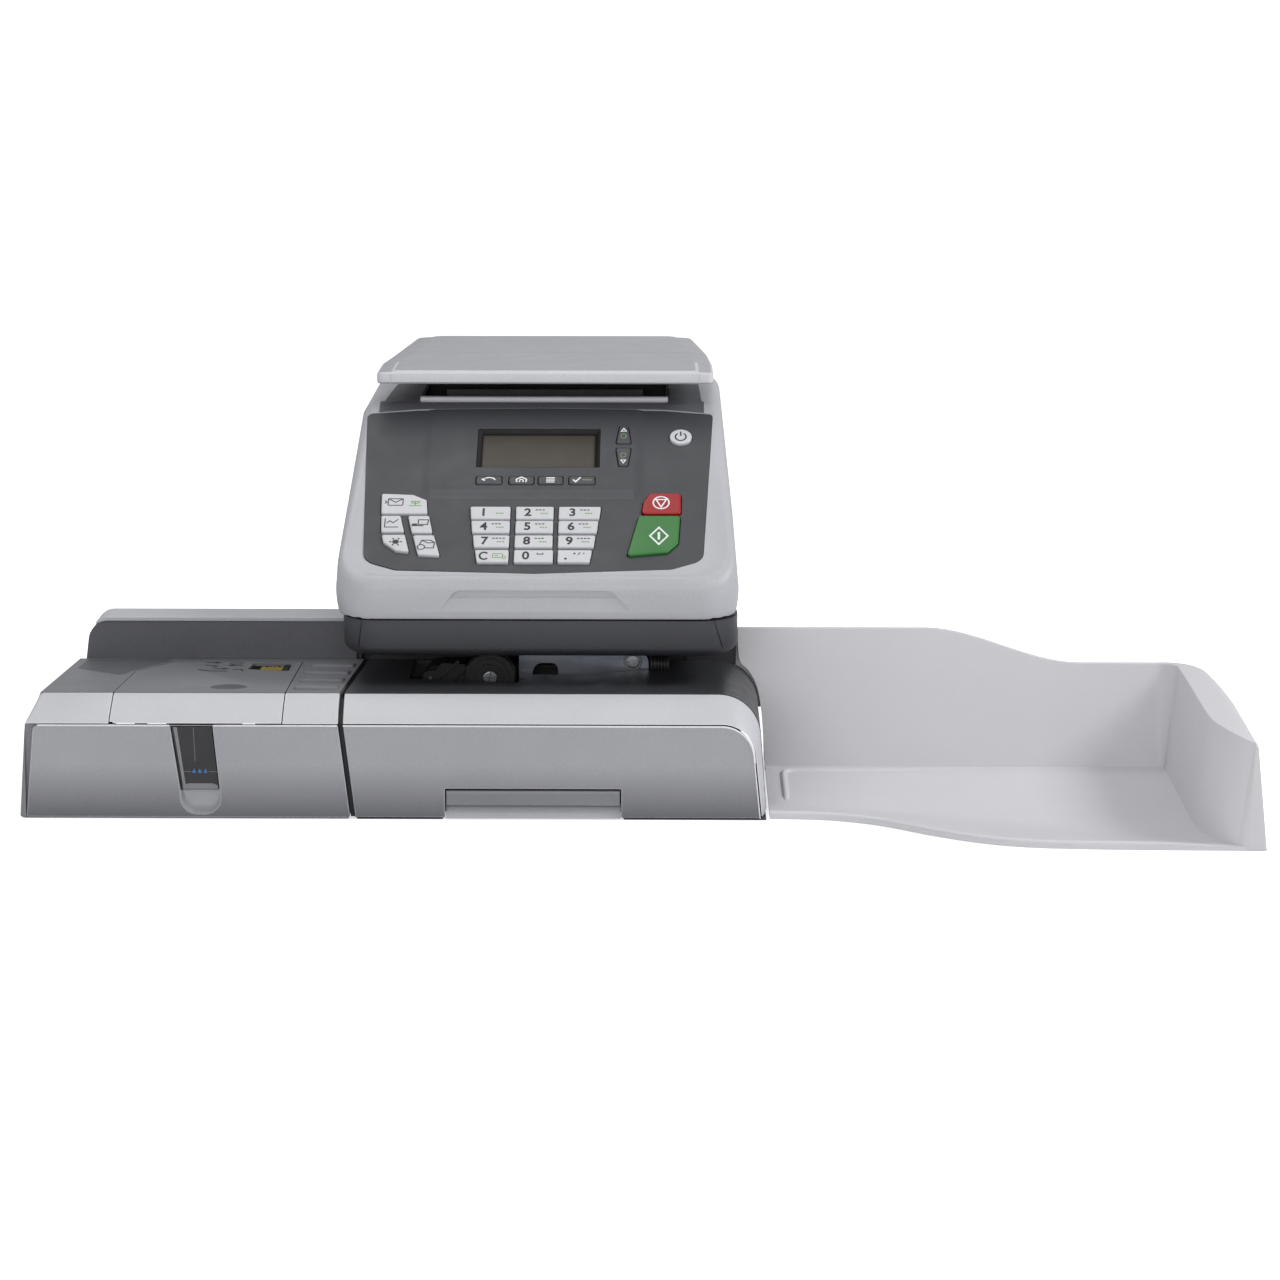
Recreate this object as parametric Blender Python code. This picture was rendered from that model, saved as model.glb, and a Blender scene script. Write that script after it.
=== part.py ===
"""Desktop franking machine: base, envelope sealer, print head with keypad, scale and catch tray.

Every dimension is in millimetres and is scaled to metres when a mesh is made. X runs along the
mail path (sealer at -X, catch tray at +X), Y runs from the operator's side to the back and Z is up.
The origin lies on the table under the middle of the base.
"""
import math

import bmesh
import bpy
from mathutils import Vector

MM = 0.001
GAP = 0.3                     # clearance between pieces that touch
WALL = 3.0                    # moulded wall thickness
ARC_STEPS = 3                 # segments in a small corner

# Base module
FRONT_Y = -200.0              # foot of the front face
FACE_TOP_Z = 73.5             # top of the front face
FACE_LEAN = 3.0               # how far the face leans back over its height
BEVEL_Y = -170.0              # back edge of the sloping front band
DECK_Z = 92.0                 # deck height at the band
DECK_SLOPE = math.tan(math.radians(2.0))
DECK_BACK_Y = -33.0           # deck ends at the registration wall
CORNER_X = 148.0              # right-hand corner of the face
BASE_RIGHT_X = 155.4
DECK_RIGHT_X = 160.0
BASE_BACK_Y = 190.0
BASE_FLOOR = 4.0
TOWER_LEFT_X = -156.0
TOWER_RIGHT_X = 112.0
TOWER_TOP_Z = 116.6

# Sealer module
SEALER_LEFT_X = -412.6        # outer left edge at the table
SEALER_TOP_LEFT_X = -398.9    # left edge at the front of the deck
SEALER_SIDE_LEAN = 5.6        # inward lean of the left side between the table and the band
SEALER_BACK_LEFT_X = -386.7   # left edge at the back of the deck
SEALER_BACK_Y = -1.0
SEAM_WIDTH = 4.0
WALL_TOP_Z = 117.7
CAP_TOP_Z = 121.8
COVER_LEFT_X = -341.9
COVER_RIGHT_X = -210.6
COVER_BACK_Y = -45.0
COVER_HINGE = (-276.0, -46.5, 86.2)

# Release handle and transport
HANDLE_LEFT_X = -86.3
HANDLE_RIGHT_X = 48.2
HANDLE_TOP_Z = 23.7
HANDLE_HINGE = (-19.0, -197.0, 21.2)
BELT_Y = (-66.0, -38.0)
BELT_Z = 76.0
BELT_RADIUS = 12.0
BELT_THICK = 2.0
DRIVE_X = 62.0
IDLER_X = -98.0
ARM_PIVOT = (-104.0, -77.0, 82.0)
PRESSURE_CENTRE = (-57.0, -86.0, 86.0)
PRESSURE_RADIUS = 20.0

# Head
HEAD_X = -18.2                # middle of the head housing
HEAD_HALF = 156.7             # half width at its widest
HEAD_HALF_TOP = 145.0         # half width of the wall line carried up to the plateau
HEAD_FRONT_Y = -146.5
HEAD_BACK_Y = 215.0
HEAD_WIDE_Z = 165.0
HEAD_SEAM_Z = 147.3
HEAD_CORNER = 30.0
RIM_RADIUS = 11.0
PLATEAU_Z = 286.0
PAN_X = -15.0
PAN_HALF = 151.0
PAN_BOTTOM_Z = 117.0
PAN_BACK_Y = 194.5
HINGE_Y = 205.0
HINGE_Z = 150.0
PIN_RADIUS = 3.0

# Control panel: a plane that climbs towards the back
SLOPE = math.radians(32.0)
PANEL_ORIGIN = (0.0, -136.0, 179.7)
PANEL_THICK = 3.0
KEY_RISE = 1.6
KEY_DEPTH = 5.5
KEY_GAP = 0.7

# Catch tray
TRAY_FLOOR = 3.0
TRAY_FOOT_Y = -49.0
TRAY_FOOT_X = 483.0
TRAY_LEFT_X = 162.0
TRAY_FRONT_Y = -280.0
TRAY_BACK_HEIGHT = 114.5
TRAY_END_HEIGHT = 87.0

# Weighing platform
PLATFORM_TOP_Z = 315.0
PLATFORM_UNDER_Z = 304.0


# ---------------------------------------------------------------- shared helpers

def clear_scene():
    for item in list(bpy.data.objects):
        bpy.data.objects.remove(item, do_unlink=True)


def material(name, colour, roughness, metallic=0.0):
    made = bpy.data.materials.new(name)
    made.use_nodes = True
    shader = made.node_tree.nodes["Principled BSDF"]
    shader.inputs["Base Color"].default_value = (*colour, 1.0)
    shader.inputs["Roughness"].default_value = roughness
    shader.inputs["Metallic"].default_value = metallic
    return made


def place(obj, pivot, parent=None, tilt=0.0):
    """Put an object's origin at a world point, under an empty when one is given."""
    obj.location = Vector(pivot) * MM
    obj.rotation_euler = (tilt, 0.0, 0.0)
    if parent is not None:
        obj.parent = parent
        obj.location = obj.location - parent.location
    return obj


def solid(name, verts, faces, look, pivot=(0.0, 0.0, 0.0), parent=None, tilt=0.0):
    """One closed mesh; the vertices are given from the pivot."""
    bm = bmesh.new()
    made = [bm.verts.new(Vector(point) * MM) for point in verts]
    for face in faces:
        bm.faces.new([made[index] for index in face])
    bmesh.ops.recalc_face_normals(bm, faces=bm.faces)
    mesh = bpy.data.meshes.new(name)
    bm.to_mesh(mesh)
    bm.free()
    obj = bpy.data.objects.new(name, mesh)
    bpy.context.scene.collection.objects.link(obj)
    if look is not None:
        mesh.materials.append(look)
    return place(obj, pivot, parent, tilt)


def loft(name, loops, look, pivot=(0.0, 0.0, 0.0), parent=None, closed=False):
    """Skin a row of equal loops; the ends are capped unless the row closes on itself."""
    count = len(loops[0])
    verts = [Vector(point) - Vector(pivot) for loop in loops for point in loop]
    faces = []
    spans = len(loops) if closed else len(loops) - 1
    for row in range(spans):
        low = row * count
        high = ((row + 1) % len(loops)) * count
        for step in range(count):
            after = (step + 1) % count
            faces.append([low + step, low + after, high + after, high + step])
    if not closed:
        faces.append(list(range(count)))
        faces.append([(len(loops) - 1) * count + step for step in range(count)])
    return solid(name, verts, faces, look, pivot, parent)


def prism(name, outline, axis, low, high, look, pivot=(0.0, 0.0, 0.0), parent=None):
    """Extrude a flat outline along X, Y or Z between two planes."""
    order = {
        "X": lambda u, v, w: (w, u, v),
        "Y": lambda u, v, w: (u, w, v),
        "Z": lambda u, v, w: (u, v, w),
    }[axis]
    loops = [[order(u, v, level) for u, v in outline] for level in (low, high)]
    return loft(name, loops, look, pivot, parent)


def box(name, x_range, y_range, z_range, look, pivot=(0.0, 0.0, 0.0), parent=None):
    outline = rectangle(x_range, y_range)
    return prism(name, outline, "Z", z_range[0], z_range[1], look, pivot, parent)


def rectangle(u_range, v_range):
    return [(u_range[0], v_range[0]), (u_range[1], v_range[0]),
            (u_range[1], v_range[1]), (u_range[0], v_range[1])]


def disc(centre, radius, steps):
    turns = [2.0 * math.pi * step / steps for step in range(steps)]
    return [(centre[0] + radius * math.cos(turn), centre[1] + radius * math.sin(turn)) for turn in turns]


def fillet(before, corner, after, radius, steps):
    """Points of the arc that rounds one corner of an outline."""
    corner = Vector(corner)
    to_before = (Vector(before) - corner).normalized()
    to_after = (Vector(after) - corner).normalized()
    angle = to_before.angle(to_after)
    reach = radius / math.tan(angle / 2.0)
    start = corner + to_before * reach
    end = corner + to_after * reach
    centre = corner + (to_before + to_after).normalized() * (radius / math.sin(angle / 2.0))
    sweep = math.pi - angle
    points = []
    for step in range(steps + 1):
        share = step / steps
        weight_start = math.sin((1.0 - share) * sweep) / math.sin(sweep)
        weight_end = math.sin(share * sweep) / math.sin(sweep)
        spoke = (start - centre) * weight_start + (end - centre) * weight_end
        points.append(tuple(centre + spoke))
    return points


def rounded(corners, radii, steps=ARC_STEPS, closed=True):
    """Outline through the corners with each one rounded; a radius of 0 keeps it sharp."""
    points = []
    last = len(corners) - 1
    for index, corner in enumerate(corners):
        is_end = not closed and index in (0, last)
        if radii[index] == 0.0 or is_end:
            points.append(tuple(corner))
            continue
        before = corners[index - 1]
        after = corners[(index + 1) % len(corners)]
        points.extend(fillet(before, corner, after, radii[index], steps))
    return points


def grown(corners, amount):
    """Move each side of a counter-clockwise outline outwards by the same amount."""
    count = len(corners)
    moved = []
    for index in range(count):
        here = Vector(corners[index])
        back = (here - Vector(corners[index - 1])).normalized()
        ahead = (Vector(corners[(index + 1) % count]) - here).normalized()
        side_back = Vector((back.y, -back.x))
        side_ahead = Vector((ahead.y, -ahead.x))
        middle = (side_back + side_ahead).normalized()
        moved.append(tuple(here + middle * (amount / middle.dot(side_back))))
    return moved


def boolean(target, tool, operation):
    """Attach an exact Boolean; the tool stays in the scene as a hidden guide."""
    tool.hide_render = True
    tool.display_type = "WIRE"
    change = target.modifiers.new(operation.lower() + "_" + tool.name, "BOOLEAN")
    change.operation = operation
    change.solver = "EXACT"
    change.object = tool
    return target


def cut(target, *tools):
    for tool in tools:
        boolean(target, tool, "DIFFERENCE")
    return target


def join(target, *tools):
    for tool in tools:
        boolean(target, tool, "UNION")
    return target


def shade_round(obj):
    """Smooth shading with creases kept at real corners."""
    obj.data.shade_smooth()
    obj.data.set_sharp_from_angle(angle=math.radians(35.0))
    return obj


# ---------------------------------------------------------------- shared surfaces

def face_y(z):
    return FRONT_Y + FACE_LEAN * z / FACE_TOP_Z


def deck_z(y):
    return DECK_Z - (y - BEVEL_Y) * DECK_SLOPE


def seam_x(y, z):
    """Left edge of the base, a plane that leans left as it climbs and right towards the back."""
    climb = z / DECK_Z
    return -155.0 - 9.5 * climb + 7.0 * climb * (y - BEVEL_Y) / 150.0


def sealer_left(y, z):
    """Outer left edge of the sealer: nearly upright up to the band, then leaning in to the deck."""
    back = (y - BEVEL_Y) / (DECK_BACK_Y - BEVEL_Y)
    top = SEALER_TOP_LEFT_X + (SEALER_BACK_LEFT_X - SEALER_TOP_LEFT_X) * max(0.0, back)
    shoulder = SEALER_LEFT_X + SEALER_SIDE_LEAN
    if z <= FACE_TOP_Z:
        return SEALER_LEFT_X + SEALER_SIDE_LEAN * z / FACE_TOP_Z
    return shoulder + (top - shoulder) * (z - FACE_TOP_Z) / (DECK_Z - FACE_TOP_Z)


def front_profile(inset, back_y, foot_z):
    """Section through the front band and the deck, from the foot of the band to the back."""
    return [
        (face_y(FACE_TOP_Z) + 0.4 * inset, foot_z),
        (face_y(FACE_TOP_Z) + 0.4 * inset, FACE_TOP_Z + 0.6),
        (BEVEL_Y + 0.3 * inset, DECK_Z - inset),
        (back_y, deck_z(back_y) - inset),
        (back_y, foot_z),
    ]


def panel_point(u, s, n=0.0):
    """World position of a point given across, up and out of the control panel."""
    return (
        PANEL_ORIGIN[0] + u,
        PANEL_ORIGIN[1] + s * math.cos(SLOPE) - n * math.sin(SLOPE),
        PANEL_ORIGIN[2] + s * math.sin(SLOPE) + n * math.cos(SLOPE),
    )


def panel_prism(name, outline, low, high, look, centre=(0.0, 0.0), parent=None):
    """Extrude an outline that lies on the control panel; the origin is the outline's centre."""
    loops = [[(u - centre[0], s - centre[1], n) for u, s in outline] for n in (low, high)]
    count = len(outline)
    faces = [list(range(count)), [count + step for step in range(count)]]
    for step in range(count):
        after = (step + 1) % count
        faces.append([step, after, count + after, count + step])
    return solid(name, loops[0] + loops[1], faces, look, panel_point(*centre), parent, SLOPE)


# ---------------------------------------------------------------- base module

def end_curve(top_z, corner_x, foot_x, radius, foot_z, y):
    """Front edge line: along the top from the left seam, round the corner and down the right side."""
    corners = [(seam_x(y, top_z), top_z), (corner_x, top_z), (foot_x, foot_z)]
    return rounded(corners, [0.0, radius, 0.0], steps=5, closed=False)


def build_base_case(look):
    """Chassis tub under the deck with the rear tower that carries the head."""
    case = box("base_case", (TOWER_LEFT_X, TOWER_RIGHT_X), (-31.0, BASE_BACK_Y), (0.0, TOWER_TOP_Z), look)
    front_plan = rounded(rectangle((-150.0, 141.0), (0.0, 72.0)), [0.0, 0.0, 24.0, 0.0])
    front = prism("case_front", front_plan, "Y", -193.5, -30.0, None)
    skirt = box("case_skirt", (-154.0, DECK_RIGHT_X - 0.8), (FRONT_Y + 0.6, -32.0), (0.0, 1.0), None)
    front_room = box("case_front_room", (-146.0, 137.0), (-190.0, -34.0), (BASE_FLOOR, 90.0), None)
    tower_room = box("case_tower_room", (TOWER_LEFT_X + 4.0, TOWER_RIGHT_X - 4.0), (-27.0, BASE_BACK_Y - 4.0),
                     (BASE_FLOOR, 130.0), None)
    notch = box("case_notch", (HANDLE_LEFT_X - 2.0, HANDLE_RIGHT_X + 2.0), (-205.0, -178.0), (-5.0, 28.0), None)
    join(case, front, skirt)
    return cut(case, front_room, tower_room, notch)


def build_base_fascia(look):
    """Leaning front panel with a rounded right corner and the handle opening."""
    foot = 1.3
    corners = [(seam_x(FRONT_Y, foot), foot), (BASE_RIGHT_X, foot), (CORNER_X, FACE_TOP_Z),
               (seam_x(FRONT_Y, FACE_TOP_Z), FACE_TOP_Z)]
    outline = rounded(corners, [0.0, 0.0, 25.0, 0.0], steps=5)
    loops = [[(x, face_y(z) + depth, z) for x, z in outline] for depth in (0.0, WALL)]
    fascia = loft("base_fascia", loops, look)
    opening = box("fascia_opening", (HANDLE_LEFT_X, HANDLE_RIGHT_X), (-210.0, -180.0), (-5.0, HANDLE_TOP_Z), None)
    return cut(fascia, opening)


def build_base_trim(look):
    """Light band that slopes from the front face up to the deck and runs down the right side."""
    loops = []
    seam = 0.6
    front_y = face_y(FACE_TOP_Z)
    outer_front = end_curve(FACE_TOP_Z + seam, CORNER_X + seam, BASE_RIGHT_X + seam, 25.0 + seam, 1.3, front_y)
    outer_back = end_curve(DECK_Z, CORNER_X + 5.0, DECK_RIGHT_X, 33.0, 1.3, BEVEL_Y)
    inner_back = end_curve(DECK_Z - 2.5, CORNER_X + 2.4, DECK_RIGHT_X - 2.6, 30.5, 1.3, BEVEL_Y)
    inner_front = end_curve(FACE_TOP_Z + seam - 0.4, CORNER_X + 0.1, BASE_RIGHT_X + 0.1, 25.0, 1.3, front_y)
    for a, b, c, d in zip(outer_front, outer_back, inner_back, inner_front):
        loops.append([(a[0], front_y, a[1]), (b[0], BEVEL_Y, b[1]), (c[0], BEVEL_Y, c[1]), (d[0], front_y + 3.0, d[1])])
    return loft("base_trim", loops, look)


def build_base_deck(look):
    """Dark mail deck that curls over the right-hand end; open where the transport comes through."""
    loops = []
    for y in (BEVEL_Y + 0.5, DECK_BACK_Y + 1.0):
        top = deck_z(y)
        outer = end_curve(top, CORNER_X + 5.0, DECK_RIGHT_X, 33.0, 1.3, y)
        inner = end_curve(top - WALL, CORNER_X + 2.0, DECK_RIGHT_X - WALL, 30.0, 1.3, y)
        loops.append([(x, y, z) for x, z in outer + inner[::-1]])
    deck = loft("base_deck", loops, look)
    plan = [(-120.0, -114.0), (-48.0, -128.0), (-34.0, -127.7), (-29.0, -104.0), (54.0, -81.0), (84.0, -76.0),
            (84.0, -37.0), (-120.0, -37.0)]
    opening = prism("deck_opening", plan, "Z", 60.0, 110.0, None)
    return cut(deck, opening)


def build_release_handle(look):
    """Flap that pivots about its top edge, with a ledge behind it that works the transport."""
    hinge_y, hinge_z = HANDLE_HINGE[1], HANDLE_HINGE[2]
    profile = [(hinge_y - 1.9, 10.5), (hinge_y - 1.9, hinge_z), (hinge_y - 1.3, hinge_z + 1.5),
               (hinge_y, hinge_z + 2.0), (hinge_y + 1.3, hinge_z + 1.5), (hinge_y + 12.0, hinge_z + 0.8),
               (hinge_y + 12.0, hinge_z - 2.0), (hinge_y + 2.0, hinge_z - 2.0), (hinge_y + 2.0, 10.5)]
    return prism("release_handle", profile, "X", HANDLE_LEFT_X + 1.0, HANDLE_RIGHT_X - 1.0, look, HANDLE_HINGE)


def build_guide_plate(look):
    """Bright upright plate behind the deck edge, with a D-shaped sight hole and a foot."""
    profile = [(-73.0, 4.3), (-58.0, 4.3), (-58.0, 6.0), (-71.5, 6.0), (-71.5, 103.0), (-73.0, 103.0)]
    plate = prism("guide_plate", profile, "X", -35.0, 68.0, look)
    sight = rounded([(-20.2, 84.0), (-7.6, 84.0), (-8.6, 93.0), (-19.2, 93.0)], [0.0, 0.0, 3.0, 4.5])
    hole = prism("sight_hole", sight, "Y", -80.0, -65.0, None)
    return cut(plate, hole)


def build_transport_belt(look):
    """Endless belt: a flat ring round the two transport rollers."""
    inner = BELT_RADIUS + GAP
    loops = []
    steps = 8
    for centre_x, start in ((DRIVE_X, -0.5 * math.pi), (IDLER_X, 0.5 * math.pi)):
        for step in range(steps + 1):
            turn = start + math.pi * step / steps
            ring = []
            for radius, y in ((inner, BELT_Y[0]), (inner + BELT_THICK, BELT_Y[0]),
                              (inner + BELT_THICK, BELT_Y[1]), (inner, BELT_Y[1])):
                ring.append((centre_x + radius * math.cos(turn), y, BELT_Z + radius * math.sin(turn)))
            loops.append(ring)
    return loft("transport_belt", loops, look, closed=True)


def build_roller(name, centre, radius, y_low, y_high, look, parent=None, journal=4.0):
    """Roller with a short journal at each end; it turns about a Y axis through its centre."""
    steps = 16
    loops = []
    for y, reach in ((y_low - 3.0, journal), (y_low, journal), (y_low, radius), (y_high, radius),
                     (y_high, journal), (y_high + 3.0, journal)):
        loops.append([(x, y, z) for x, z in disc((centre[0], centre[2]), reach, steps)])
    return shade_round(loft(name, loops, look, centre, parent))


def build_drive_motor(look):
    """Geared motor can with its shaft boss, lying on the chassis floor."""
    loops = []
    for x, reach in ((60.0, 5.0), (68.0, 5.0), (68.0, 18.0), (118.0, 18.0), (118.0, 9.0), (122.0, 9.0)):
        loops.append([(x, y, z) for y, z in disc((-150.0, 22.6), reach, 16)])
    return shade_round(loft("drive_motor", loops, look))


def build_roller_arm(look):
    """Swing arm from its pivot boss to the hub of the pressure roller."""
    px, pz = ARM_PIVOT[0], ARM_PIVOT[2]
    cx, cz = PRESSURE_CENTRE[0], PRESSURE_CENTRE[2]
    outline = [(px - 6.0, pz + 5.0), (px - 7.5, pz), (px - 5.0, pz - 6.0), (px + 6.0, pz - 7.0),
               (cx - 4.0, cz - 9.0), (cx + 6.0, cz - 7.0), (cx + 9.0, cz), (cx + 6.0, cz + 8.0), (cx - 4.0, cz + 10.0)]
    arm = prism("roller_arm", outline, "Y", -78.5, -74.5, look, ARM_PIVOT)
    bore = prism("arm_bore", disc((px, pz), 3.0, 12), "Y", -90.0, -60.0, None)
    hub = prism("arm_hub", disc((cx, cz), 4.5, 12), "Y", -90.0, -60.0, None)
    return cut(arm, bore, hub)


def build_registration_wall(look):
    """Dark wall that envelopes run along; hollow underneath, with a rounded left end."""
    foot = FACE_TOP_Z + 0.2
    corners = [(-388.5, foot), (-168.0, foot), (-168.0, WALL_TOP_Z), (-382.5, WALL_TOP_Z)]
    outline = rounded(corners, [0.0, 0.0, 0.0, 16.0])
    wall = prism("registration_wall", outline, "Y", -32.0, -2.0, look)
    room = box("wall_room", (-382.0, -172.0), (-29.0, -5.0), (foot - 5.0, WALL_TOP_Z - WALL), None)
    return cut(wall, room)


def build_wall_cap(look):
    """Light capping strip on the registration wall with a rounded left end."""
    corners = [(-383.5, WALL_TOP_Z + GAP - 12.0), (-168.0, WALL_TOP_Z + GAP - 12.0), (-168.0, CAP_TOP_Z),
               (-377.5, CAP_TOP_Z)]
    outline = rounded(corners, [0.0, 0.0, 0.0, 14.0], steps=4)
    inner = [(-400.0, WALL_TOP_Z - 40.0), (-150.0, WALL_TOP_Z - 40.0), (-150.0, WALL_TOP_Z + GAP),
             (-382.2, WALL_TOP_Z + GAP)]
    under = rounded(inner, [0.0, 0.0, 0.0, 16.0 - GAP])
    cap = prism("wall_cap", outline, "Y", -33.0, 0.0, look)
    return cut(cap, prism("cap_under", under, "Y", -50.0, 20.0, None))


# ---------------------------------------------------------------- sealer module

def build_sealer_case(look):
    """Sealer tub with a slim side strip on its left and room for the water tank."""
    loops = []
    for z in (0.0, FACE_TOP_Z - 1.0):
        left = sealer_left(FRONT_Y, z)
        right = seam_x(FRONT_Y, z) - SEAM_WIDTH - 1.5
        back = right + 6.0 * z / DECK_Z
        loops.append([(left, face_y(z) + 0.4, z), (right, face_y(z) + 0.4, z), (back, SEALER_BACK_Y, z),
                      (left + 12.0 * z / DECK_Z, SEALER_BACK_Y, z)])
    case = loft("sealer_case", loops, look)
    room = box("sealer_room", (-397.0, -173.0), (-192.0, SEALER_BACK_Y - 4.0), (BASE_FLOOR, 90.0), None)
    pocket_lean = [(-215.0, 1.0), (-195.6, 1.0), (face_y(FACE_TOP_Z) + 4.0, 80.0), (-215.0, 80.0)]
    pocket = prism("sealer_pocket", pocket_lean, "X", -407.4, -100.0, None)
    gate = box("tank_gate", (-299.0, -252.0), (-210.0, -180.0), (2.0, 90.0), None)
    return cut(case, room, pocket, gate)


def window_outline(clearance):
    """Tapered sight window; the tank's front follows the same outline a little smaller."""
    return [(-288.4 - clearance, 21.5 - clearance), (-258.6 + clearance, 21.5 - clearance),
            (-263.3 + clearance, 72.0 + clearance), (-295.3 - clearance, 72.0 + clearance)]


def build_sealer_fascia(look):
    """Leaning front panel of the sealer with the tank window and a finger scoop under it."""
    foot = 1.3
    corners = [(-406.9, foot), (seam_x(FRONT_Y, foot) - SEAM_WIDTH, foot),
               (seam_x(FRONT_Y, FACE_TOP_Z) - SEAM_WIDTH, FACE_TOP_Z), (-400.2, FACE_TOP_Z)]
    loops = [[(x, face_y(z) + depth, z) for x, z in corners] for depth in (0.0, WALL)]
    fascia = loft("sealer_fascia", loops, look)
    window = prism("tank_window", window_outline(GAP), "Y", -215.0, -180.0, None)
    scoop_back = prism("scoop_back", rounded([(-291.5, 2.6), (-254.5, 2.6), (-256.5, 21.2), (-289.5, 21.2)],
                                             [10.0, 10.0, 0.0, 0.0]), "Y", -197.5, -188.0, look)
    scoop = loft("scoop", [
        [(x, -199.99 - 5.0, z) for x, z in rounded([(-286.0, 4.4), (-259.5, 4.4), (-257.5, 21.0), (-288.0, 21.0)],
                                                    [11.0, 11.0, 0.0, 0.0])],
        [(x, -191.0, z) for x, z in rounded([(-284.0, 9.0), (-261.5, 9.0), (-259.5, 21.0), (-286.0, 21.0)],
                                             [9.0, 9.0, 0.0, 0.0])]], None)
    join(fascia, scoop_back)
    return cut(fascia, window, scoop)


def build_sealer_deck(look):
    """Top moulding of the sealer: front band, deck and side skirts, open for the hinged cover."""
    foot = FACE_TOP_Z + GAP
    loops = []
    for side in (0, 1):
        section = []
        for y, z in front_profile(0.0, DECK_BACK_Y, foot):
            edge = sealer_left(y, z) + 0.4 if side == 0 else seam_x(y, z) - SEAM_WIDTH
            section.append((edge, y, z))
        loops.append(section)
    deck = loft("sealer_deck", loops, look)
    inner = front_profile(2.5, DECK_BACK_Y - 2.5, foot - 6.0)
    inner[0] = (inner[0][0] + 2.0, inner[0][1])
    inner[1] = (inner[1][0] + 2.0, inner[1][1])
    room = prism("deck_room", inner, "X", -390.0, -176.0, None)
    clearance = 0.8
    plan = [(COVER_LEFT_X - clearance, -210.0), (COVER_RIGHT_X + clearance, -210.0),
            (COVER_RIGHT_X + clearance, COVER_BACK_Y + 2.5), (-314.0, COVER_BACK_Y + 2.5),
            (COVER_LEFT_X + 4.0 - clearance, -85.5), (COVER_LEFT_X - clearance, -168.0)]
    opening = prism("cover_opening", plan, "Z", 60.0, 120.0, None)
    ribs = []
    for index, y in enumerate((-153.0, -114.0, -78.0, -45.0)):
        low = deck_z(y) - 0.6
        ribs.append(prism("deck_rib_%d" % index, [(y - 3.0, low), (y + 3.0, low), (y + 1.5, low + 2.2),
                                                  (y - 1.5, low + 2.2)], "X", -203.0, -172.0, None))
    cut(deck, room, opening)
    return join(deck, *ribs)


def build_sealer_cover(look):
    """Hinged lid over the moistener: sloping lip, flat top, finger dip and brush window."""
    outer = front_profile(0.0, COVER_BACK_Y, FACE_TOP_Z)[1:4]
    inner = front_profile(2.5, COVER_BACK_Y, FACE_TOP_Z)[1:4]
    inner[0] = (inner[0][0] + 2.0, inner[0][1])
    profile = outer + inner[::-1]
    cover = prism("sealer_cover", profile, "X", COVER_LEFT_X, COVER_RIGHT_X, look, COVER_HINGE)
    corner = prism("cover_corner", [(-360.0, -168.0), (COVER_LEFT_X, -168.0), (COVER_LEFT_X + 4.0, -86.0),
                                    (-313.0, COVER_BACK_Y + 0.1), (-313.0, -20.0), (-360.0, -20.0)],
                   "Z", 60.0, 110.0, None)
    window = prism("brush_window", [(-251.0, -78.0), (-217.0, -85.0), (-217.0, -52.0), (-249.0, -52.0)],
                   "Z", 60.0, 110.0, None)
    dip_z = deck_z(-145.4)
    dip = loft("finger_dip", [
        [(x, y, dip_z + 3.0) for x, y in ellipse((-256.8, -145.4), 17.7, 12.5)],
        [(x, y, dip_z - 1.6) for x, y in ellipse((-256.8, -145.4), 12.0, 8.0)]], None)
    return cut(cover, corner, window, dip)


def ellipse(centre, reach_u, reach_v, steps=16):
    turns = [2.0 * math.pi * step / steps for step in range(steps)]
    return [(centre[0] + reach_u * math.cos(turn), centre[1] + reach_v * math.sin(turn)) for turn in turns]


def build_water_tank(look):
    """Slim water tank that pulls out of the front; open at the top of its back half."""
    outline = window_outline(-0.5)
    tank = prism("water_tank", outline, "Y", -196.4, -92.0, look, (-276.0, -196.4, 46.0))
    inner = [(-285.8, 24.5), (-262.0, 24.5), (-266.0, 69.0), (-292.0, 69.0)]
    room = prism("tank_room", inner, "Y", -193.5, -94.5, None)
    mouth = box("tank_mouth", (-288.0, -268.0), (-125.0, -98.0), (60.0, 90.0), None)
    return cut(tank, room, mouth)


def build_moistening_brush(look):
    """Brush bar whose bristles rise to the deck in the lid's window."""
    profile = [(-83.0, 4.3), (-60.0, 4.3), (-60.0, 78.0), (-70.0, 85.0), (-78.0, 84.5), (-83.0, 78.0)]
    return prism("moistening_brush", profile, "X", -245.0, -226.0, look)


# ---------------------------------------------------------------- head

def plan_loop(centre_x, half, front_y, back_y, front_radius, back_radius, steps=4):
    """Plan outline of the head, counter-clockwise from the front left corner."""
    corners = [(centre_x - half, front_y), (centre_x + half, front_y), (centre_x + half, back_y),
               (centre_x - half, back_y)]
    return rounded(corners, [front_radius, front_radius, back_radius, back_radius], steps)


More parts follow.
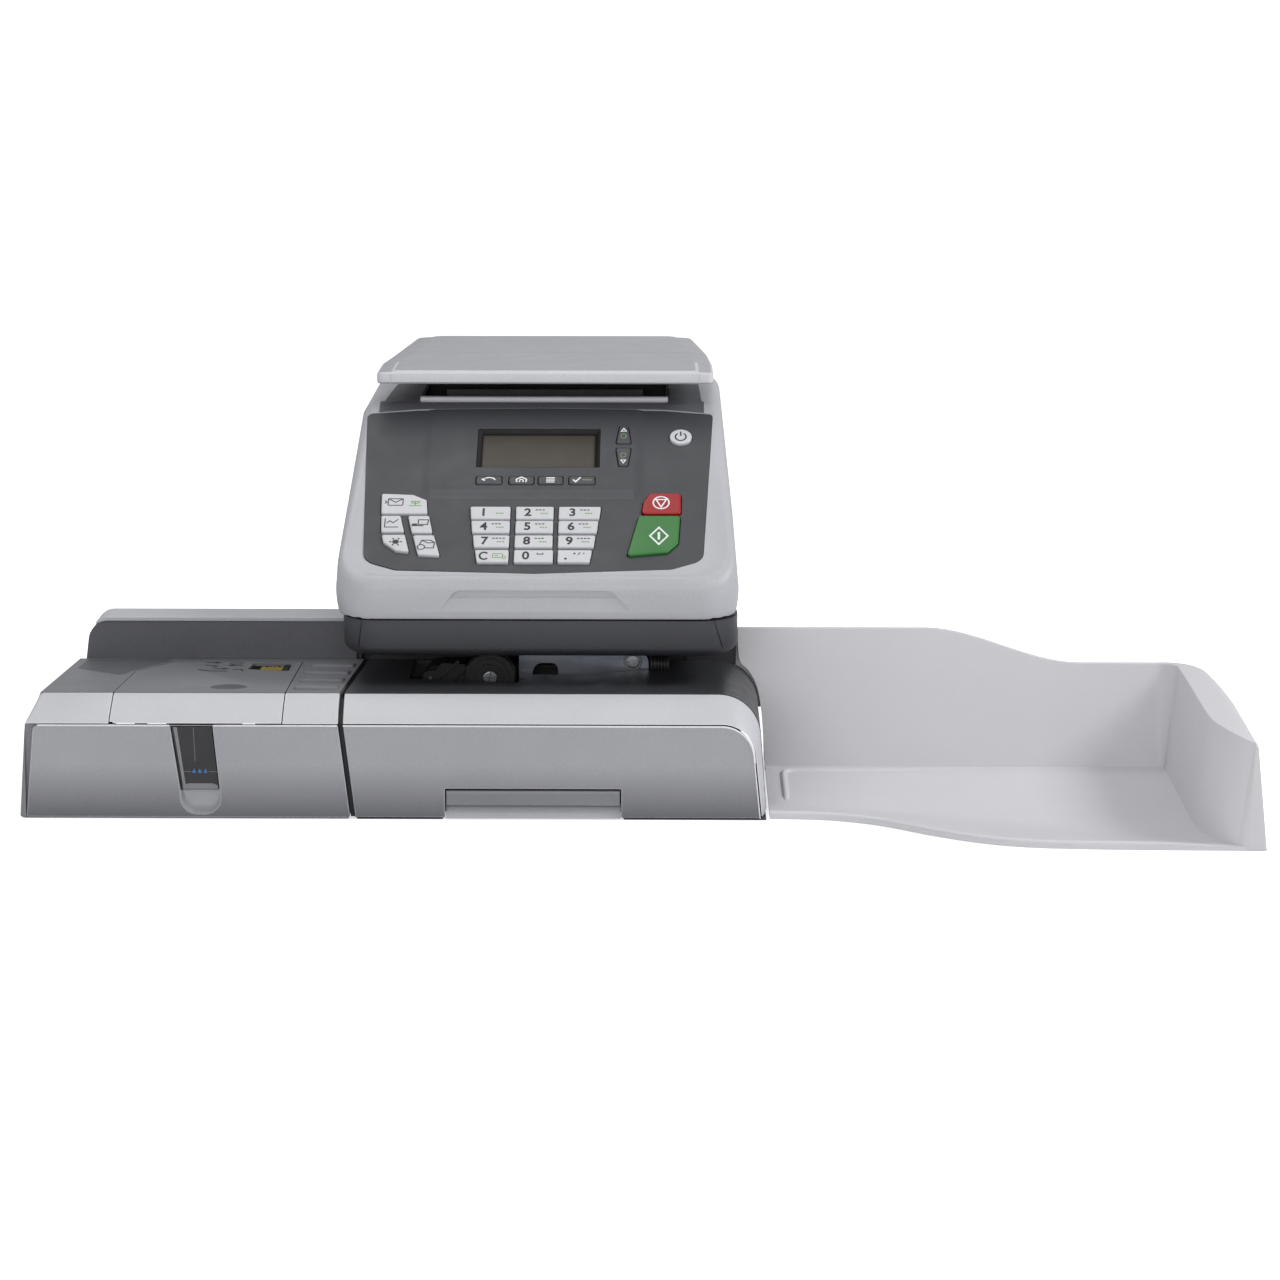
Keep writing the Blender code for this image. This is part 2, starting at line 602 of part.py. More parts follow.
def build_head_base(look):
    """Dark pan under the head: rounded lower edge, hollow top, print opening and hinge ears."""
    loops = []
    for z, inset in ((PAN_BOTTOM_Z, 11.0), (119.0, 5.5), (125.0, 1.4), (133.0, 0.0), (146.7, 0.0)):
        outline = plan_loop(PAN_X, PAN_HALF - inset, HEAD_FRONT_Y + 1.5 + inset, PAN_BACK_Y - inset * 0.5,
                            HEAD_CORNER - inset, 12.0)
        loops.append([(x, y, z) for x, y in outline])
    pan = loft("head_base", loops, look)
    room_plan = plan_loop(PAN_X, PAN_HALF - 5.0, HEAD_FRONT_Y + 7.0, PAN_BACK_Y - 4.0, 24.0, 8.0, steps=2)
    room = prism("pan_room", room_plan, "Z", PAN_BOTTOM_Z + 4.0, 160.0, None)
    mouth = box("print_mouth", (-30.0, 30.0), (-68.0, -34.0), (100.0, 130.0), None)
    cut(pan, room, mouth)
    for index, x in enumerate((-118.0, 75.0)):
        ear = box("hinge_ear_%d" % index, (x, x + 8.0), (PAN_BACK_Y - 6.0, HINGE_Y + 5.0), (124.0, HINGE_Z + 5.0),
                  None)
        join(pan, ear)
    bore = prism("ear_bore", disc((HINGE_Y, HINGE_Z), PIN_RADIUS + GAP, 16), "X", -140.0, 100.0, None)
    room_again = prism("pan_clear", room_plan, "Z", PAN_BOTTOM_Z + 4.0, 160.0, None)
    return cut(pan, bore, room_again)


def crest_height(y):
    """Height of the head's upper surface: the panel's slope up to the flat plateau."""
    slope = PANEL_ORIGIN[2] + (y - PANEL_ORIGIN[1]) * math.tan(SLOPE)
    return min(slope, PLATEAU_Z)


CREST_Y = PANEL_ORIGIN[1] + (PLATEAU_Z - PANEL_ORIGIN[2]) / math.tan(SLOPE)


def housing_outline(shrink):
    """Widest and virtual top outlines of the housing, with points on the crest line."""
    wide = plan_loop(HEAD_X, HEAD_HALF - shrink, HEAD_FRONT_Y + shrink, HEAD_BACK_Y - shrink,
                     HEAD_CORNER - shrink, 25.0 - shrink)
    top = plan_loop(HEAD_X - 1.5, HEAD_HALF_TOP - shrink, HEAD_FRONT_Y + 6.0 + shrink, HEAD_BACK_Y - 6.0 - shrink,
                    HEAD_CORNER - shrink, 25.0 - shrink)
    pairs = list(zip(wide, top))
    result = []
    for index, (low, high) in enumerate(pairs):
        result.append((low, high))
        low_next, high_next = pairs[(index + 1) % len(pairs)]
        crosses = (high[1] - CREST_Y) * (high_next[1] - CREST_Y) < 0.0
        if crosses:
            share = (CREST_Y - high[1]) / (high_next[1] - high[1])
            result.append((
                (low[0] + (low_next[0] - low[0]) * share, CREST_Y),
                (high[0] + (high_next[0] - high[0]) * share, CREST_Y),
            ))
    return result


def housing_rings(shrink, drop, low_z, rim_steps):
    """Rings from the seam up the walls and over the rounded rim to the sloping top."""
    pairs = housing_outline(shrink)
    centre = Vector((HEAD_X, 20.0))
    rings = [[], []]
    for low, high in pairs:
        inward = (centre - Vector(low)).normalized()
        tuck = 7.0 if shrink == 0.0 else 0.0
        rings[0].append((low[0] + inward.x * tuck, low[1] + inward.y * tuck, low_z))
        tuck = 1.8 if shrink == 0.0 else 0.0
        rings[1].append((low[0] + inward.x * tuck, low[1] + inward.y * tuck, 153.0))
    radius = RIM_RADIUS - shrink
    for step in range(rim_steps + 2):
        ring = []
        turn = 0.5 * math.pi * max(0, step - 1) / rim_steps
        for low, high in pairs:
            top = crest_height(max(high[1], HEAD_FRONT_Y + 9.0)) - drop
            if step == 0:
                level = HEAD_WIDE_Z
                inset = 0.0
            else:
                level = top - radius * (1.0 - math.sin(turn))
                inset = radius * (1.0 - math.cos(turn))
            level = max(level, HEAD_WIDE_Z + step * 0.5)
            share = (level - HEAD_WIDE_Z) / (PLATEAU_Z - HEAD_WIDE_Z)
            spot = Vector(low).lerp(Vector(high), share)
            inward = (centre - spot)
            inward.x = math.copysign(min(abs(inward.x), 110.0), inward.x) * 1.2
            inward.normalize()
            spot = spot + inward * inset
            level = min(level, crest_height(spot.y) - drop) if turn > 1.2 else level
            ring.append((spot.x, spot.y, level))
        rings.append(ring)
    return rings


def build_housing(name, shrink, drop, low_z, rim_steps, look, pivot=(0.0, 0.0, 0.0), parent=None):
    """Closed form of the head housing; the top is two flats that meet at the crest."""
    rings = housing_rings(shrink, drop, low_z, rim_steps)
    count = len(rings[0])
    verts = [Vector(point) - Vector(pivot) for ring in rings for point in ring]
    faces = [list(range(count))]
    for row in range(len(rings) - 1):
        for step in range(count):
            after = (step + 1) % count
            faces.append([row * count + step, row * count + after,
                          (row + 1) * count + after, (row + 1) * count + step])
    last = (len(rings) - 1) * count
    top_ring = rings[-1]
    crest = [index for index, (low, high) in enumerate(housing_outline(shrink)) if abs(high[1] - CREST_Y) < 0.01]
    right, left = crest
    plateau = list(range(right, left + 1))
    panel = list(range(left, count)) + list(range(0, right + 1))
    faces.append([last + index for index in plateau])
    faces.append([last + index for index in panel])
    assert len(top_ring) == count
    return solid(name, verts, faces, look, pivot, parent)


def panel_outline(offset):
    """Outline of the control panel across and up its plane, grown by an offset."""
    corners = [(-152.6, 14.0), (-127.6, 4.0), (-20.0, -1.0), (86.6, 4.0), (110.6, 14.0), (119.0, 187.0),
               (80.0, 191.5), (-20.0, 193.5), (-120.0, 191.5), (-160.7, 187.0)]
    radii = [14.0, 12.0, 0.0, 12.0, 14.0, 4.0, 0.0, 0.0, 0.0, 4.0]
    return rounded(grown(corners, offset), radii, steps=2)


def plateau_outline(offset):
    corners = [(-148.0, 41.0), (110.0, 41.0), (106.0, 196.0), (-143.0, 196.0)]
    return rounded(grown(corners, offset), [4.0, 4.0, 6.0, 6.0], steps=2)


def build_head_cover(look, pivot, parent):
    """Light upper housing, open below, with ledges for the control panel and the top deck."""
    cover = build_housing("head_cover", 0.0, 0.0, HEAD_SEAM_Z, 3, look, pivot, parent)
    hollow = build_housing("cover_hollow", WALL, WALL * 2.2, HEAD_SEAM_Z - 8.0, 1, None)
    ledge = panel_prism("panel_ledge", panel_outline(GAP), -PANEL_THICK - GAP, 12.0, None)
    drop = panel_prism("panel_drop", panel_outline(-6.0), -16.0, 2.0, None)
    top_ledge = prism("top_ledge", plateau_outline(GAP), "Z", PLATEAU_Z - WALL, PLATEAU_Z + 9.0, None)
    top_drop = prism("top_drop", plateau_outline(-6.0), "Z", PLATEAU_Z - 16.0, PLATEAU_Z + 4.0, None)
    cut(cover, hollow, ledge, drop, top_ledge, top_drop)
    for index, x in enumerate((-100.0, 25.0)):
        lug = box("hinge_lug_%d" % index, (x, x + 40.0), (HINGE_Y - 6.0, HEAD_BACK_Y - 2.0),
                  (HINGE_Z - 2.6, HINGE_Z + 5.0), None)
        join(cover, lug)
    for index, x in enumerate((-121.0, 72.0)):
        notch = box("ear_notch_%d" % index, (x, x + 14.0), (HINGE_Y - 20.0, HEAD_BACK_Y + 5.0),
                    (HINGE_Z - 15.0, HINGE_Z + 14.0), None)
        cut(cover, notch)
    bore = prism("lug_bore", disc((HINGE_Y, HINGE_Z), PIN_RADIUS + GAP, 16), "X", -110.0, 75.0, None)
    grip = loft("lift_grip", [
        [(-92.0, -165.0, 150.0), (53.0, -165.0, 150.0), (34.0, -165.0, 166.5), (-77.0, -165.0, 166.5)],
        [(-92.0, HEAD_FRONT_Y + 0.4, 150.0), (53.0, HEAD_FRONT_Y + 0.4, 150.0), (34.0, HEAD_FRONT_Y + 2.2, 166.5),
         (-77.0, HEAD_FRONT_Y + 2.2, 166.5)]], None)
    return cut(cover, bore, grip)


def build_top_deck(look, pivot, parent):
    """Dark plateau plate behind the crest, open for the label tray."""
    deck = prism("top_deck", plateau_outline(0.0), "Z", PLATEAU_Z - WALL + GAP, PLATEAU_Z, look, pivot, parent)
    slot = box("label_slot", (-119.6, 83.4), (48.0, 116.0), (270.0, 300.0), None)
    return cut(deck, slot)


def build_label_tray(look, pivot, parent):
    """Tray for label strips: raised light bar in front and a sunken floor behind it."""
    tray = box("label_tray", (-119.0, 82.8), (48.6, 115.4), (277.0, 292.7), look, pivot, parent)
    room = box("tray_hollow", (-116.5, 80.3), (54.0, 113.0), (279.0, 300.0), None)
    low_back = box("tray_low_back", (-125.0, 90.0), (54.0, 120.0), (285.6, 300.0), None)
    return cut(tray, room, low_back)


def build_label_pusher(look, pivot, parent):
    """Upright plate with a foot that pushes the labels to the front."""
    profile = [(78.0, 279.4), (92.0, 279.4), (92.0, 281.2), (80.0, 281.2), (80.0, 291.0), (78.0, 291.0)]
    return prism("label_pusher", profile, "X", -100.0, 62.0, look, pivot, parent)


def build_lcd_glass(look, parent):
    """Display module that fills the panel's window, set a little below the panel."""
    outline = rectangle((-70.0 + GAP, 28.7 - GAP), (121.0 + GAP, 168.0 - GAP))
    return panel_prism("lcd_glass", outline, -PANEL_THICK - 3.0, -1.2, look, (-20.6, 144.5), parent)


KEYS = {
    "key_1": ([(-71.2, 59.7), (-40.5, 59.7), (-40.5, 74.2), (-72.3, 74.2)], 1.5),
    "key_2": ([(-36.0, 59.7), (-6.5, 59.7), (-6.5, 74.2), (-36.3, 74.2)], 1.5),
    "key_3": ([(-2.5, 59.7), (29.3, 59.7), (30.6, 74.2), (-2.5, 74.2)], 1.5),
    "key_4": ([(-69.7, 43.7), (-40.4, 43.7), (-40.4, 57.8), (-70.9, 57.8)], 1.5),
    "key_5": ([(-36.0, 43.7), (-6.5, 43.7), (-6.5, 57.8), (-36.0, 57.8)], 1.5),
    "key_6": ([(-2.4, 43.7), (27.6, 43.7), (28.9, 57.8), (-2.4, 57.8)], 1.5),
    "key_7": ([(-67.5, 27.2), (-40.3, 27.2), (-40.3, 41.2), (-68.9, 41.2)], 1.5),
    "key_8": ([(-36.0, 27.2), (-6.4, 27.2), (-6.4, 41.2), (-36.0, 41.2)], 1.5),
    "key_9": ([(-2.3, 27.2), (25.5, 27.2), (26.9, 41.2), (-2.3, 41.2)], 1.5),
    "key_clear": ([(-64.6, 10.2), (-40.2, 10.2), (-40.2, 24.4), (-66.7, 24.4)], 1.5),
    "key_0": ([(-36.0, 10.2), (-5.7, 10.2), (-5.7, 24.4), (-36.0, 24.4)], 1.5),
    "key_point": ([(-2.1, 10.2), (22.6, 10.2), (24.6, 24.4), (-2.1, 24.4)], 1.5),
    "soft_key_back": ([(-69.0, 100.5), (-48.8, 100.5), (-48.8, 110.0), (-69.0, 110.0)], 2.0),
    "soft_key_home": ([(-42.9, 100.5), (-23.4, 100.5), (-23.4, 110.0), (-42.9, 110.0)], 2.0),
    "soft_key_list": ([(-19.7, 100.5), (-0.4, 100.5), (-0.4, 110.0), (-19.7, 110.0)], 2.0),
    "soft_key_accept": ([(4.7, 100.5), (25.1, 100.5), (25.1, 110.0), (4.7, 110.0)], 2.0),
    "arrow_up_key": ([(41.3, 149.5), (53.4, 149.5), (50.8, 170.0), (43.9, 170.0)], 2.0),
    "arrow_down_key": ([(43.9, 122.4), (50.8, 122.4), (53.4, 144.3), (41.3, 144.3)], 2.0),
    "stop_key": ([(62.3, 65.9), (93.5, 65.9), (93.5, 90.2), (69.0, 90.2), (64.0, 80.0)], 3.5),
    "start_key": ([(51.6, 18.0), (83.0, 22.0), (91.5, 33.0), (93.0, 64.0), (60.5, 64.0)], 2.5),
    "shortcut_weigh": ([(-142.0, 65.7), (-105.6, 65.7), (-107.0, 81.5), (-118.0, 87.8), (-143.0, 89.1)], 1.8),
    "shortcut_graph": ([(-140.7, 44.4), (-122.6, 44.4), (-126.6, 63.4), (-141.8, 63.4)], 1.8),
    "shortcut_rate": ([(-116.7, 43.6), (-100.4, 43.6), (-104.2, 63.4), (-120.8, 63.4)], 1.8),
    "shortcut_job": ([(-128.0, 23.2), (-117.6, 21.6), (-122.0, 41.6), (-140.2, 41.6), (-138.4, 33.0)], 1.8),
    "shortcut_mail": ([(-110.6, 18.6), (-93.4, 17.3), (-99.2, 41.0), (-115.8, 41.0)], 1.8),
}
POWER_KEY = ((93.2, 158.0), 8.9)


def key_outline(name, offset=0.0):
    if name == "power_key":
        return disc(POWER_KEY[0], POWER_KEY[1] + offset, 16)
    corners, radius = KEYS[name]
    return rounded(grown(corners, offset), [radius] * len(corners), steps=2)


def key_centre(name):
    outline = key_outline(name)
    return (sum(point[0] for point in outline) / len(outline), sum(point[1] for point in outline) / len(outline))


def build_control_panel(look, parent):
    """Dark fascia plate on the slope, pierced for the display and every key."""
    panel = panel_prism("control_panel", panel_outline(0.0), -PANEL_THICK, 0.0, look, (0.0, 0.0), parent)
    window = panel_prism("display_window", rectangle((-70.0, 28.7), (121.0, 168.0)), -8.0, 4.0, None)
    cut(panel, window)
    for name in list(KEYS) + ["power_key"]:
        cut(panel, panel_prism("hole_" + name, key_outline(name, KEY_GAP), -8.0, 4.0, None))
    return panel


def build_keys(looks, parent):
    special = {"stop_key": "key_red", "start_key": "key_green", "arrow_up_key": "panel_dark",
               "arrow_down_key": "panel_dark"}
    for name in list(KEYS) + ["power_key"]:
        slot = special.get(name, "key_white")
        if name.startswith("soft_key"):
            slot = "panel_dark"
        panel_prism(name, key_outline(name), -KEY_DEPTH, KEY_RISE, looks[slot], key_centre(name), parent)


def build_weighing_platform(look, parent_pivot, parent):
    """Scale platform: flat top, sloping edge and a shallow hollow underneath."""
    front = 15.0
    step = 126.0
    back = 235.0
    corners = [(-152.5, front), (119.5, front), (119.0, 70.0), (115.5, step), (102.0, back), (-135.0, back),
               (-146.0, step), (-152.5, 70.0)]
    radii = [5.0, 5.0, 0.0, 0.0, 12.0, 12.0, 0.0, 0.0]
    loops = []
    for z, inset in ((PLATFORM_UNDER_Z, 1.5), (PLATFORM_UNDER_Z + 1.5, 0.0), (PLATFORM_TOP_Z - 2.5, 0.0),
                     (PLATFORM_TOP_Z, 5.0)):
        outline = rounded(grown(corners, -inset), [max(radius - inset, 2.0) if radius else 0.0 for radius in radii],
                          steps=2)
        loops.append([(x, y, z) for x, y in outline])
    platform = loft("weighing_platform", loops, look, parent_pivot, parent)
    room = prism("platform_room", grown(corners, -7.0), "Z", PLATFORM_UNDER_Z - 5.0, PLATFORM_TOP_Z - 5.0, None)
    return cut(platform, room)


def build_load_cell(look, pivot, parent):
    """Bending-beam load cell on the top deck under the platform."""
    cell = box("load_cell", (-58.0, 22.0), (135.0, 160.0), (PLATEAU_Z + GAP, 309.0), look, pivot, parent)
    slot = prism("cell_slot", rounded(rectangle((-38.0, 2.0), (292.0, 303.0)), [4.0] * 4, 2), "Y", 120.0, 170.0, None)
    under = box("cell_relief", (-28.0, 60.0), (120.0, 170.0), (280.0, 288.5), None)
    over = box("cell_top_relief", (-80.0, -8.0), (120.0, 170.0), (306.5, 320.0), None)
    return cut(cell, slot, under, over)


# ---------------------------------------------------------------- print unit

def build_carriage_rail(look):
    """Guide rod for the print carriage with a foot at each end."""
    loops = [[(x, y, z) for x, z in disc((-34.0, 142.0), 4.0, 12)] for y in (-108.0, 108.0)]
    rail = loft("carriage_rail", loops, look)
    for index, y in enumerate((-112.0, 104.0)):
        join(rail, box("rail_foot_%d" % index, (-41.0, -27.0), (y, y + 8.0), (PAN_BOTTOM_Z + 4.0 + GAP, 149.0), None))
    return shade_round(rail)


def build_print_carriage(look):
    """Cradle that slides on the rail and holds the cartridge over the print mouth."""
    carriage = box("print_carriage", (-42.0, 25.0), (-74.0, 14.0), (PAN_BOTTOM_Z + 5.5, 162.0), look,
                   (-34.0, -30.0, 142.0))
    bore = prism("carriage_bore", disc((-34.0, 142.0), 4.4, 12), "Y", -90.0, 30.0, None)
    pocket = box("cartridge_pocket", (-22.5, 22.5), (-70.6, 10.6), (126.0, 180.0), None)
    nozzle = box("nozzle_gate", (-12.0, 12.0), (-62.0, -40.0), (110.0, 140.0), None)
    return cut(carriage, bore, pocket, nozzle)


def build_ink_cartridge(look):
    """Ink cartridge with a narrow nozzle block under its front."""
    profile = [(-70.0, 126.6), (10.0, 126.6), (10.0, 176.0), (-30.0, 176.0), (-30.0, 182.0), (-50.0, 182.0),
               (-50.0, 170.0), (-70.0, 164.0)]
    cartridge = prism("ink_cartridge", profile, "X", -22.0, 22.0, look, (0.0, -30.0, 150.0))
    return join(cartridge, box("nozzle", (-11.0, 11.0), (-61.0, -41.0), (121.6, 130.0), None))


def build_hinge_pin(look):
    loops = [[(x, y, z) for y, z in disc((HINGE_Y, HINGE_Z), PIN_RADIUS, 12)] for x in (-121.0, 86.0)]
    return shade_round(loft("hinge_pin", loops, look))


# ---------------------------------------------------------------- catch tray

def tray_height(x):
    """Top of the back wall: level, then a soft drop to the end of the tray."""
    share = min(1.0, max(0.0, (x - 290.0) / 125.0))
    ease = share * share * (3.0 - 2.0 * share)
    return TRAY_BACK_HEIGHT + (86.0 - TRAY_BACK_HEIGHT) * ease


def tray_path():
    """Stations along the wall's foot: place, way outwards, height, inner lean and foot thickness."""
    stations = []
    for x in (139.5, 220.0, 290.0, 315.0, 340.0, 365.0, 390.0, 415.0, 460.0):
        stations.append(((x, TRAY_FOOT_Y), (0.0, 1.0), tray_height(x), 15.0, 32.0))
    radius = 5.0
    corner = (TRAY_FOOT_X - radius, TRAY_FOOT_Y - radius)
    steps = 5
    for step in range(steps + 1):
        blend = step / steps
        turn = 0.5 * math.pi * (1.0 - blend)
        out = (math.cos(turn), math.sin(turn))
        spot = (corner[0] + radius * out[0], corner[1] + radius * out[1])
        stations.append((spot, out, 86.0 + blend, 15.0 - 7.0 * blend, 32.0 + 9.0 * blend))
    straight_x = 482.2
    for y, x, height in ((-130.0, 482.6, 88.0), (-200.0, straight_x, 88.0), (-232.0, 483.0, 87.5),
                         (-252.0, 490.0, 87.0), (-266.0, 498.5, 85.0), (TRAY_FRONT_Y, 506.0, 80.0)):
        outer_foot = 524.0 + 3.6 * max(0.0, (-200.0 - y) / 80.0)
        lean = 8.0 + 0.126 * (x - straight_x)
        stations.append(((x, y), (1.0, 0.0), height, lean, outer_foot - x))
    return stations


def tray_section(station, inset):
    """Wall section: leaning inner face, narrow top and leaning outer face, down to the table."""
    (x, y), (out_x, out_y), height, lean, thick = station
    foot = 0.0 if inset == 0.0 else -5.0
    section = [(inset, foot), (lean + inset * 0.8, height - inset), (thick - 9.0 - inset * 0.8, height - 1.0 - inset),
               (thick - inset, foot)]
    return [(x + out_x * reach, y + out_y * reach, level) for reach, level in section]


def build_catch_tray(look):
    """Vacuum-formed tray: a flat floor with a hollow wall behind it and round its right-hand end."""
    stations = tray_path()
    tray = loft("catch_tray", [tray_section(station, 0.0) for station in stations], look)
    front = [(TRAY_LEFT_X, -196.0), (205.0, -199.6), (243.0, -213.7), (283.0, -242.0), (318.0, -262.0),
             (352.0, -272.5), (400.0, -277.0), (515.0, TRAY_FRONT_Y + 0.4)]
    floor_plan = front + [(520.0, -60.0), (490.0, TRAY_FOOT_Y + 4.0), (TRAY_LEFT_X, TRAY_FOOT_Y + 4.0)]
    floor = prism("tray_floor", floor_plan, "Z", 0.0, TRAY_FLOOR, None)
    core = [tray_section(station, 2.6) for station in stations[:-1]]
    core[0] = [(x - 20.0, y, z) for x, y, z in core[0]]
    hollow = loft("tray_hollow_core", core, None)
    slant = [(100.0, -20.0), (TRAY_LEFT_X, -20.0), (157.8, 54.0), (154.0, 70.0), (147.5, 81.0), (140.0, 91.0),
             (140.0, 130.0), (100.0, 130.0)]
    end_slant = prism("tray_slant", slant, "Y", -80.0, 20.0, None)
    join(tray, floor)
    return cut(tray, hollow, end_slant)


# ---------------------------------------------------------------- assembly

def build():
    clear_scene()
    looks = {
        "housing_light": material("housing_light", (0.60, 0.60, 0.62), 0.42),
        "fascia_grey": material("fascia_grey", (0.32, 0.33, 0.35), 0.4),
        "panel_dark": material("panel_dark", (0.085, 0.088, 0.095), 0.5),
        "deck_dark": material("deck_dark", (0.06, 0.062, 0.068), 0.55),
        "tray_pale": material("tray_pale", (0.66, 0.66, 0.68), 0.45),
        "key_white": material("key_white", (0.75, 0.76, 0.77), 0.4),
        "key_red": material("key_red", (0.52, 0.02, 0.025), 0.4),
        "key_green": material("key_green", (0.07, 0.28, 0.07), 0.4),
        "display": material("display", (0.10, 0.085, 0.07), 0.25),
        "rubber": material("rubber", (0.02, 0.02, 0.02), 0.8),
        "steel": material("steel", (0.6, 0.6, 0.62), 0.3, 1.0),
        "tank_clear": material("tank_clear", (0.05, 0.05, 0.055), 0.15),
        "bristle": material("bristle", (0.5, 0.4, 0.12), 0.8),
    }
    head_hinge = (HEAD_X, HINGE_Y, HINGE_Z)
    head = bpy.data.objects.new("head_hinge_axis", None)
    bpy.context.scene.collection.objects.link(head)
    head.location = Vector(head_hinge) * MM

    build_base_case(looks["deck_dark"])
    build_base_fascia(looks["fascia_grey"])
    build_base_trim(looks["housing_light"])
    build_base_deck(looks["deck_dark"])
    build_release_handle(looks["fascia_grey"])
    build_guide_plate(looks["steel"])
    build_transport_belt(looks["rubber"])
    build_roller("drive_roller", (DRIVE_X, -52.0, BELT_Z), BELT_RADIUS, *BELT_Y, looks["rubber"])
    build_roller("idler_roller", (IDLER_X, -52.0, BELT_Z), BELT_RADIUS, *BELT_Y, looks["rubber"])
    build_drive_motor(looks["steel"])
    build_roller_arm(looks["deck_dark"])
    build_roller("pressure_roller", PRESSURE_CENTRE, PRESSURE_RADIUS, -92.0, -79.3, looks["rubber"])
    build_registration_wall(looks["deck_dark"])
    build_wall_cap(looks["housing_light"])

    build_sealer_case(looks["fascia_grey"])
    build_sealer_fascia(looks["fascia_grey"])
    build_sealer_deck(looks["fascia_grey"])
    build_sealer_cover(looks["fascia_grey"])
    build_water_tank(looks["tank_clear"])
    build_moistening_brush(looks["bristle"])

    build_head_base(looks["deck_dark"])
    build_head_cover(looks["housing_light"], head_hinge, head)
    build_control_panel(looks["panel_dark"], head)
    build_top_deck(looks["panel_dark"], head_hinge, head)
    build_lcd_glass(looks["display"], head)
    build_label_tray(looks["housing_light"], head_hinge, head)
    build_label_pusher(looks["panel_dark"], (-19.0, 79.0, 285.0), head)
    build_keys(looks, head)
    build_weighing_platform(looks["housing_light"], (-16.5, 125.0, 309.0), head)
    build_load_cell(looks["steel"], head_hinge, head)

    build_print_carriage(looks["deck_dark"])
    build_ink_cartridge(looks["deck_dark"])
    build_carriage_rail(looks["steel"])
    build_hinge_pin(looks["steel"])
    build_catch_tray(looks["tray_pale"])


build()
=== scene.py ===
import math

import bmesh
import bpy
from mathutils import Matrix, Vector


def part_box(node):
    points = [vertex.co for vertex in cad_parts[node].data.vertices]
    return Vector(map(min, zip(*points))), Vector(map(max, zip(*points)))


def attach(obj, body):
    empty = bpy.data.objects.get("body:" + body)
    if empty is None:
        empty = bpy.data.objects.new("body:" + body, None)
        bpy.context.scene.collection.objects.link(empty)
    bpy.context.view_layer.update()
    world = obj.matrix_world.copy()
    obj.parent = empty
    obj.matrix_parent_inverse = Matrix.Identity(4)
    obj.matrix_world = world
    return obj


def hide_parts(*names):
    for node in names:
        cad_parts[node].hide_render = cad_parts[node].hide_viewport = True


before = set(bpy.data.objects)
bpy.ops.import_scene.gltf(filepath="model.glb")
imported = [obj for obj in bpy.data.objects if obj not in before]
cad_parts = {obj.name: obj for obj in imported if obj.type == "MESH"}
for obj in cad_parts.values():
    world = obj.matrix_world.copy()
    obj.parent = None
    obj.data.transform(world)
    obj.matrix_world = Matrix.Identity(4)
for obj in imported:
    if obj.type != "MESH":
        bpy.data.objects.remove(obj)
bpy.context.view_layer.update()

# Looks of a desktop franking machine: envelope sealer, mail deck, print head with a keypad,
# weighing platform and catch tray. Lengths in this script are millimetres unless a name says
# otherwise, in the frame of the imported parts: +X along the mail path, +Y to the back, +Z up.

MM = 0.001
GAP = 0.3


def lowest(node):
    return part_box(node)[0] / MM


def highest(node):
    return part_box(node)[1] / MM


# ---------------------------------------------------------------- driving dimensions

FACE_TOP_Z = highest("base_fascia").z
FACE_LEAN = 3.0                                   # the front faces lean back by this over their height
FRONT_Y = -200.0
BEVEL_Y = highest("base_trim").y                  # back edge of the sloping light band
DECK_Z = highest("base_trim").z
DECK_SLOPE = math.tan(math.radians(2.0))
DECK_BACK_Y = highest("sealer_deck").y
BAND_SEAM = 0.6                                   # open joint between the face and the band
# The light bead along the top of the front faces is a painted highlight on their upper edge.
BEAD_TOP_Z = FACE_TOP_Z - 0.35
BEAD_WIDTH = 1.25
FACE_CUT = (-215.0, -180.0)                       # cutters through the front faces, in Y
BASE_FOOT_X = highest("base_fascia").x
DECK_RIGHT_X = highest("base_deck").x
CORNER_X = DECK_RIGHT_X - 12.0
SEAM_WIDTH = 4.0
SEALER_LEFT_X = lowest("sealer_case").x
SEALER_TOP_LEFT_X = -398.9
SEALER_SIDE_LEAN = 5.6
SEALER_BACK_LEFT_X = -386.7
COVER_LEFT_X = lowest("sealer_cover").x
COVER_RIGHT_X = highest("sealer_cover").x
COVER_BACK_Y = highest("sealer_cover").y
DIP_CENTRE = (-256.8, -145.4)                     # finger dip in the lid
DIP_REACH = 17.7
DIP_REACH_Y = 12.5                                # half its size from front to back
WALL_TOP_Z = highest("registration_wall").z
CAP_TOP_Z = highest("wall_cap").z
HANDLE_LEFT_X = lowest("release_handle").x - 1.0
HANDLE_RIGHT_X = highest("release_handle").x + 1.0
HANDLE_TOP_Z = highest("release_handle").z + 0.5

HEAD_X = -18.2
HEAD_HALF = 156.7
HEAD_HALF_TOP = 145.0
HEAD_FRONT_Y = -146.5
HEAD_BACK_Y = 215.0
HEAD_WIDE_Z = 165.0
HEAD_SEAM_Z = 143.9
HEAD_CORNER = 30.0
RIM_RADIUS = 11.0
PLATEAU_Z = highest("top_deck").z
PAN_X = -15.0
PAN_HALF = 151.0
PAN_BOTTOM_Z = lowest("head_base").z
PAN_TOP_Z = 143.4
PAN_BACK_Y = 194.5
HINGE = (205.0, 150.0)                            # pin of the head's hinge, in Y and Z
HINGE_BORE = 3.3

SLOPE = math.radians(32.0)                        # the control panel climbs to the back
PANEL_ORIGIN = (0.0, -136.0, 179.7)
KEY_RISE = 1.6
KEY_DEPTH = 5.5
KEY_GAP = 0.7

PLATFORM_UNDER_Z = lowest("weighing_platform").z
PLATFORM_TOP_Z = highest("weighing_platform").z

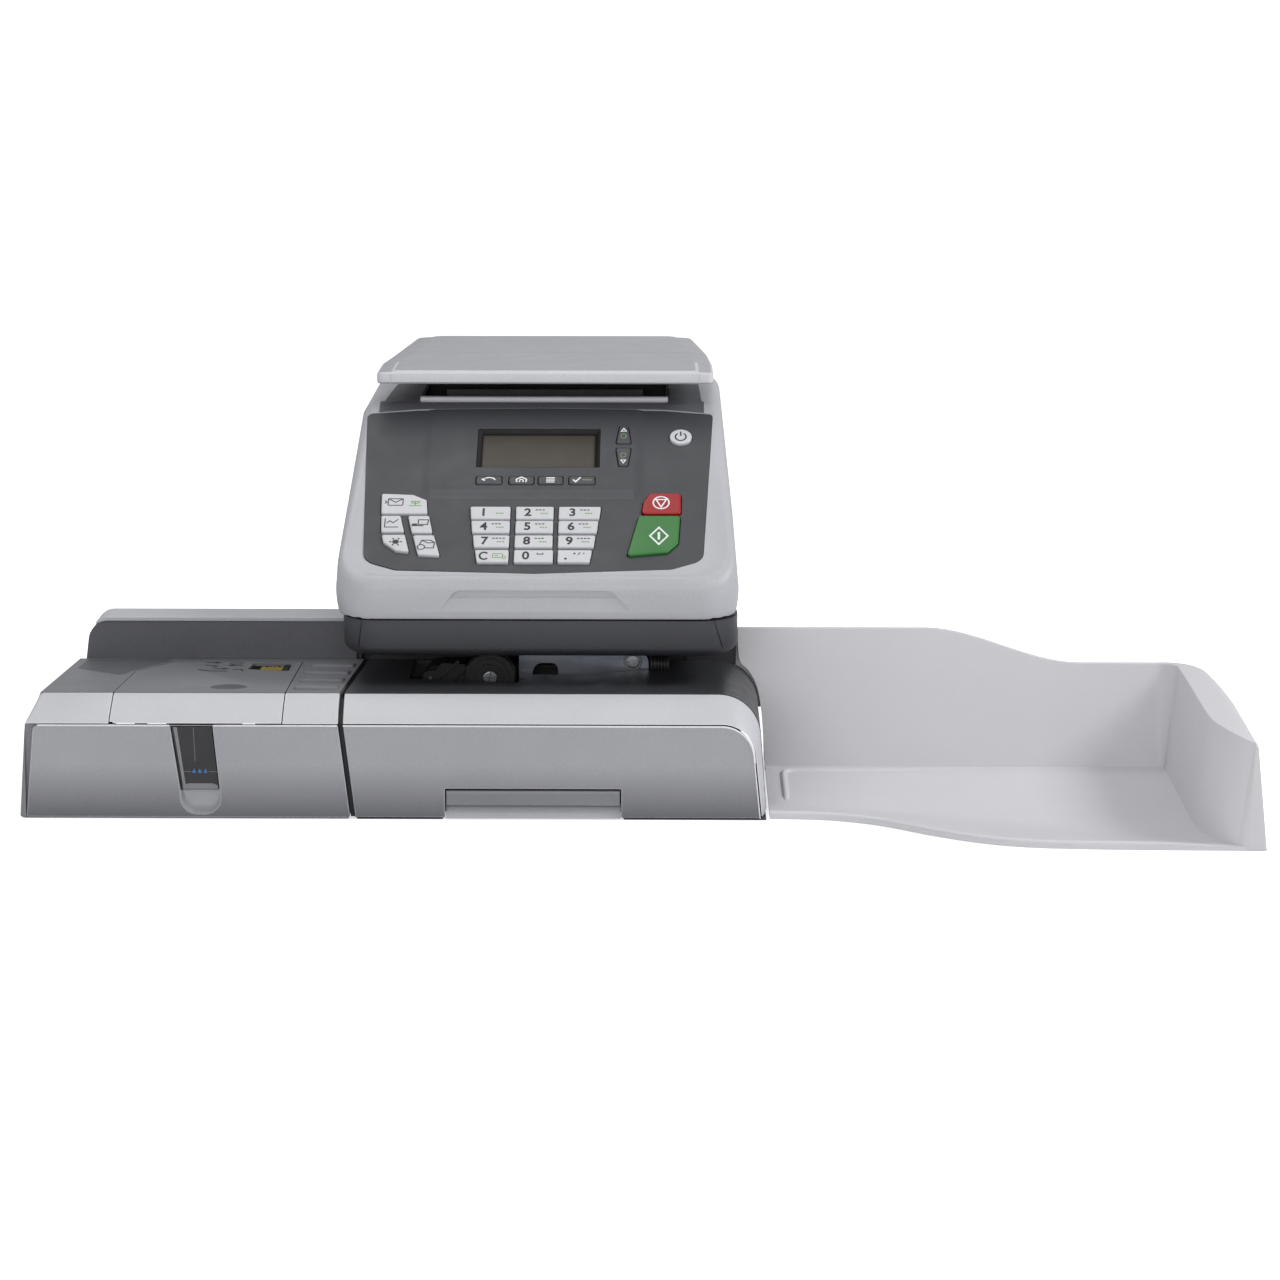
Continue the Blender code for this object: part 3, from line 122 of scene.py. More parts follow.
TRAY_FLOOR = 3.0
TRAY_WALL = 2.6
TRAY_FOOT_X = 483.0
TRAY_FOOT_Y = -49.0
TRAY_LEFT_X = 162.0
TRAY_FRONT_Y = lowest("catch_tray").y
TRAY_BACK_HEIGHT = highest("catch_tray").z


# ---------------------------------------------------------------- outlines

def fillet(before, corner, after, radius, steps):
    """Points of the arc that rounds one corner of an outline."""
    corner = Vector(corner)
    to_before = (Vector(before) - corner).normalized()
    to_after = (Vector(after) - corner).normalized()
    angle = to_before.angle(to_after)
    reach = radius / math.tan(angle / 2.0)
    start = corner + to_before * reach
    end = corner + to_after * reach
    centre = corner + (to_before + to_after).normalized() * (radius / math.sin(angle / 2.0))
    sweep = math.pi - angle
    points = []
    for step in range(steps + 1):
        share = step / steps
        near_start = math.sin((1.0 - share) * sweep) / math.sin(sweep)
        near_end = math.sin(share * sweep) / math.sin(sweep)
        points.append(tuple(centre + (start - centre) * near_start + (end - centre) * near_end))
    return points


def rounded(corners, radii, steps=6, closed=True):
    """Outline through the corners, each rounded by its radius; a radius of 0 keeps it sharp."""
    if isinstance(radii, (int, float)):
        radii = [float(radii)] * len(corners)
    points = []
    last = len(corners) - 1
    for index, corner in enumerate(corners):
        is_end = not closed and index in (0, last)
        if radii[index] == 0.0 or is_end:
            points.append(tuple(corner))
            continue
        points.extend(fillet(corners[index - 1], corner, corners[(index + 1) % len(corners)], radii[index],
                             steps))
    return points


def grown(corners, amount):
    """Move each side of a counter-clockwise outline outwards by the same amount."""
    moved = []
    count = len(corners)
    for index in range(count):
        here = Vector(corners[index])
        back = (here - Vector(corners[index - 1])).normalized()
        ahead = (Vector(corners[(index + 1) % count]) - here).normalized()
        side_back = Vector((back.y, -back.x))
        side_ahead = Vector((ahead.y, -ahead.x))
        middle = (side_back + side_ahead).normalized()
        moved.append(tuple(here + middle * (amount / middle.dot(side_back))))
    return moved


def rectangle(u_range, v_range):
    return [(u_range[0], v_range[0]), (u_range[1], v_range[0]), (u_range[1], v_range[1]),
            (u_range[0], v_range[1])]


def disc(centre, radius, steps=32, reach_v=None):
    turns = [2.0 * math.pi * step / steps for step in range(steps)]
    other = radius if reach_v is None else reach_v
    return [(centre[0] + radius * math.cos(turn), centre[1] + other * math.sin(turn)) for turn in turns]


def spline(points, steps):
    """Smooth row through given points of any dimension (Catmull-Rom), with steps spans between each pair."""
    rows = [Vector(point) for point in points]
    result = []
    for index in range(len(rows) - 1):
        before = rows[max(index - 1, 0)]
        start, end = rows[index], rows[index + 1]
        after = rows[min(index + 2, len(rows) - 1)]
        for step in range(steps):
            t = step / steps
            result.append(0.5 * (2.0 * start + (end - before) * t
                                 + (2.0 * before - 5.0 * start + 4.0 * end - after) * t * t
                                 + (3.0 * start - before - 3.0 * end + after) * t * t * t))
    result.append(rows[-1])
    return result


# ---------------------------------------------------------------- meshes

def mesh_object(name, verts, faces, look=None):
    bm = bmesh.new()
    made = [bm.verts.new(Vector(point) * MM) for point in verts]
    for face in faces:
        bm.faces.new([made[index] for index in face])
    bmesh.ops.recalc_face_normals(bm, faces=bm.faces)
    mesh = bpy.data.meshes.new(name)
    bm.to_mesh(mesh)
    bm.free()
    obj = bpy.data.objects.new(name, mesh)
    bpy.context.scene.collection.objects.link(obj)
    if look is not None:
        mesh.materials.append(look)
    return obj


def loft(name, loops, look=None, closed=False):
    """Skin a row of equal closed loops; the ends are capped unless the row closes on itself."""
    count = len(loops[0])
    verts = [point for loop in loops for point in loop]
    faces = []
    for row in range(len(loops) if closed else len(loops) - 1):
        low = row * count
        high = ((row + 1) % len(loops)) * count
        for step in range(count):
            after = (step + 1) % count
            faces.append([low + step, low + after, high + after, high + step])
    if not closed:
        faces.append(list(range(count)))
        faces.append([(len(loops) - 1) * count + step for step in range(count)])
    return mesh_object(name, verts, faces, look)


def prism(name, outline, axis, low, high, look=None):
    order = {"X": lambda u, v, w: (w, u, v),
             "Y": lambda u, v, w: (u, w, v),
             "Z": lambda u, v, w: (u, v, w)}[axis]
    return loft(name, [[order(u, v, level) for u, v in outline] for level in (low, high)], look)


def block(name, x_range, y_range, z_range, look=None, radius=0.0):
    outline = rectangle(x_range, y_range)
    if radius:
        outline = rounded(outline, radius, 5)
    return prism(name, outline, "Z", z_range[0], z_range[1], look)


def slit(u_range, v_range, radius, axis, low, high):
    """Cutter for a vent or a window with rounded ends."""
    return prism("slit", rounded(rectangle(u_range, v_range), radius, 4), axis, low, high)


def turned(name, profile, centre, axis, look=None, steps=48):
    """Solid of revolution; the profile holds (place along the axis, radius) pairs."""
    loops = []
    for place, radius in profile:
        ring = disc((0.0, 0.0), max(radius, 0.05), steps)
        if axis == "X":
            loops.append([(centre[0] + place, centre[1] + u, centre[2] + v) for u, v in ring])
        elif axis == "Y":
            loops.append([(centre[0] + u, centre[1] + place, centre[2] + v) for u, v in ring])
        else:
            loops.append([(centre[0] + u, centre[1] + v, centre[2] + place) for u, v in ring])
    return loft(name, loops, look)


def baked(obj):
    """Replace an object's mesh by what its modifiers make of it."""
    bpy.context.view_layer.update()
    shown = obj.evaluated_get(bpy.context.evaluated_depsgraph_get())
    mesh = bpy.data.meshes.new_from_object(shown)
    obj.modifiers.clear()
    obj.data = mesh
    return obj


def combine(target, tools, operation):
    for tool in tools:
        if not tool.data.materials and target.data.materials:
            tool.data.materials.append(target.data.materials[0])
        change = target.modifiers.new("shape", "BOOLEAN")
        change.operation = operation
        change.solver = "MANIFOLD"
        change.object = tool
    baked(target)
    for tool in tools:
        bpy.data.objects.remove(tool, do_unlink=True)
    return target


def cut(target, *tools):
    return combine(target, tools, "DIFFERENCE")


def join(target, *tools):
    return combine(target, tools, "UNION")


def merged(name, parts):
    """One object out of several that keep their own materials and don't touch one another."""
    bm = bmesh.new()
    looks = []
    for part in parts:
        for look in part.data.materials:
            if look not in looks:
                looks.append(look)
    for part in parts:
        before = len(bm.faces)
        bm.from_mesh(part.data)
        bm.faces.ensure_lookup_table()
        for face in bm.faces[before:]:
            face.material_index = looks.index(part.data.materials[face.material_index])
    mesh = bpy.data.meshes.new(name)
    bm.to_mesh(mesh)
    bm.free()
    for look in looks:
        mesh.materials.append(look)
    obj = bpy.data.objects.new(name, mesh)
    bpy.context.scene.collection.objects.link(obj)
    for part in parts:
        bpy.data.objects.remove(part, do_unlink=True)
    return obj


def soften(obj, width, segments=3, angle=32.0):
    """Round the hard edges and keep the flats flat."""
    obj.data.shade_smooth()
    if width:
        change = obj.modifiers.new("edges", "BEVEL")
        change.width = width * MM
        change.segments = segments
        change.limit_method = "ANGLE"
        change.angle_limit = math.radians(angle)
        change.miter_outer = "MITER_ARC"
        change.harden_normals = True
    else:
        obj.data.set_sharp_from_angle(angle=math.radians(angle))
    return obj


def fit(obj, body, stands_for=()):
    """Hang a finished piece on its body and hide the CAD parts it stands for."""
    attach(obj, body)
    if stands_for:
        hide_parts(*stands_for)
    return obj


def finish(obj, body, edge=0.0, segments=3, angle=32.0, stands_for=()):
    """Round a piece's edges and hang it on its body."""
    soften(obj, edge, segments, angle)
    return fit(obj, body, stands_for)


# ---------------------------------------------------------------- shared surfaces

def face_y(z):
    return FRONT_Y + FACE_LEAN * z / FACE_TOP_Z


def deck_z(y):
    return DECK_Z - (y - BEVEL_Y) * DECK_SLOPE


def seam_x(y, z):
    """Left edge of the base: it leans left as it climbs and right towards the back."""
    climb = z / DECK_Z
    return -155.0 - 9.5 * climb + 7.0 * climb * (y - BEVEL_Y) / 150.0


def sealer_left(y, z):
    """Outer left edge of the sealer: nearly upright up to the band, then leaning in to the deck."""
    back = (y - BEVEL_Y) / (DECK_BACK_Y - BEVEL_Y)
    top = SEALER_TOP_LEFT_X + (SEALER_BACK_LEFT_X - SEALER_TOP_LEFT_X) * max(0.0, back)
    shoulder = SEALER_LEFT_X + SEALER_SIDE_LEAN
    if z <= FACE_TOP_Z:
        return SEALER_LEFT_X + SEALER_SIDE_LEAN * z / FACE_TOP_Z
    return shoulder + (top - shoulder) * (z - FACE_TOP_Z) / (DECK_Z - FACE_TOP_Z)


def end_curve(top_z, corner_x, foot_x, radius, foot_z, y, steps=14):
    """Along the top from the left seam, round the corner and down the right side."""
    corners = [(seam_x(y, top_z), top_z), (corner_x, top_z), (foot_x, foot_z)]
    return rounded(corners, [0.0, radius, 0.0], steps, closed=False)


def panel_matrix(u=0.0, s=0.0, n=0.0):
    """Frame that lies on the control panel at a point across, up and out of it, in metres."""
    spot = panel_point(u, s, n)
    return Matrix.Translation(Vector(spot) * MM) @ Matrix.Rotation(SLOPE, 4, "X")


def panel_point(u, s, n=0.0):
    return (
        PANEL_ORIGIN[0] + u,
        PANEL_ORIGIN[1] + s * math.cos(SLOPE) - n * math.sin(SLOPE),
        PANEL_ORIGIN[2] + s * math.sin(SLOPE) + n * math.cos(SLOPE),
    )


def panel_loft(name, levels, look=None):
    """Skin outlines that lie on the control panel; levels holds (outline, height) pairs."""
    return loft(name, [[panel_point(u, s, n) for u, s in outline] for outline, n in levels], look)


# ---------------------------------------------------------------- materials

def linear(red, green, blue):
    """Screen values 0-255 as linear colour."""
    channels = []
    for value in (red, green, blue):
        share = value / 255.0
        channels.append(share / 12.92 if share <= 0.04045 else ((share + 0.055) / 1.055) ** 2.4)
    return (*channels, 1.0)


class Nodes:
    """Short way to add and link shader nodes."""

    def __init__(self, name):
        self.look = bpy.data.materials.new(name)
        self.look.use_nodes = True
        self.tree = self.look.node_tree
        self.shader = self.tree.nodes["Principled BSDF"]
        place = self.add("ShaderNodeTexCoord")
        self.place = place.outputs["Object"]

    def add(self, kind, **values):
        node = self.tree.nodes.new(kind)
        for key, value in values.items():
            setattr(node, key, value)
        return node

    def link(self, source, target):
        self.tree.links.new(source, target)

    def noise(self, scale, detail=3.0, rough=0.55, source=None):
        node = self.add("ShaderNodeTexNoise")
        node.inputs["Scale"].default_value = scale
        node.inputs["Detail"].default_value = detail
        node.inputs["Roughness"].default_value = rough
        self.link(source or self.place, node.inputs["Vector"])
        return node.outputs["Fac"]

    def stretched(self, scale):
        node = self.add("ShaderNodeMapping")
        node.inputs["Scale"].default_value = scale
        self.link(self.place, node.inputs["Vector"])
        return node.outputs["Vector"]

    def span(self, source, low, high, low_in=0.3, high_in=0.7):
        node = self.add("ShaderNodeMapRange")
        node.inputs["From Min"].default_value = low_in
        node.inputs["From Max"].default_value = high_in
        node.inputs["To Min"].default_value = low
        node.inputs["To Max"].default_value = high
        self.link(source, node.inputs["Value"])
        return node.outputs["Result"]

    def mix(self, share, first, second):
        node = self.add("ShaderNodeMix", data_type="RGBA")
        for socket, value in ((node.inputs["Factor"], share), (node.inputs["A"], first),
                              (node.inputs["B"], second)):
            if isinstance(value, (tuple, float)):
                socket.default_value = value
            else:
                self.link(value, socket)
        return node.outputs["Result"]

    def worn_edges(self, amount):
        """0 on the flats, amount where a rounded copy of the surface turns away from the real one."""
        if amount == 0.0:
            return 0.0
        round_off = self.add("ShaderNodeBevel", samples=4)
        round_off.inputs["Radius"].default_value = 1.1 * MM
        true = self.add("ShaderNodeNewGeometry")
        turn = self.add("ShaderNodeVectorMath", operation="DOT_PRODUCT")
        self.link(round_off.outputs["Normal"], turn.inputs[0])
        self.link(true.outputs["True Normal"], turn.inputs[1])
        return self.span(turn.outputs["Value"], amount, 0.0, 0.90, 0.995)

    def bump(self, height, strength, distance, after=None):
        node = self.add("ShaderNodeBump")
        node.inputs["Strength"].default_value = strength
        node.inputs["Distance"].default_value = distance
        self.link(height, node.inputs["Height"])
        if after is not None:
            self.link(after, node.inputs["Normal"])
        return node.outputs["Normal"]


def moulded(name, colour, rough=0.45, grain=0.25, grain_size=1500.0, mottle=0.05, edge_wear_and_highlight=0.0, shade=None):
    """Moulded plastic: spark-eroded grain, faint mottling, edges painted paler as wear and as painted
    highlight, and uneven gloss.

    shade is (foot colour, foot height, top height): painted shade, the colour darkens towards the foot."""
    n = Nodes(name)
    base = linear(*colour)
    dark = tuple(channel * (1.0 - mottle) for channel in base[:3]) + (1.0,)
    bright = tuple(min(1.0, channel * (1.0 + mottle)) for channel in base[:3]) + (1.0,)
    cloud = n.span(n.noise(11.0, 4.0), 0.0, 1.0)
    tone = n.mix(cloud, dark, bright)
    # Painted shade: the colour darkens towards the foot.
    if shade is not None:
        foot_colour, foot_z, top_z = shade
        apart = n.add("ShaderNodeSeparateXYZ")
        n.link(n.place, apart.inputs["Vector"])
        depth = n.span(apart.outputs["Z"], 1.0, 0.0, foot_z * MM, top_z * MM)
        tone = n.mix(depth, tone, linear(*foot_colour))
    speck = n.span(n.noise(grain_size * 0.6, 2.0, 0.7), 0.94, 1.06)
    value = n.add("ShaderNodeHueSaturation")
    n.link(speck, value.inputs["Value"])
    n.link(tone, value.inputs["Color"])
    # Paler colour for the edges: partly wear, partly painted highlight on the rounded edges.
    lighter = tuple(min(0.92, channel * 1.6 + 0.05) for channel in base[:3]) + (1.0,)
    n.link(n.mix(n.worn_edges(edge_wear_and_highlight), value.outputs["Color"], lighter), n.shader.inputs["Base Color"])
    gloss = n.noise(38.0, 5.0, 0.6)
    n.link(n.span(gloss, rough - 0.06, rough + 0.08), n.shader.inputs["Roughness"])
    fine = n.bump(n.noise(grain_size, 2.0, 0.6), grain, 0.00012)
    n.link(n.bump(n.noise(24.0, 2.0), 0.04, 0.0015, fine), n.shader.inputs["Normal"])
    n.shader.inputs["Specular IOR Level"].default_value = 0.45
    return n.look


def printed(name, colour, rough=0.5):
    """Pad-printed ink, a little uneven."""
    n = Nodes(name)
    base = linear(*colour)
    thin = tuple(min(1.0, channel * 1.25 + 0.01) for channel in base[:3]) + (1.0,)
    n.link(n.mix(n.span(n.noise(900.0, 3.0), 0.0, 1.0), base, thin), n.shader.inputs["Base Color"])
    n.link(n.span(n.noise(300.0), rough - 0.08, rough + 0.1), n.shader.inputs["Roughness"])
    return n.look


def machined(name, colour, rough=0.3, along=(4.0, 400.0, 400.0)):
    """Metal with a brushed lay along one axis and faint stains."""
    n = Nodes(name)
    base = linear(*colour)
    dull = tuple(channel * 0.72 for channel in base[:3]) + (1.0,)
    lay = n.noise(3.0, 4.0, 0.65, n.stretched(along))
    n.link(n.mix(n.span(n.noise(30.0, 4.0), 0.0, 0.7), base, dull), n.shader.inputs["Base Color"])
    n.link(n.span(lay, rough - 0.08, rough + 0.15), n.shader.inputs["Roughness"])
    n.link(n.bump(lay, 0.12, 0.0002), n.shader.inputs["Normal"])
    n.shader.inputs["Metallic"].default_value = 1.0
    return n.look


def rubbery(name, colour, rough):
    """Matt rubber with dust in its pores."""
    n = Nodes(name)
    base = linear(*colour)
    dusty = tuple(channel * 1.7 + 0.01 for channel in base[:3]) + (1.0,)
    n.link(n.mix(n.span(n.noise(60.0, 6.0, 0.7), 0.0, 0.6), base, dusty), n.shader.inputs["Base Color"])
    n.link(n.span(n.noise(200.0), rough - 0.1, rough + 0.1), n.shader.inputs["Roughness"])
    n.link(n.bump(n.noise(1800.0, 2.0), 0.35, 0.0002), n.shader.inputs["Normal"])
    return n.look


def smoked(name, colour, rough, clear):
    """Dark see-through plastic with faint flow marks."""
    n = Nodes(name)
    base = linear(*colour)
    deep = tuple(channel * 0.6 for channel in base[:3]) + (1.0,)
    n.link(n.mix(n.span(n.noise(45.0, 3.0), 0.0, 1.0), base, deep), n.shader.inputs["Base Color"])
    n.link(n.span(n.noise(70.0), rough, rough + 0.08), n.shader.inputs["Roughness"])
    n.link(n.bump(n.noise(90.0, 2.0), 0.03, 0.0006), n.shader.inputs["Normal"])
    n.shader.inputs["Transmission Weight"].default_value = clear
    n.shader.inputs["Coat Weight"].default_value = 0.3
    return n.look


def display_glass(name):
    """Unlit reflective display: a faint cell grid under a satin brown polariser."""
    n = Nodes(name)
    turn = n.add("ShaderNodeMapping")
    turn.inputs["Rotation"].default_value = (-SLOPE, 0.0, 0.0)
    n.link(n.place, turn.inputs["Vector"])
    cells = n.add("ShaderNodeTexBrick", offset=0.0)
    cells.inputs["Scale"].default_value = 1.0
    cells.inputs["Brick Width"].default_value = 0.7 * MM
    cells.inputs["Row Height"].default_value = 0.7 * MM
    cells.inputs["Mortar Size"].default_value = 0.06 * MM
    cells.inputs["Color1"].default_value = linear(70, 64, 56)
    cells.inputs["Color2"].default_value = linear(68, 62, 54)
    cells.inputs["Mortar"].default_value = linear(62, 57, 50)
    n.link(turn.outputs["Vector"], cells.inputs["Vector"])
    tint = n.mix(n.span(n.noise(14.0, 2.0), 0.0, 0.35), cells.outputs["Color"], linear(76, 68, 57))
    n.link(tint, n.shader.inputs["Base Color"])
    n.link(n.span(n.noise(60.0), 0.30, 0.38), n.shader.inputs["Roughness"])
    n.shader.inputs["Specular IOR Level"].default_value = 0.25
    return n.look


def bristly(name):
    """Golden nylon with darker roots."""
    n = Nodes(name)
    strands = n.noise(5.0, 5.0, 0.7, n.stretched((900.0, 900.0, 30.0)))
    n.link(n.mix(n.span(strands, 0.0, 1.0), linear(150, 124, 60), linear(232, 212, 128)),
           n.shader.inputs["Base Color"])
    n.link(n.span(strands, 0.4, 0.65), n.shader.inputs["Roughness"])
    n.link(n.bump(strands, 0.5, 0.0004), n.shader.inputs["Normal"])
    return n.look


LOOKS = {
    "housing": moulded("housing_light", (186, 187, 192), 0.42, 0.14, 1700.0, 0.03),
    "band": moulded("trim_band", (202, 203, 208), 0.36, 0.06, 1900.0, 0.03, 0.8),
    # painted shade: the fascia darkens towards its foot
    "fascia": moulded("fascia_grey", (168, 169, 174), 0.40, 0.16, 1500.0, 0.04, 0.9,
                      ((106, 107, 112), 2.0, 42.0)),
    "fascia_flat": moulded("fascia_plain", (134, 135, 140), 0.42, 0.14, 1500.0, 0.04, 0.6),
    "scoop": moulded("scoop_light", (184, 185, 190), 0.40, 0.10, 1500.0, 0.03, 0.4),
    "panel": moulded("panel_dark", (68, 69, 73), 0.48, 0.35, 1300.0, 0.05),
    "panel_grain": moulded("panel_grain", (76, 77, 81), 0.44, 1.0, 700.0, 0.08),
    "plateau": moulded("plateau_dark", (96, 97, 102), 0.5, 0.3, 1300.0, 0.05),
    "deck": moulded("deck_dark", (62, 63, 67), 0.38, 0.22, 1400.0, 0.06),
    # painted shade: the pan darkens towards its rolled foot
    "pan": moulded("pan_dark", (64, 65, 70), 0.42, 0.2, 1400.0, 0.05, 0.0, ((40, 41, 46), 116.0, 138.0)),
    "case": moulded("case_dark", (58, 59, 63), 0.55, 0.4, 1200.0, 0.06),
    "strip": moulded("side_strip", (134, 135, 140), 0.42, 0.12, 1500.0, 0.04),
    "cover": moulded("cover_grey", (128, 129, 134), 0.45, 0.28, 1300.0, 0.05),
    "sealer_deck": moulded("sealer_deck_grey", (124, 125, 130), 0.45, 0.3, 1300.0, 0.06),
    # darker dish in the lid's finger dip: painted shade in the hollow
    "dip": moulded("dip_painted_shade", (88, 89, 94), 0.5, 0.25, 1300.0, 0.05),
    # painted shadow of the registration wall on the sealer deck
    "deck_painted_shadow": moulded("deck_field_dark", (96, 97, 102), 0.5, 0.35, 1200.0, 0.06),
    "wall": moulded("wall_dark", (100, 101, 106), 0.55, 0.85, 900.0, 0.09),
    # painted highlight along the top edge of the front faces
    "bead": moulded("bead_painted_highlight", (236, 237, 241), 0.35, 0.05, 1500.0, 0.02),
    "cap": moulded("cap_light", (196, 197, 202), 0.38, 0.08, 1700.0, 0.03),
    "tray": moulded("tray_pale", (212, 212, 216), 0.42, 0.02, 5000.0, 0.012, 0.10),
    "platform": moulded("platform_light", (172, 173, 178), 0.45, 0.12, 1700.0, 0.03, 0.05),
    # paler platform colour: painted highlight on the platform's sloped borders; the label bar uses it as its
    # own colour
    "platform_edge": moulded("platform_edge_light", (208, 209, 213), 0.40, 0.08, 1700.0, 0.02, 0.06),
    "key": moulded("key_white", (206, 207, 211), 0.36, 0.05, 1800.0, 0.02, 0.3),
    "red": moulded("key_red", (158, 10, 12), 0.36, 0.08, 1600.0, 0.05, 0.3),
    "green": moulded("key_green", (50, 118, 52), 0.38, 0.08, 1600.0, 0.06, 0.3),
    "key_dark": moulded("key_dark", (70, 71, 76), 0.42, 0.15, 1500.0, 0.05, 0.4),
    "gap": moulded("gap_black", (24, 24, 27), 0.6, 0.1, 1200.0, 0.1),
    "black": moulded("mechanism_black", (34, 34, 37), 0.45, 0.2, 1200.0, 0.12, 0.5),
    "ink_black": printed("print_black", (38, 38, 41)),
    "ink_grey": printed("print_grey", (104, 105, 110)),
    "ink_white": printed("print_white", (226, 227, 230)),
    "ink_green": printed("print_green", (120, 160, 96)),
    "ink_blue": printed("print_blue", (58, 106, 170)),
    "lcd": display_glass("display_glass"),
    "rubber": rubbery("rubber_feet", (26, 26, 28), 0.8),
    "steel": machined("steel_brushed", (178, 180, 186), 0.28),
    "plate": machined("guide_steel", (150, 154, 166), 0.34, (6.0, 300.0, 260.0)),
    "zinc": machined("motor_zinc", (150, 151, 153), 0.38, (300.0, 4.0, 300.0)),
    "smoked": smoked("tank_smoked", (52, 53, 58), 0.12, 0.25),
    "bristle": bristly("bristle_gold"),
}


# ---------------------------------------------------------------- head housing

CREST_Y = PANEL_ORIGIN[1] + (PLATEAU_Z - PANEL_ORIGIN[2]) / math.tan(SLOPE)
SHELL = 3.0


def crest_height(y):
    """Upper surface of the head: the panel's slope up to the flat plateau."""
    return min(PANEL_ORIGIN[2] + (y - PANEL_ORIGIN[1]) * math.tan(SLOPE), PLATEAU_Z)


def plan_loop(centre_x, half, front_y, back_y, front_radius, back_radius, steps=10):
    corners = rectangle((centre_x - half, centre_x + half), (front_y, back_y))
    return rounded(corners, [front_radius, front_radius, back_radius, back_radius], steps)


def housing_outline(shrink, steps):
    """Widest and virtual top outlines of the housing, with points on the crest line."""
    wide = plan_loop(HEAD_X, HEAD_HALF - shrink, HEAD_FRONT_Y + shrink, HEAD_BACK_Y - shrink,
                     HEAD_CORNER - shrink, 25.0 - shrink, steps)
    top = plan_loop(HEAD_X - 1.5, HEAD_HALF_TOP - shrink, HEAD_FRONT_Y + 6.0 + shrink,
                    HEAD_BACK_Y - 6.0 - shrink, HEAD_CORNER - shrink, 25.0 - shrink, steps)
    pairs = list(zip(wide, top))
    result = []
    for index, (low, high) in enumerate(pairs):
        low_next, high_next = pairs[(index + 1) % len(pairs)]
        result.append((Vector(low), Vector(high)))
        along = abs(high_next[1] - high[1])
        if along < 40.0:
            continue
        cuts = [0.25, 0.4, 0.5, 0.6, 0.75, (CREST_Y - high[1]) / (high_next[1] - high[1])]
        for share in sorted(cuts):
            result.append((Vector(low).lerp(Vector(low_next), share),
                           Vector(high).lerp(Vector(high_next), share)))
    return result


def seam_tuck(z):
    """How far the wall rolls in below its widest line."""
    drop = max(0.0, HEAD_WIDE_Z - z) / (HEAD_WIDE_Z - HEAD_SEAM_Z)
    return 5.2 * (1.0 - math.sqrt(max(0.0, 1.0 - drop * drop * 0.98)))


def housing_solid(name, shrink, drop, low_levels, rim_steps, steps, look=None):
    """Closed housing form: rolled lower wall, leaning side wall, rounded rim, two flats on top."""
    pairs = housing_outline(shrink, steps)
    centre = Vector((HEAD_X, 20.0))
    rings = []
    for level in low_levels:
        tuck = seam_tuck(level) if shrink == 0.0 else 0.0
        ring = []
        for low, high in pairs:
            inward = (centre - low).normalized()
            ring.append((low.x + inward.x * tuck, low.y + inward.y * tuck, level))
        rings.append(ring)
    radius = RIM_RADIUS - shrink
    wall_rings = 4
    for step in range(-wall_rings, rim_steps + 1):
        ring = []
        turn = 0.5 * math.pi * max(0, step) / rim_steps
        for low, high in pairs:
            top = crest_height(max(high.y, HEAD_FRONT_Y + 9.0)) - drop
            rim_foot = max(top - radius, HEAD_WIDE_Z)
            if step <= 0:
                level = HEAD_WIDE_Z + (rim_foot - HEAD_WIDE_Z) * (step + wall_rings) / wall_rings
                inset = 0.0
            else:
                level = max(top - radius * (1.0 - math.sin(turn)), HEAD_WIDE_Z + 0.3 * step)
                inset = radius * (1.0 - math.cos(turn))
            share = (level - HEAD_WIDE_Z) / (PLATEAU_Z - HEAD_WIDE_Z)
            spot = low.lerp(high, share)
            inward = centre - spot
            inward.x = math.copysign(min(abs(inward.x), 110.0), inward.x) * 1.2
            inward.normalize()
            spot = spot + inward * inset
            if turn > 1.2:
                level = min(level, crest_height(spot.y) - drop)
            ring.append((spot.x, spot.y, level))
        rings.append(ring)
    count = len(pairs)
    verts = [point for ring in rings for point in ring]
    faces = [list(range(count))]
    for row in range(len(rings) - 1):
        for step in range(count):
            after = (step + 1) % count
            faces.append([row * count + step, row * count + after, (row + 1) * count + after,
                          (row + 1) * count + step])
    last = (len(rings) - 1) * count
    crest = [index for index, (low, high) in enumerate(pairs) if abs(high.y - CREST_Y) < 0.01]
    right, left = crest
    faces.append([last + index for index in range(right, left + 1)])
    faces.append([last + index for index in list(range(left, count)) + list(range(0, right + 1))])
    return mesh_object(name, verts, faces, look)


def panel_outline(offset, steps=8):
    corners = [(-152.6, 14.0), (-127.6, 4.0), (-20.0, -1.0), (86.6, 4.0), (110.6, 14.0), (119.0, 187.0),
               (80.0, 191.5), (-20.0, 193.5), (-120.0, 191.5), (-160.7, 187.0)]
    radii = [14.0, 12.0, 0.0, 12.0, 14.0, 4.0, 0.0, 0.0, 0.0, 4.0]
    return rounded(grown(corners, offset), radii, steps)


def plateau_outline(offset, steps=6):
    corners = [(-148.0, 41.0), (110.0, 41.0), (106.0, 196.0), (-143.0, 196.0)]
    return rounded(grown(corners, offset), [4.0, 4.0, 6.0, 6.0], steps)


GRIP_FOOT_Z = 146.0
GRIP_HEAD_Z = 167.5
GRIP_DEPTH = 3.6


def grip_floor(z):
    """Bottom of the finger grip, which fades out downwards."""
    share = min(1.0, max(0.0, (z - GRIP_FOOT_Z) / (GRIP_HEAD_Z - GRIP_FOOT_Z)))
    return HEAD_FRONT_Y + 0.25 + GRIP_DEPTH * share ** 0.7


def grip_recess():
    """Cutter for the finger grip, with an undercut upper edge."""
    foot, head = GRIP_FOOT_Z, GRIP_HEAD_Z
    front = rounded([(-96.5, foot), (60.5, foot), (40.0, head), (-80.5, head)], [0.0, 0.0, 9.0, 9.0], 8)
    return loft("grip", [[(x, -165.0, z) for x, z in front], [(x, grip_floor(z), z) for x, z in front]])


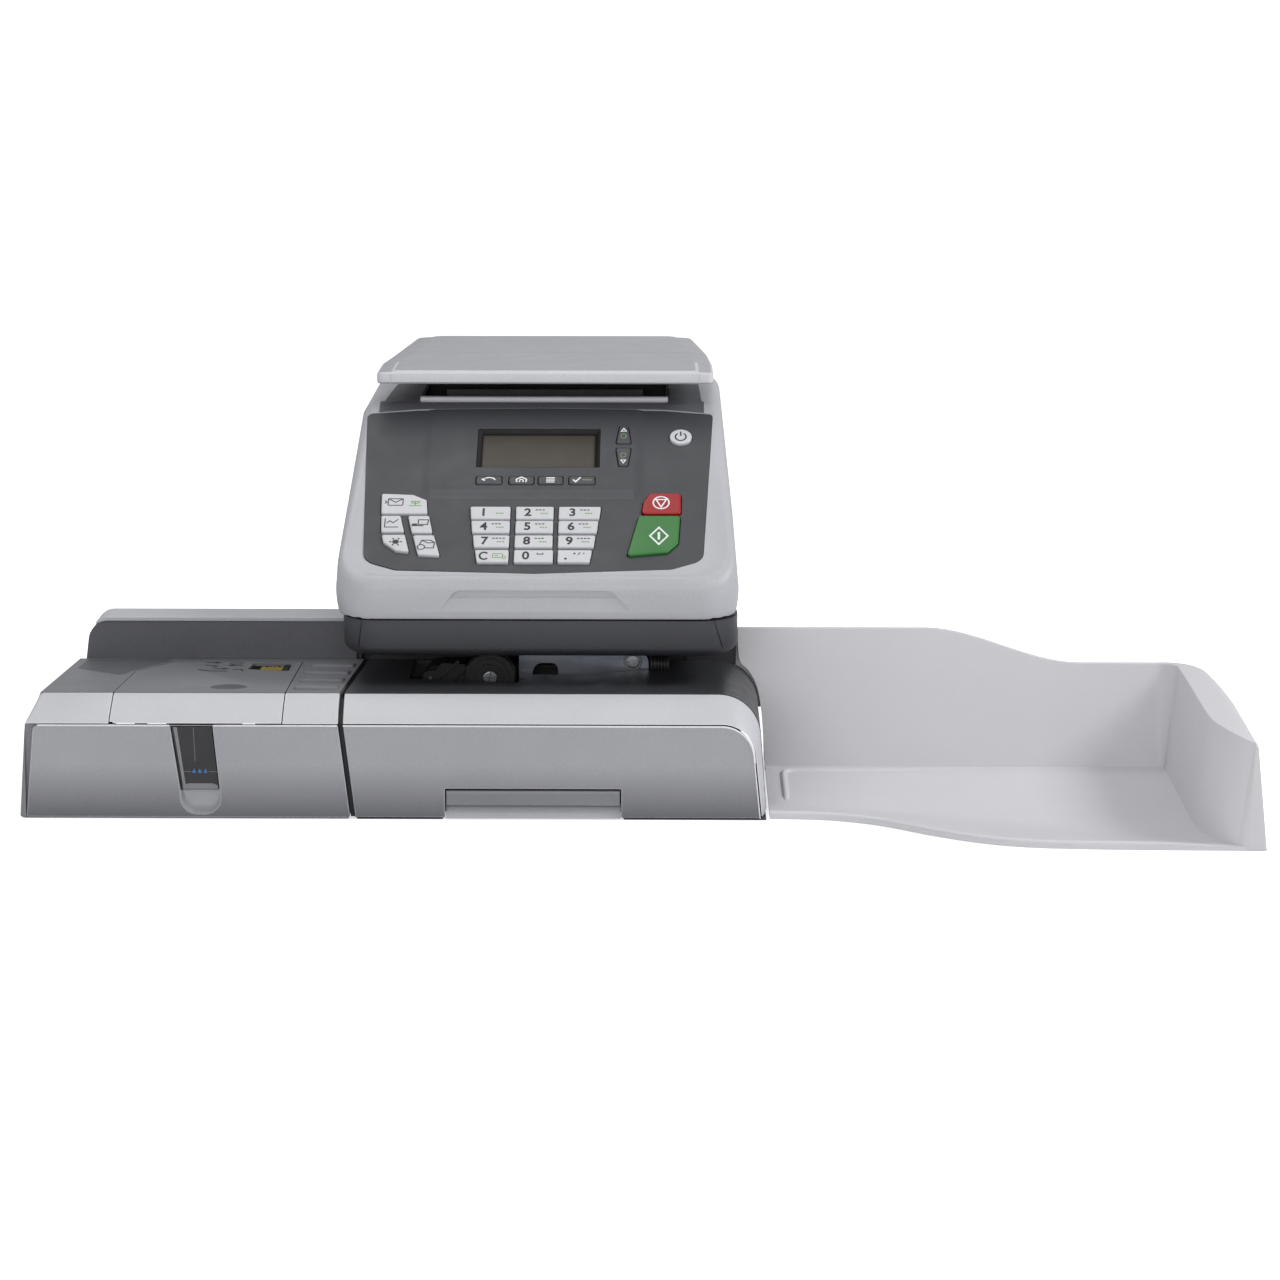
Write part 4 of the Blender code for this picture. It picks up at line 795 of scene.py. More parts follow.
def make_head_housing():
    levels = [HEAD_SEAM_Z + rise for rise in (0.0, 0.7, 2.0, 4.0, 6.6, 9.8, 13.6, 17.4)]
    shell = housing_solid("head_housing", 0.0, 0.0, levels, 8, 10, LOOKS["housing"])
    hollow = housing_solid("hollow", SHELL, SHELL * 2.2, [HEAD_SEAM_Z - 8.0, 150.0], 2, 4)
    ledge = panel_loft("ledge", [(panel_outline(GAP), -SHELL - GAP), (panel_outline(GAP), 12.0)])
    drop = panel_loft("drop", [(panel_outline(-6.0), -16.0), (panel_outline(-6.0), 2.0)])
    top_ledge = prism("top_ledge", plateau_outline(GAP), "Z", PLATEAU_Z - SHELL, PLATEAU_Z + 9.0)
    top_drop = prism("top_drop", plateau_outline(-6.0), "Z", PLATEAU_Z - 16.0, PLATEAU_Z + 4.0)
    cut(shell, hollow, ledge, drop, top_ledge, top_drop, grip_recess())
    hinge_y, hinge_z = HINGE
    for index, x in enumerate((-100.0, 25.0)):
        profile = [(hinge_y - 6.0, hinge_z - 2.6), (HEAD_BACK_Y - 3.2, hinge_z - 2.6),
                   (HEAD_BACK_Y - 3.2, hinge_z + 6.0), (hinge_y - 2.0, hinge_z + 6.0),
                   (hinge_y - 6.0, hinge_z + 3.5)]
        lug = prism("hinge_lug_%d" % index, rounded(profile, [2.5, 0.8, 0.8, 1.5, 2.5], 4), "X", x,
                    x + 40.0, LOOKS["pan"])
        cut(lug, prism("bore", disc(HINGE, HINGE_BORE, 24), "X", x - 5.0, x + 45.0))
        finish(lug, "head", 0.3, 2)
    notches = [block("notch", (x, x + 14.0), (hinge_y - 20.0, HEAD_BACK_Y + 5.0),
                     (hinge_z - 15.0, hinge_z + 14.0))
               for x in (-121.0, 72.0)]
    notches.append(prism("bore", disc(HINGE, HINGE_BORE, 24), "X", -110.0, 75.0))
    for row in range(9):
        z = 196.0 + 8.0 * row
        for x in (-112.0, -20.0):
            notches.append(slit((x, x + 76.0), (z, z + 3.2), 1.5, "Y", HEAD_BACK_Y - 14.0,
                                HEAD_BACK_Y + 4.0))
    cut(shell, *notches)
    return finish(shell, "head", 0.45, 2, 40.0, stands_for=["head_cover"])


def make_grip_liner():
    """Skin that closes the finger grip behind the housing's front wall."""
    foot, head = 146.5, 168.3
    front = rounded([(-97.0, foot), (61.0, foot), (40.6, head), (-81.1, head)], [0.0, 0.0, 9.0, 9.0], 8)
    loops = [[(x, max(grip_floor(z), HEAD_FRONT_Y + 2.6) + extra, z) for x, z in front]
             for extra in (0.02, 1.6)]
    liner = loft("grip_liner", loops, LOOKS["housing"])
    finish(liner, "head")


def make_crest_band():
    """Dark strip that carries the plateau over the crest and down to the panel's upper edge."""
    edge = [(-160.7, 187.0), (-120.0, 191.5), (-20.0, 193.5), (80.0, 191.5), (119.0, 187.0)]
    loops = []
    for step in range(37):
        x = -151.5 + (112.0 + 151.5) * step / 36
        for (left, low), (right, high) in zip(edge, edge[1:]):
            if left <= x <= right:
                reach = low + (high - low) * (x - left) / (right - left)
        start = panel_point(0.0, reach + 0.9)
        slope = Vector((-math.sin(SLOPE), math.cos(SLOPE)))
        foot = Vector((start[1], start[2]))
        crest = Vector((CREST_Y, PLATEAU_Z))
        before = crest + (foot - crest).normalized() * 2.2
        over = Vector((CREST_Y + 2.2, PLATEAU_Z))
        back = Vector((41.6, PLATEAU_Z))
        middle = before.lerp(over, 0.5).lerp(crest, 0.45)
        lift = 0.3
        ring = [foot + slope * lift, before + slope * lift, middle + Vector((-0.1, lift * 0.9)),
                over + Vector((0.0, lift)), back + Vector((0.0, lift)), back - Vector((0.0, 1.2)),
                over - Vector((0.0, 1.2)), before - slope * 1.2, foot - slope * 1.2]
        loops.append([(x, point.x, point.y) for point in ring])
    band = loft("crest_band", loops, LOOKS["plateau"])
    finish(band, "head", angle=40.0)


def make_plateau():
    plate = prism("plateau_plate", plateau_outline(0.0), "Z", PLATEAU_Z - SHELL + GAP, PLATEAU_Z,
                  LOOKS["plateau"])
    slot = block("slot", (-119.6, 83.4), (48.0, 116.0), (270.0, 300.0), radius=1.5)
    seat = block("seat", (-62.0, 26.0), (131.0, 164.0), (PLATEAU_Z - 0.8, 300.0), radius=3.0)
    cut(plate, slot, seat)
    ridge = rounded([(-140.0, 176.0), (102.0, 176.0), (100.0, 190.0), (-137.0, 190.0)], 5.0)
    join(plate, prism("ridge", ridge, "Z", PLATEAU_Z - 1.0, PLATEAU_Z + 1.2))
    finish(plate, "head", 0.5, stands_for=["top_deck"])


def make_label_tray():
    low, high = lowest("label_tray"), highest("label_tray")
    front, crown = low.y - 11.0, high.z - 2.0
    bar_section = rounded([(front, PLATEAU_Z - 6.0), (front + 5.2, PLATEAU_Z - 6.0), (front + 5.2, crown),
                           (front + 0.6, crown - 0.6)], [0.0, 0.0, 1.4, 1.6], 5)
    loops = []
    for step in range(13):
        share = step / 12
        x = low.x + (high.x - low.x) * share
        bow = 0.5 * (1.0 - (2.0 * share - 1.0) ** 2)
        loops.append([(x, y - bow, z) for y, z in bar_section])
    bar = loft("label_bar", loops, LOOKS["platform_edge"])
    join(bar, block("lip", (low.x + 1.0, high.x - 1.0), (front - 1.2, front + 2.0),
                    (PLATEAU_Z - 0.6, PLATEAU_Z + 0.9)))
    finish(bar, "head", 0.5, stands_for=["label_tray"])
    well = block("label_well", (low.x, high.x), (low.y + 5.6, high.y), (low.z, PLATEAU_Z + 3.6),
                 LOOKS["gap"], 1.0)
    room = block("room", (low.x + 2.2, high.x - 2.2), (low.y + 2.0, high.y - 2.4), (low.z + 2.0, 300.0),
                 radius=1.5)
    cut(well, room)
    ribs = []
    for x in (-96.0, -62.0, -28.0, 6.0, 40.0, 64.0):
        outline = rounded([(low.y + 8.0, low.z + 1.0), (high.y - 3.0, low.z + 1.0),
                           (high.y - 3.0, low.z + 4.2), (low.y + 12.0, low.z + 4.2)], [0.0, 0.0, 1.0, 1.0],
                           3)
        ribs.append(prism("rib", outline, "X", x, x + 1.6))
    join(well, *ribs)
    finish(well, "head", 0.35, 2)


def make_label_pusher():
    low, high = lowest("label_pusher"), highest("label_pusher")
    section = rounded([(low.y, low.z), (high.y, low.z), (high.y, low.z + 1.8), (low.y + 2.0, low.z + 1.8),
                       (low.y + 2.0, high.z), (low.y, high.z)], [0.4, 0.6, 0.6, 1.4, 0.8, 0.8], 4)
    pusher = prism("label_pusher_plate", section, "X", low.x, high.x, LOOKS["black"])
    gussets = []
    for step in range(7):
        x = low.x + 10.0 + step * (high.x - low.x - 22.0) / 6.0
        gussets.append(prism("gusset", [(low.y + 1.0, low.z + 1.0), (high.y - 3.0, low.z + 1.0),
                                        (low.y + 1.0, high.z - 2.5)], "X", x, x + 1.6))
    join(pusher, *gussets)
    finish(pusher, "label_pusher", 0.3, 2, stands_for=["label_pusher"])


# ---------------------------------------------------------------- control panel

ZONE_LEFT = -105.0
ZONE_RIGHT = 56.0
STEP_LOW = 85.0
STEP_HIGH = 96.0
WINDOW = ((-70.0, 28.7), (121.0, 168.0))


def ease(value):
    value = min(1.0, max(0.0, value))
    return value * value * (3.0 - 2.0 * value)


def panel_relief(u, s):
    """Height of the panel's skin: the display zone stands proud of the keys, with soft flanks."""
    flank = 9.0
    zone = ease((u - ZONE_LEFT + flank) / flank) * ease((ZONE_RIGHT + flank - u) / flank)
    zone *= ease((s - STEP_LOW) / (STEP_HIGH - STEP_LOW))
    crown = 0.25 * math.sin(math.pi * ease(s / 195.0))
    return -0.75 + 1.2 * zone + crown


KEYS = {
    "key_1": ([(-71.2, 59.7), (-40.5, 59.7), (-40.5, 74.2), (-72.3, 74.2)], 1.5),
    "key_2": ([(-36.0, 59.7), (-6.5, 59.7), (-6.5, 74.2), (-36.3, 74.2)], 1.5),
    "key_3": ([(-2.5, 59.7), (29.3, 59.7), (30.6, 74.2), (-2.5, 74.2)], 1.5),
    "key_4": ([(-69.7, 43.7), (-40.4, 43.7), (-40.4, 57.8), (-70.9, 57.8)], 1.5),
    "key_5": ([(-36.0, 43.7), (-6.5, 43.7), (-6.5, 57.8), (-36.0, 57.8)], 1.5),
    "key_6": ([(-2.4, 43.7), (27.6, 43.7), (28.9, 57.8), (-2.4, 57.8)], 1.5),
    "key_7": ([(-67.5, 27.2), (-40.3, 27.2), (-40.3, 41.2), (-68.9, 41.2)], 1.5),
    "key_8": ([(-36.0, 27.2), (-6.4, 27.2), (-6.4, 41.2), (-36.0, 41.2)], 1.5),
    "key_9": ([(-2.3, 27.2), (25.5, 27.2), (26.9, 41.2), (-2.3, 41.2)], 1.5),
    "key_clear": ([(-64.6, 10.2), (-40.2, 10.2), (-40.2, 24.4), (-66.7, 24.4)], 1.5),
    "key_0": ([(-36.0, 10.2), (-5.7, 10.2), (-5.7, 24.4), (-36.0, 24.4)], 1.5),
    "key_point": ([(-2.1, 10.2), (22.6, 10.2), (24.6, 24.4), (-2.1, 24.4)], 1.5),
    "soft_key_back": ([(-69.0, 100.5), (-48.8, 100.5), (-48.8, 110.0), (-69.0, 110.0)], 2.0),
    "soft_key_home": ([(-42.9, 100.5), (-23.4, 100.5), (-23.4, 110.0), (-42.9, 110.0)], 2.0),
    "soft_key_list": ([(-19.7, 100.5), (-0.4, 100.5), (-0.4, 110.0), (-19.7, 110.0)], 2.0),
    "soft_key_accept": ([(4.7, 100.5), (25.1, 100.5), (25.1, 110.0), (4.7, 110.0)], 2.0),
    "arrow_up_key": ([(41.3, 149.5), (53.4, 149.5), (50.8, 170.0), (43.9, 170.0)], 2.0),
    "arrow_down_key": ([(43.9, 122.4), (50.8, 122.4), (53.4, 144.3), (41.3, 144.3)], 2.0),
    "stop_key": ([(62.3, 65.9), (93.5, 65.9), (93.5, 90.2), (69.0, 90.2), (64.0, 80.0)], 3.5),
    "start_key": ([(51.6, 18.0), (83.0, 22.0), (91.5, 33.0), (93.0, 64.0), (60.5, 64.0)], 2.5),
    "shortcut_weigh": ([(-142.0, 65.7), (-105.6, 65.7), (-107.0, 81.5), (-118.0, 87.8), (-143.0, 89.1)],
                       1.8),
    "shortcut_graph": ([(-140.7, 44.4), (-122.6, 44.4), (-126.6, 63.4), (-141.8, 63.4)], 1.8),
    "shortcut_rate": ([(-116.7, 43.6), (-100.4, 43.6), (-104.2, 63.4), (-120.8, 63.4)], 1.8),
    "shortcut_job": ([(-128.0, 23.2), (-117.6, 21.6), (-122.0, 41.6), (-140.2, 41.6), (-138.4, 33.0)], 1.8),
    "shortcut_mail": ([(-110.6, 18.6), (-93.4, 17.3), (-99.2, 41.0), (-115.8, 41.0)], 1.8),
}
POWER_KEY = ((93.2, 158.0), 8.9)


def key_outline(name, offset=0.0, steps=6):
    """Outline of a key; its corner radius shrinks with the outline but never vanishes."""
    if name == "power_key":
        return disc(POWER_KEY[0], POWER_KEY[1] + offset, 48)
    corners, radius = KEYS[name]
    return rounded(grown(corners, offset), max(0.5, radius + min(0.0, offset)), steps)


def key_centre(name):
    if name == "power_key":
        return POWER_KEY[0]
    corners = KEYS[name][0]
    return (sum(point[0] for point in corners) / len(corners),
            sum(point[1] for point in corners) / len(corners))


def make_control_panel():
    left, low, pitch = -166.0, -6.0, 1.9
    columns = int(290.0 / pitch)
    rows = int(204.0 / pitch)
    right, high = left + columns * pitch, low + rows * pitch
    verts = []
    for row in range(rows + 1):
        for column in range(columns + 1):
            u = left + column * pitch
            s = low + row * pitch
            verts.append(panel_point(u, s, panel_relief(u, s)))
    top_count = len(verts)
    verts += [panel_point(u, s, -SHELL) for u, s in rectangle((left, right), (low, high))]
    faces = []
    grained = []
    width = columns + 1
    for row in range(rows):
        for column in range(columns):
            start = row * width + column
            u = left + (column + 0.5) * pitch
            s = low + (row + 0.5) * pitch
            grained.append(ZONE_LEFT - 1.0 < u < ZONE_RIGHT + 1.0 and STEP_LOW < s < STEP_HIGH - 0.5)
            faces.append([start, start + 1, start + 1 + width, start + width])
    faces.append([top_count, top_count + 3, top_count + 2, top_count + 1])
    faces.append([top_count, top_count + 1] + [column for column in range(columns, -1, -1)])
    faces.append([top_count + 1, top_count + 2] + [row * width + columns for row in range(rows, -1, -1)])
    faces.append([top_count + 2, top_count + 3] + [rows * width + column for column in range(columns + 1)])
    faces.append([top_count + 3, top_count] + [row * width for row in range(rows + 1)])
    panel = mesh_object("control_panel_skin", verts, faces, LOOKS["panel"])
    panel.data.materials.append(LOOKS["panel_grain"])
    for index, is_grained in enumerate(grained):
        panel.data.polygons[index].material_index = 1 if is_grained else 0
    combine(panel, [panel_loft("trim", [(panel_outline(0.0), -SHELL - 1.0), (panel_outline(0.0), 4.0)])],
            "INTERSECT")
    outlines = [rounded(rectangle(*WINDOW), 0.8, 3)]
    outlines += [key_outline(name, KEY_GAP) for name in list(KEYS) + ["power_key"]]
    holes = [panel_loft("hole", [(outline, -8.0), (outline, 4.0)]) for outline in outlines]
    cut(panel, *holes)
    finish(panel, "head", angle=50.0, stands_for=["control_panel"])
    depth = KEY_DEPTH + 3.0
    mat = panel_loft("key_mat", [(panel_outline(-9.0), -depth - 1.2), (panel_outline(-9.0), -depth)],
                     LOOKS["black"])
    finish(mat, "head", 0.3, 1)


def make_display():
    left, right = WINDOW[0][0] + GAP, WINDOW[0][1] - GAP
    low, high = WINDOW[1][0] + GAP, WINDOW[1][1] - GAP

    def frame_ring(inset_side, inset_top, inset_low, height):
        ring = rounded([(left + inset_side, low + inset_low), (right - inset_side, low + inset_low),
                        (right - inset_side, high - inset_top), (left + inset_side, high - inset_top)], 0.6,
                        3)
        return [panel_point(u, s, height) for u, s in ring]

    loops = [frame_ring(0.0, 0.0, 0.0, -5.8), frame_ring(0.0, 0.0, 0.0, -0.15),
             frame_ring(0.7, 0.7, 0.7, 0.1), frame_ring(3.0, 2.2, 1.4, -2.6),
             frame_ring(3.4, 2.6, 1.6, -3.6), frame_ring(3.4, 2.6, 1.6, -5.8)]
    bezel = loft("display_bezel", loops, LOOKS["gap"], closed=True)
    finish(bezel, "head", 0.2, 2)
    loops = [frame_ring(3.6, 2.8, 1.8, -5.6), frame_ring(3.6, 2.8, 1.8, -3.9),
             frame_ring(4.0, 3.2, 2.2, -3.6), frame_ring(5.2, 4.4, 3.4, -3.5)]
    pane = loft("display_pane", loops, LOOKS["lcd"])
    finish(pane, "head", stands_for=["lcd_glass"])


def key_look(name):
    if name in ("stop_key", "start_key"):
        return {"stop_key": ("red", "key_red"), "start_key": ("green", "key_green")}[name]
    if name.startswith(("soft_key", "arrow")):
        return "key_dark", "panel_dark"
    return "key", "key_white"


def make_keys():
    """Each key cap has a skirt, a rounded shoulder and a nearly flat face."""
    for name in list(KEYS) + ["power_key"]:
        look, slot = key_look(name)
        skirt = 0.55
        levels = [(key_outline(name, -0.3), -KEY_DEPTH), (key_outline(name), -KEY_DEPTH + 0.4),
                  (key_outline(name), skirt)]
        for step in range(1, 6):
            turn = 0.5 * math.pi * step / 5
            levels.append((key_outline(name, -1.05 * (1.0 - math.cos(turn))),
                           skirt + (KEY_RISE - 0.6) * math.sin(turn)))
        levels.append((key_outline(name, -2.0), KEY_RISE - 0.02))
        levels.append((key_outline(name, -2.9), KEY_RISE))
        cap = panel_loft(name + "_cap", levels, LOOKS[look])
        finish(cap, name, angle=60.0, stands_for=[name])


# ---------------------------------------------------------------- marks on the keys

INK = 0.12


def stroke(centre, points, width, closed=False):
    """Flat ribbon along a path on a key's face; the points are given from a centre on the panel."""
    rows = [Vector((centre[0] + u, centre[1] + s)) for u, s in points]
    loops = []
    count = len(rows)
    for index, here in enumerate(rows):
        before = rows[index - 1] if (closed or index > 0) else None
        after = rows[(index + 1) % count] if (closed or index < count - 1) else None
        back = (here - before).normalized() if before is not None else None
        ahead = (after - here).normalized() if after is not None else back
        back = back or ahead
        side = (Vector((-back.y, back.x)) + Vector((-ahead.y, ahead.x)))
        side = side.normalized() if side.length > 0.01 else Vector((-back.y, back.x))
        reach = 0.5 * width / max(0.45, side.dot(Vector((-back.y, back.x))))
        left = here + side * reach
        right = here - side * reach
        loops.append([panel_point(left.x, left.y, KEY_RISE - 0.25),
                      panel_point(left.x, left.y, KEY_RISE + INK),
                      panel_point(right.x, right.y, KEY_RISE + INK),
                      panel_point(right.x, right.y, KEY_RISE - 0.25)])
    return loft("stroke", loops, closed=closed)


def patch(centre, points):
    outline = [(centre[0] + u, centre[1] + s) for u, s in points]
    return panel_loft("patch", [(outline, KEY_RISE - 0.25), (outline, KEY_RISE + INK)])


def arc(centre, radius, start, end, steps=14, reach_v=None):
    other = radius if reach_v is None else reach_v
    points = []
    for step in range(steps + 1):
        turn = math.radians(start + (end - start) * step / steps)
        points.append((centre[0] + radius * math.cos(turn), centre[1] + other * math.sin(turn)))
    return points


def draw(name, key, look, *shapes):
    """Print a mark on a key: (points, width) is a line, with True behind it a closed one.

    A shape of (points,) alone is a filled patch; all points count from the key's centre."""
    centre = key_centre(key)
    made = [stroke(centre, *shape) if len(shape) > 1 else patch(centre, *shape) for shape in shapes]
    for shape in made:
        shape.data.materials.append(LOOKS[look])
    finish(merged(name, made), key)


def digit(key, text, offset, height=8.6):
    """Number on a key, from Blender's built-in font."""
    curve = bpy.data.curves.new("digit", "FONT")
    curve.body = text
    curve.align_x = "CENTER"
    curve.align_y = "CENTER"
    curve.size = height / 0.72 * MM
    curve.offset = 0.3 * MM
    curve.extrude = 0.16 * MM
    source = bpy.data.objects.new("digit", curve)
    bpy.context.scene.collection.objects.link(source)
    centre = key_centre(key)
    place = panel_matrix(centre[0] + offset, centre[1] - 0.2, KEY_RISE - 0.04)
    source.matrix_world = place @ Matrix.Diagonal((0.95, 1.0, 1.0, 1.0))
    bpy.context.view_layer.update()
    mesh = bpy.data.meshes.new_from_object(source.evaluated_get(bpy.context.evaluated_depsgraph_get()))
    mesh.transform(source.matrix_world)
    bpy.data.objects.remove(source, do_unlink=True)
    obj = bpy.data.objects.new(key + "_number", mesh)
    bpy.context.scene.collection.objects.link(obj)
    mesh.materials.clear()
    mesh.materials.append(LOOKS["ink_black"])
    finish(obj, key)


def dashes(start_u, s, count, width, height, gap):
    """Row of printed dashes, as shapes for draw."""
    starts = [start_u + index * (width + gap) for index in range(count)]
    return [(rectangle((u, u + width), (s, s + height)),) for u in starts]


def make_number_marks():
    for number in range(10):
        key = "key_%d" % number
        digit(key, str(number), -5.4 if number else -6.0)
        if number == 0:
            draw("key_0_space", key, "ink_black", ([(3.0, 3.2), (3.0, 1.8), (7.4, 1.8), (7.4, 3.2)], 0.8))
            continue
        if number > 1:
            count = 4 if number in (7, 9) else 3
            draw(key + "_dashes", key, "ink_black", *dashes(0.6, 2.4, count, 1.9, 1.0, 0.8))
        draw(key + "_green", key, "ink_green", *dashes(4.4, -1.6, 3, 1.5, 1.2, 0.6))
    draw("key_clear_mark", "key_clear", "ink_black", (arc((-6.2, -0.2), 3.4, 42.0, 318.0, 18, 3.9), 1.5))
    tag = rounded(rectangle((0.4, 8.2), (-2.2, 2.2)), 1.0, 3)
    draw("key_clear_tag", "key_clear", "ink_green", (tag, 0.7, True), ([(2.0, 0.0), (5.0, 0.0)], 0.8),
         (arc((9.2, -1.8), 1.4, 0.0, 330.0), 0.7, True))
    draw("key_point_mark", "key_point", "ink_black", (disc((-6.6, -3.2), 1.1, 14),),
         (disc((0.2, 2.6), 0.9, 12),), ([(3.0, 1.0), (4.6, 3.8)], 0.7), (disc((7.4, 2.8), 0.6, 12),))


def make_shortcut_marks():
    letter = rounded(rectangle((-14.0, -2.4), (-3.0, 4.6)), 0.6, 3)
    draw("shortcut_weigh_mark", "shortcut_weigh", "ink_black", (letter, 0.8, True),
         ([(-13.4, 4.2), (-8.2, 0.4), (-3.0, 4.2)], 0.8),
         ([(-16.6, -1.0), (-15.0, 0.6), (-16.6, 2.2)], 0.8))
    draw("shortcut_weigh_green", "shortcut_weigh", "ink_green", ([(2.6, -3.4), (12.4, -3.4)], 0.9),
         ([(7.5, -3.4), (7.5, 1.2)], 0.9), (arc((7.5, 1.4), 3.4, 180.0, 360.0, 14, 2.2), 0.9),
         ([(4.1, 1.6), (10.9, 1.6)], 0.9))
    draw("shortcut_graph_mark", "shortcut_graph", "ink_black",
         ([(-5.4, 5.6), (-5.4, -4.2), (5.2, -4.2)], 0.8),
         ([(-4.0, 0.4), (-1.6, 3.0), (1.0, 0.8), (5.0, 4.8)], 0.8))
    draw("shortcut_rate_mark", "shortcut_rate", "ink_black",
         ([(-1.6, 4.6), (6.4, 4.6), (5.6, -0.8), (-1.6, -0.8)], 0.8, True),
         ([(-6.8, -2.6), (-2.4, -2.6), (-2.4, 0.2), (-6.2, 0.2)],), ([(-2.4, -2.2), (2.6, -2.2)], 1.0))
    shapes = [(disc((0.6, 0.6), 2.6, 20, 2.4),)]
    for turn in range(0, 360, 60):
        ahead = (math.cos(math.radians(turn)), math.sin(math.radians(turn)))
        shapes.append(([(0.6 + 3.2 * ahead[0], 0.6 + 3.0 * ahead[1]),
                        (0.6 + 5.0 * ahead[0], 0.6 + 4.7 * ahead[1])], 1.1))
    draw("shortcut_job_mark", "shortcut_job", "ink_black", *shapes)
    draw("shortcut_mail_mark", "shortcut_mail", "ink_black",
         ([(-3.6, 5.2), (3.4, 5.2), (6.6, 2.4), (5.8, -3.6), (-1.2, -3.6)], 0.8),
         ([(-3.6, 5.2), (-5.0, 0.4)], 0.8), ([(-3.2, 4.8), (1.4, 2.0), (6.2, 2.6)], 0.7),
         (arc((-3.8, -2.6), 2.8, 0.0, 345.0, 20), 0.8, True))


def make_command_marks():
    draw("soft_key_back_mark", "soft_key_back", "ink_white",
         (arc((0.2, -1.6), 5.0, 20.0, 150.0, 14, 4.2), 1.2), ([(-6.4, 0.6), (-2.6, 2.6), (-3.4, -1.8)],))
    draw("soft_key_home_mark", "soft_key_home", "ink_white",
         ([(-3.6, -2.8), (-4.0, 0.6), (0.0, 3.2), (4.0, 0.6), (3.6, -2.8)], 1.2),
         ([(-1.4, -2.8), (-1.4, -0.4), (0.0, 0.6), (1.4, -0.4), (1.4, -2.8)], 1.0))
    draw("soft_key_list_mark", "soft_key_list", "ink_white",
         *[([(-3.4, s), (3.4, s)], 0.9) for s in (-2.6, -0.9, 0.8, 2.5)])
    draw("soft_key_accept_mark", "soft_key_accept", "ink_white",
         ([(-7.0, 0.4), (-5.0, -2.2), (-1.2, 3.0)], 1.3))
    draw("soft_key_accept_dash", "soft_key_accept", "ink_green", *dashes(0.4, -0.4, 3, 2.0, 0.9, 0.5))
    for key, way in (("arrow_up_key", 1.0), ("arrow_down_key", -1.0)):
        tip = [(-1.9, way * 4.2), (1.9, way * 4.2), (0.0, way * 7.8)]
        if way < 0.0:
            tip = tip[::-1]
        draw(key + "_mark", key, "ink_white", (tip, 0.8, True))
        draw(key + "_ring", key, "ink_green", (arc((0.0, -way * 1.6), 2.1, 0.0, 340.0, 16, 2.6), 0.5, True))
    middle = (1.4, 0.2)
    triangle = [(middle[0] + u, middle[1] + s) for u, s in ((-4.0, 3.6), (0.0, -5.2), (4.0, 3.6))]
    draw("stop_key_mark", "stop_key", "ink_white", (arc(middle, 6.2, 0.0, 352.0, 40, 7.0), 1.2, True),
         (triangle, 1.2, True))
    diamond = [(-6.6, 0.0), (0.4, -9.6), (7.4, 0.0), (0.4, 9.6)]
    draw("start_key_mark", "start_key", "ink_white", (diamond, 1.4, True), ([(0.4, -4.2), (0.4, 4.2)], 1.9))
    draw("power_key_mark", "power_key", "ink_black",
         (arc((0.0, -0.6), 4.3, 125.0, 415.0, 30, 4.6), 1.2), ([(0.0, 0.4), (0.0, 5.6)], 1.2))


# ---------------------------------------------------------------- scale on the head

def platform_corners():
    return [(-152.5, 15.0), (119.5, 15.0), (119.0, 70.0), (115.5, 126.0), (102.0, 235.0), (-135.0, 235.0),
            (-146.0, 126.0), (-152.5, 70.0)]


PLATFORM_RADII = [5.0, 5.0, 60.0, 60.0, 12.0, 12.0, 60.0, 60.0]


def platform_ring(inset, level, side=0.0):
    corners = platform_corners()
    if side:
        corners = [(x + (side if x < -16.0 else -side), y) for x, y in corners]
    radii = [max(radius - inset, 1.2) for radius in PLATFORM_RADII]
    outline = rounded(grown(corners, -inset), radii, 8)
    return [(x, y, level) for x, y in outline]


def make_platform():
    """Tray of the scale: thin rolled edge, broad falling side borders and a cross groove."""
    top, under = PLATFORM_TOP_Z, PLATFORM_UNDER_Z
    rings = [platform_ring(3.0, under), platform_ring(1.0, under + 0.3), platform_ring(0.0, under + 1.6),
             platform_ring(0.0, top - 3.6), platform_ring(0.5, top - 2.4), platform_ring(1.8, top - 1.6),
             platform_ring(2.2, top - 1.2, 9.5), platform_ring(3.4, top - 0.25, 11.0),
             platform_ring(5.0, top, 11.6)]
    plate = loft("weighing_plate", rings, LOOKS["platform"])
    room = prism("room", grown(platform_corners(), -7.0), "Z", under - 5.0, top - 5.0)
    groove = prism("groove", [(126.0, top - 0.9), (127.4, top - 0.9), (128.0, top + 2.0),
                              (125.4, top + 2.0)], "X",
                   -170.0, 140.0)
    tools = [room, groove]
    for x in (-141.0, 108.0):
        tools.append(block("notch", (x - 0.4, x + 0.4), (10.0, 15.5), (under - 1.0, top - 1.2)))
    cut(plate, *tools)
    # Sloped faces of the side borders and the front edge take the paler colour: painted highlight where they
    # catch the light.
    plate.data.materials.append(LOOKS["platform_edge"])
    for face in plate.data.polygons:
        middle = face.center / MM
        borders = min(middle.x - platform_corners()[0][0], platform_corners()[1][0] - middle.x)
        lit_border_slope = face.normal.z < 0.985 and middle.z > under + 2.0 and face.normal.z > -0.1
        if lit_border_slope and (borders < 15.0 or middle.y < 18.0):
            face.material_index = 1
    ribs = []
    for x in (-110.0, -78.0, 46.0, 78.0):
        ribs.append(block("rib", (x, x + 2.0), (22.0, 226.0), (under + 1.0, top - 4.0)))
    for y in (60.0, 190.0):
        ribs.append(block("rib", (-130.0, 96.0), (y, y + 2.0), (under + 1.0, top - 4.0)))
    join(plate, *ribs)
    finish(plate, "weighing_platform", 0.35, 2, 34.0, stands_for=["weighing_platform"])


# ---------------------------------------------------------------- pan under the head and print unit

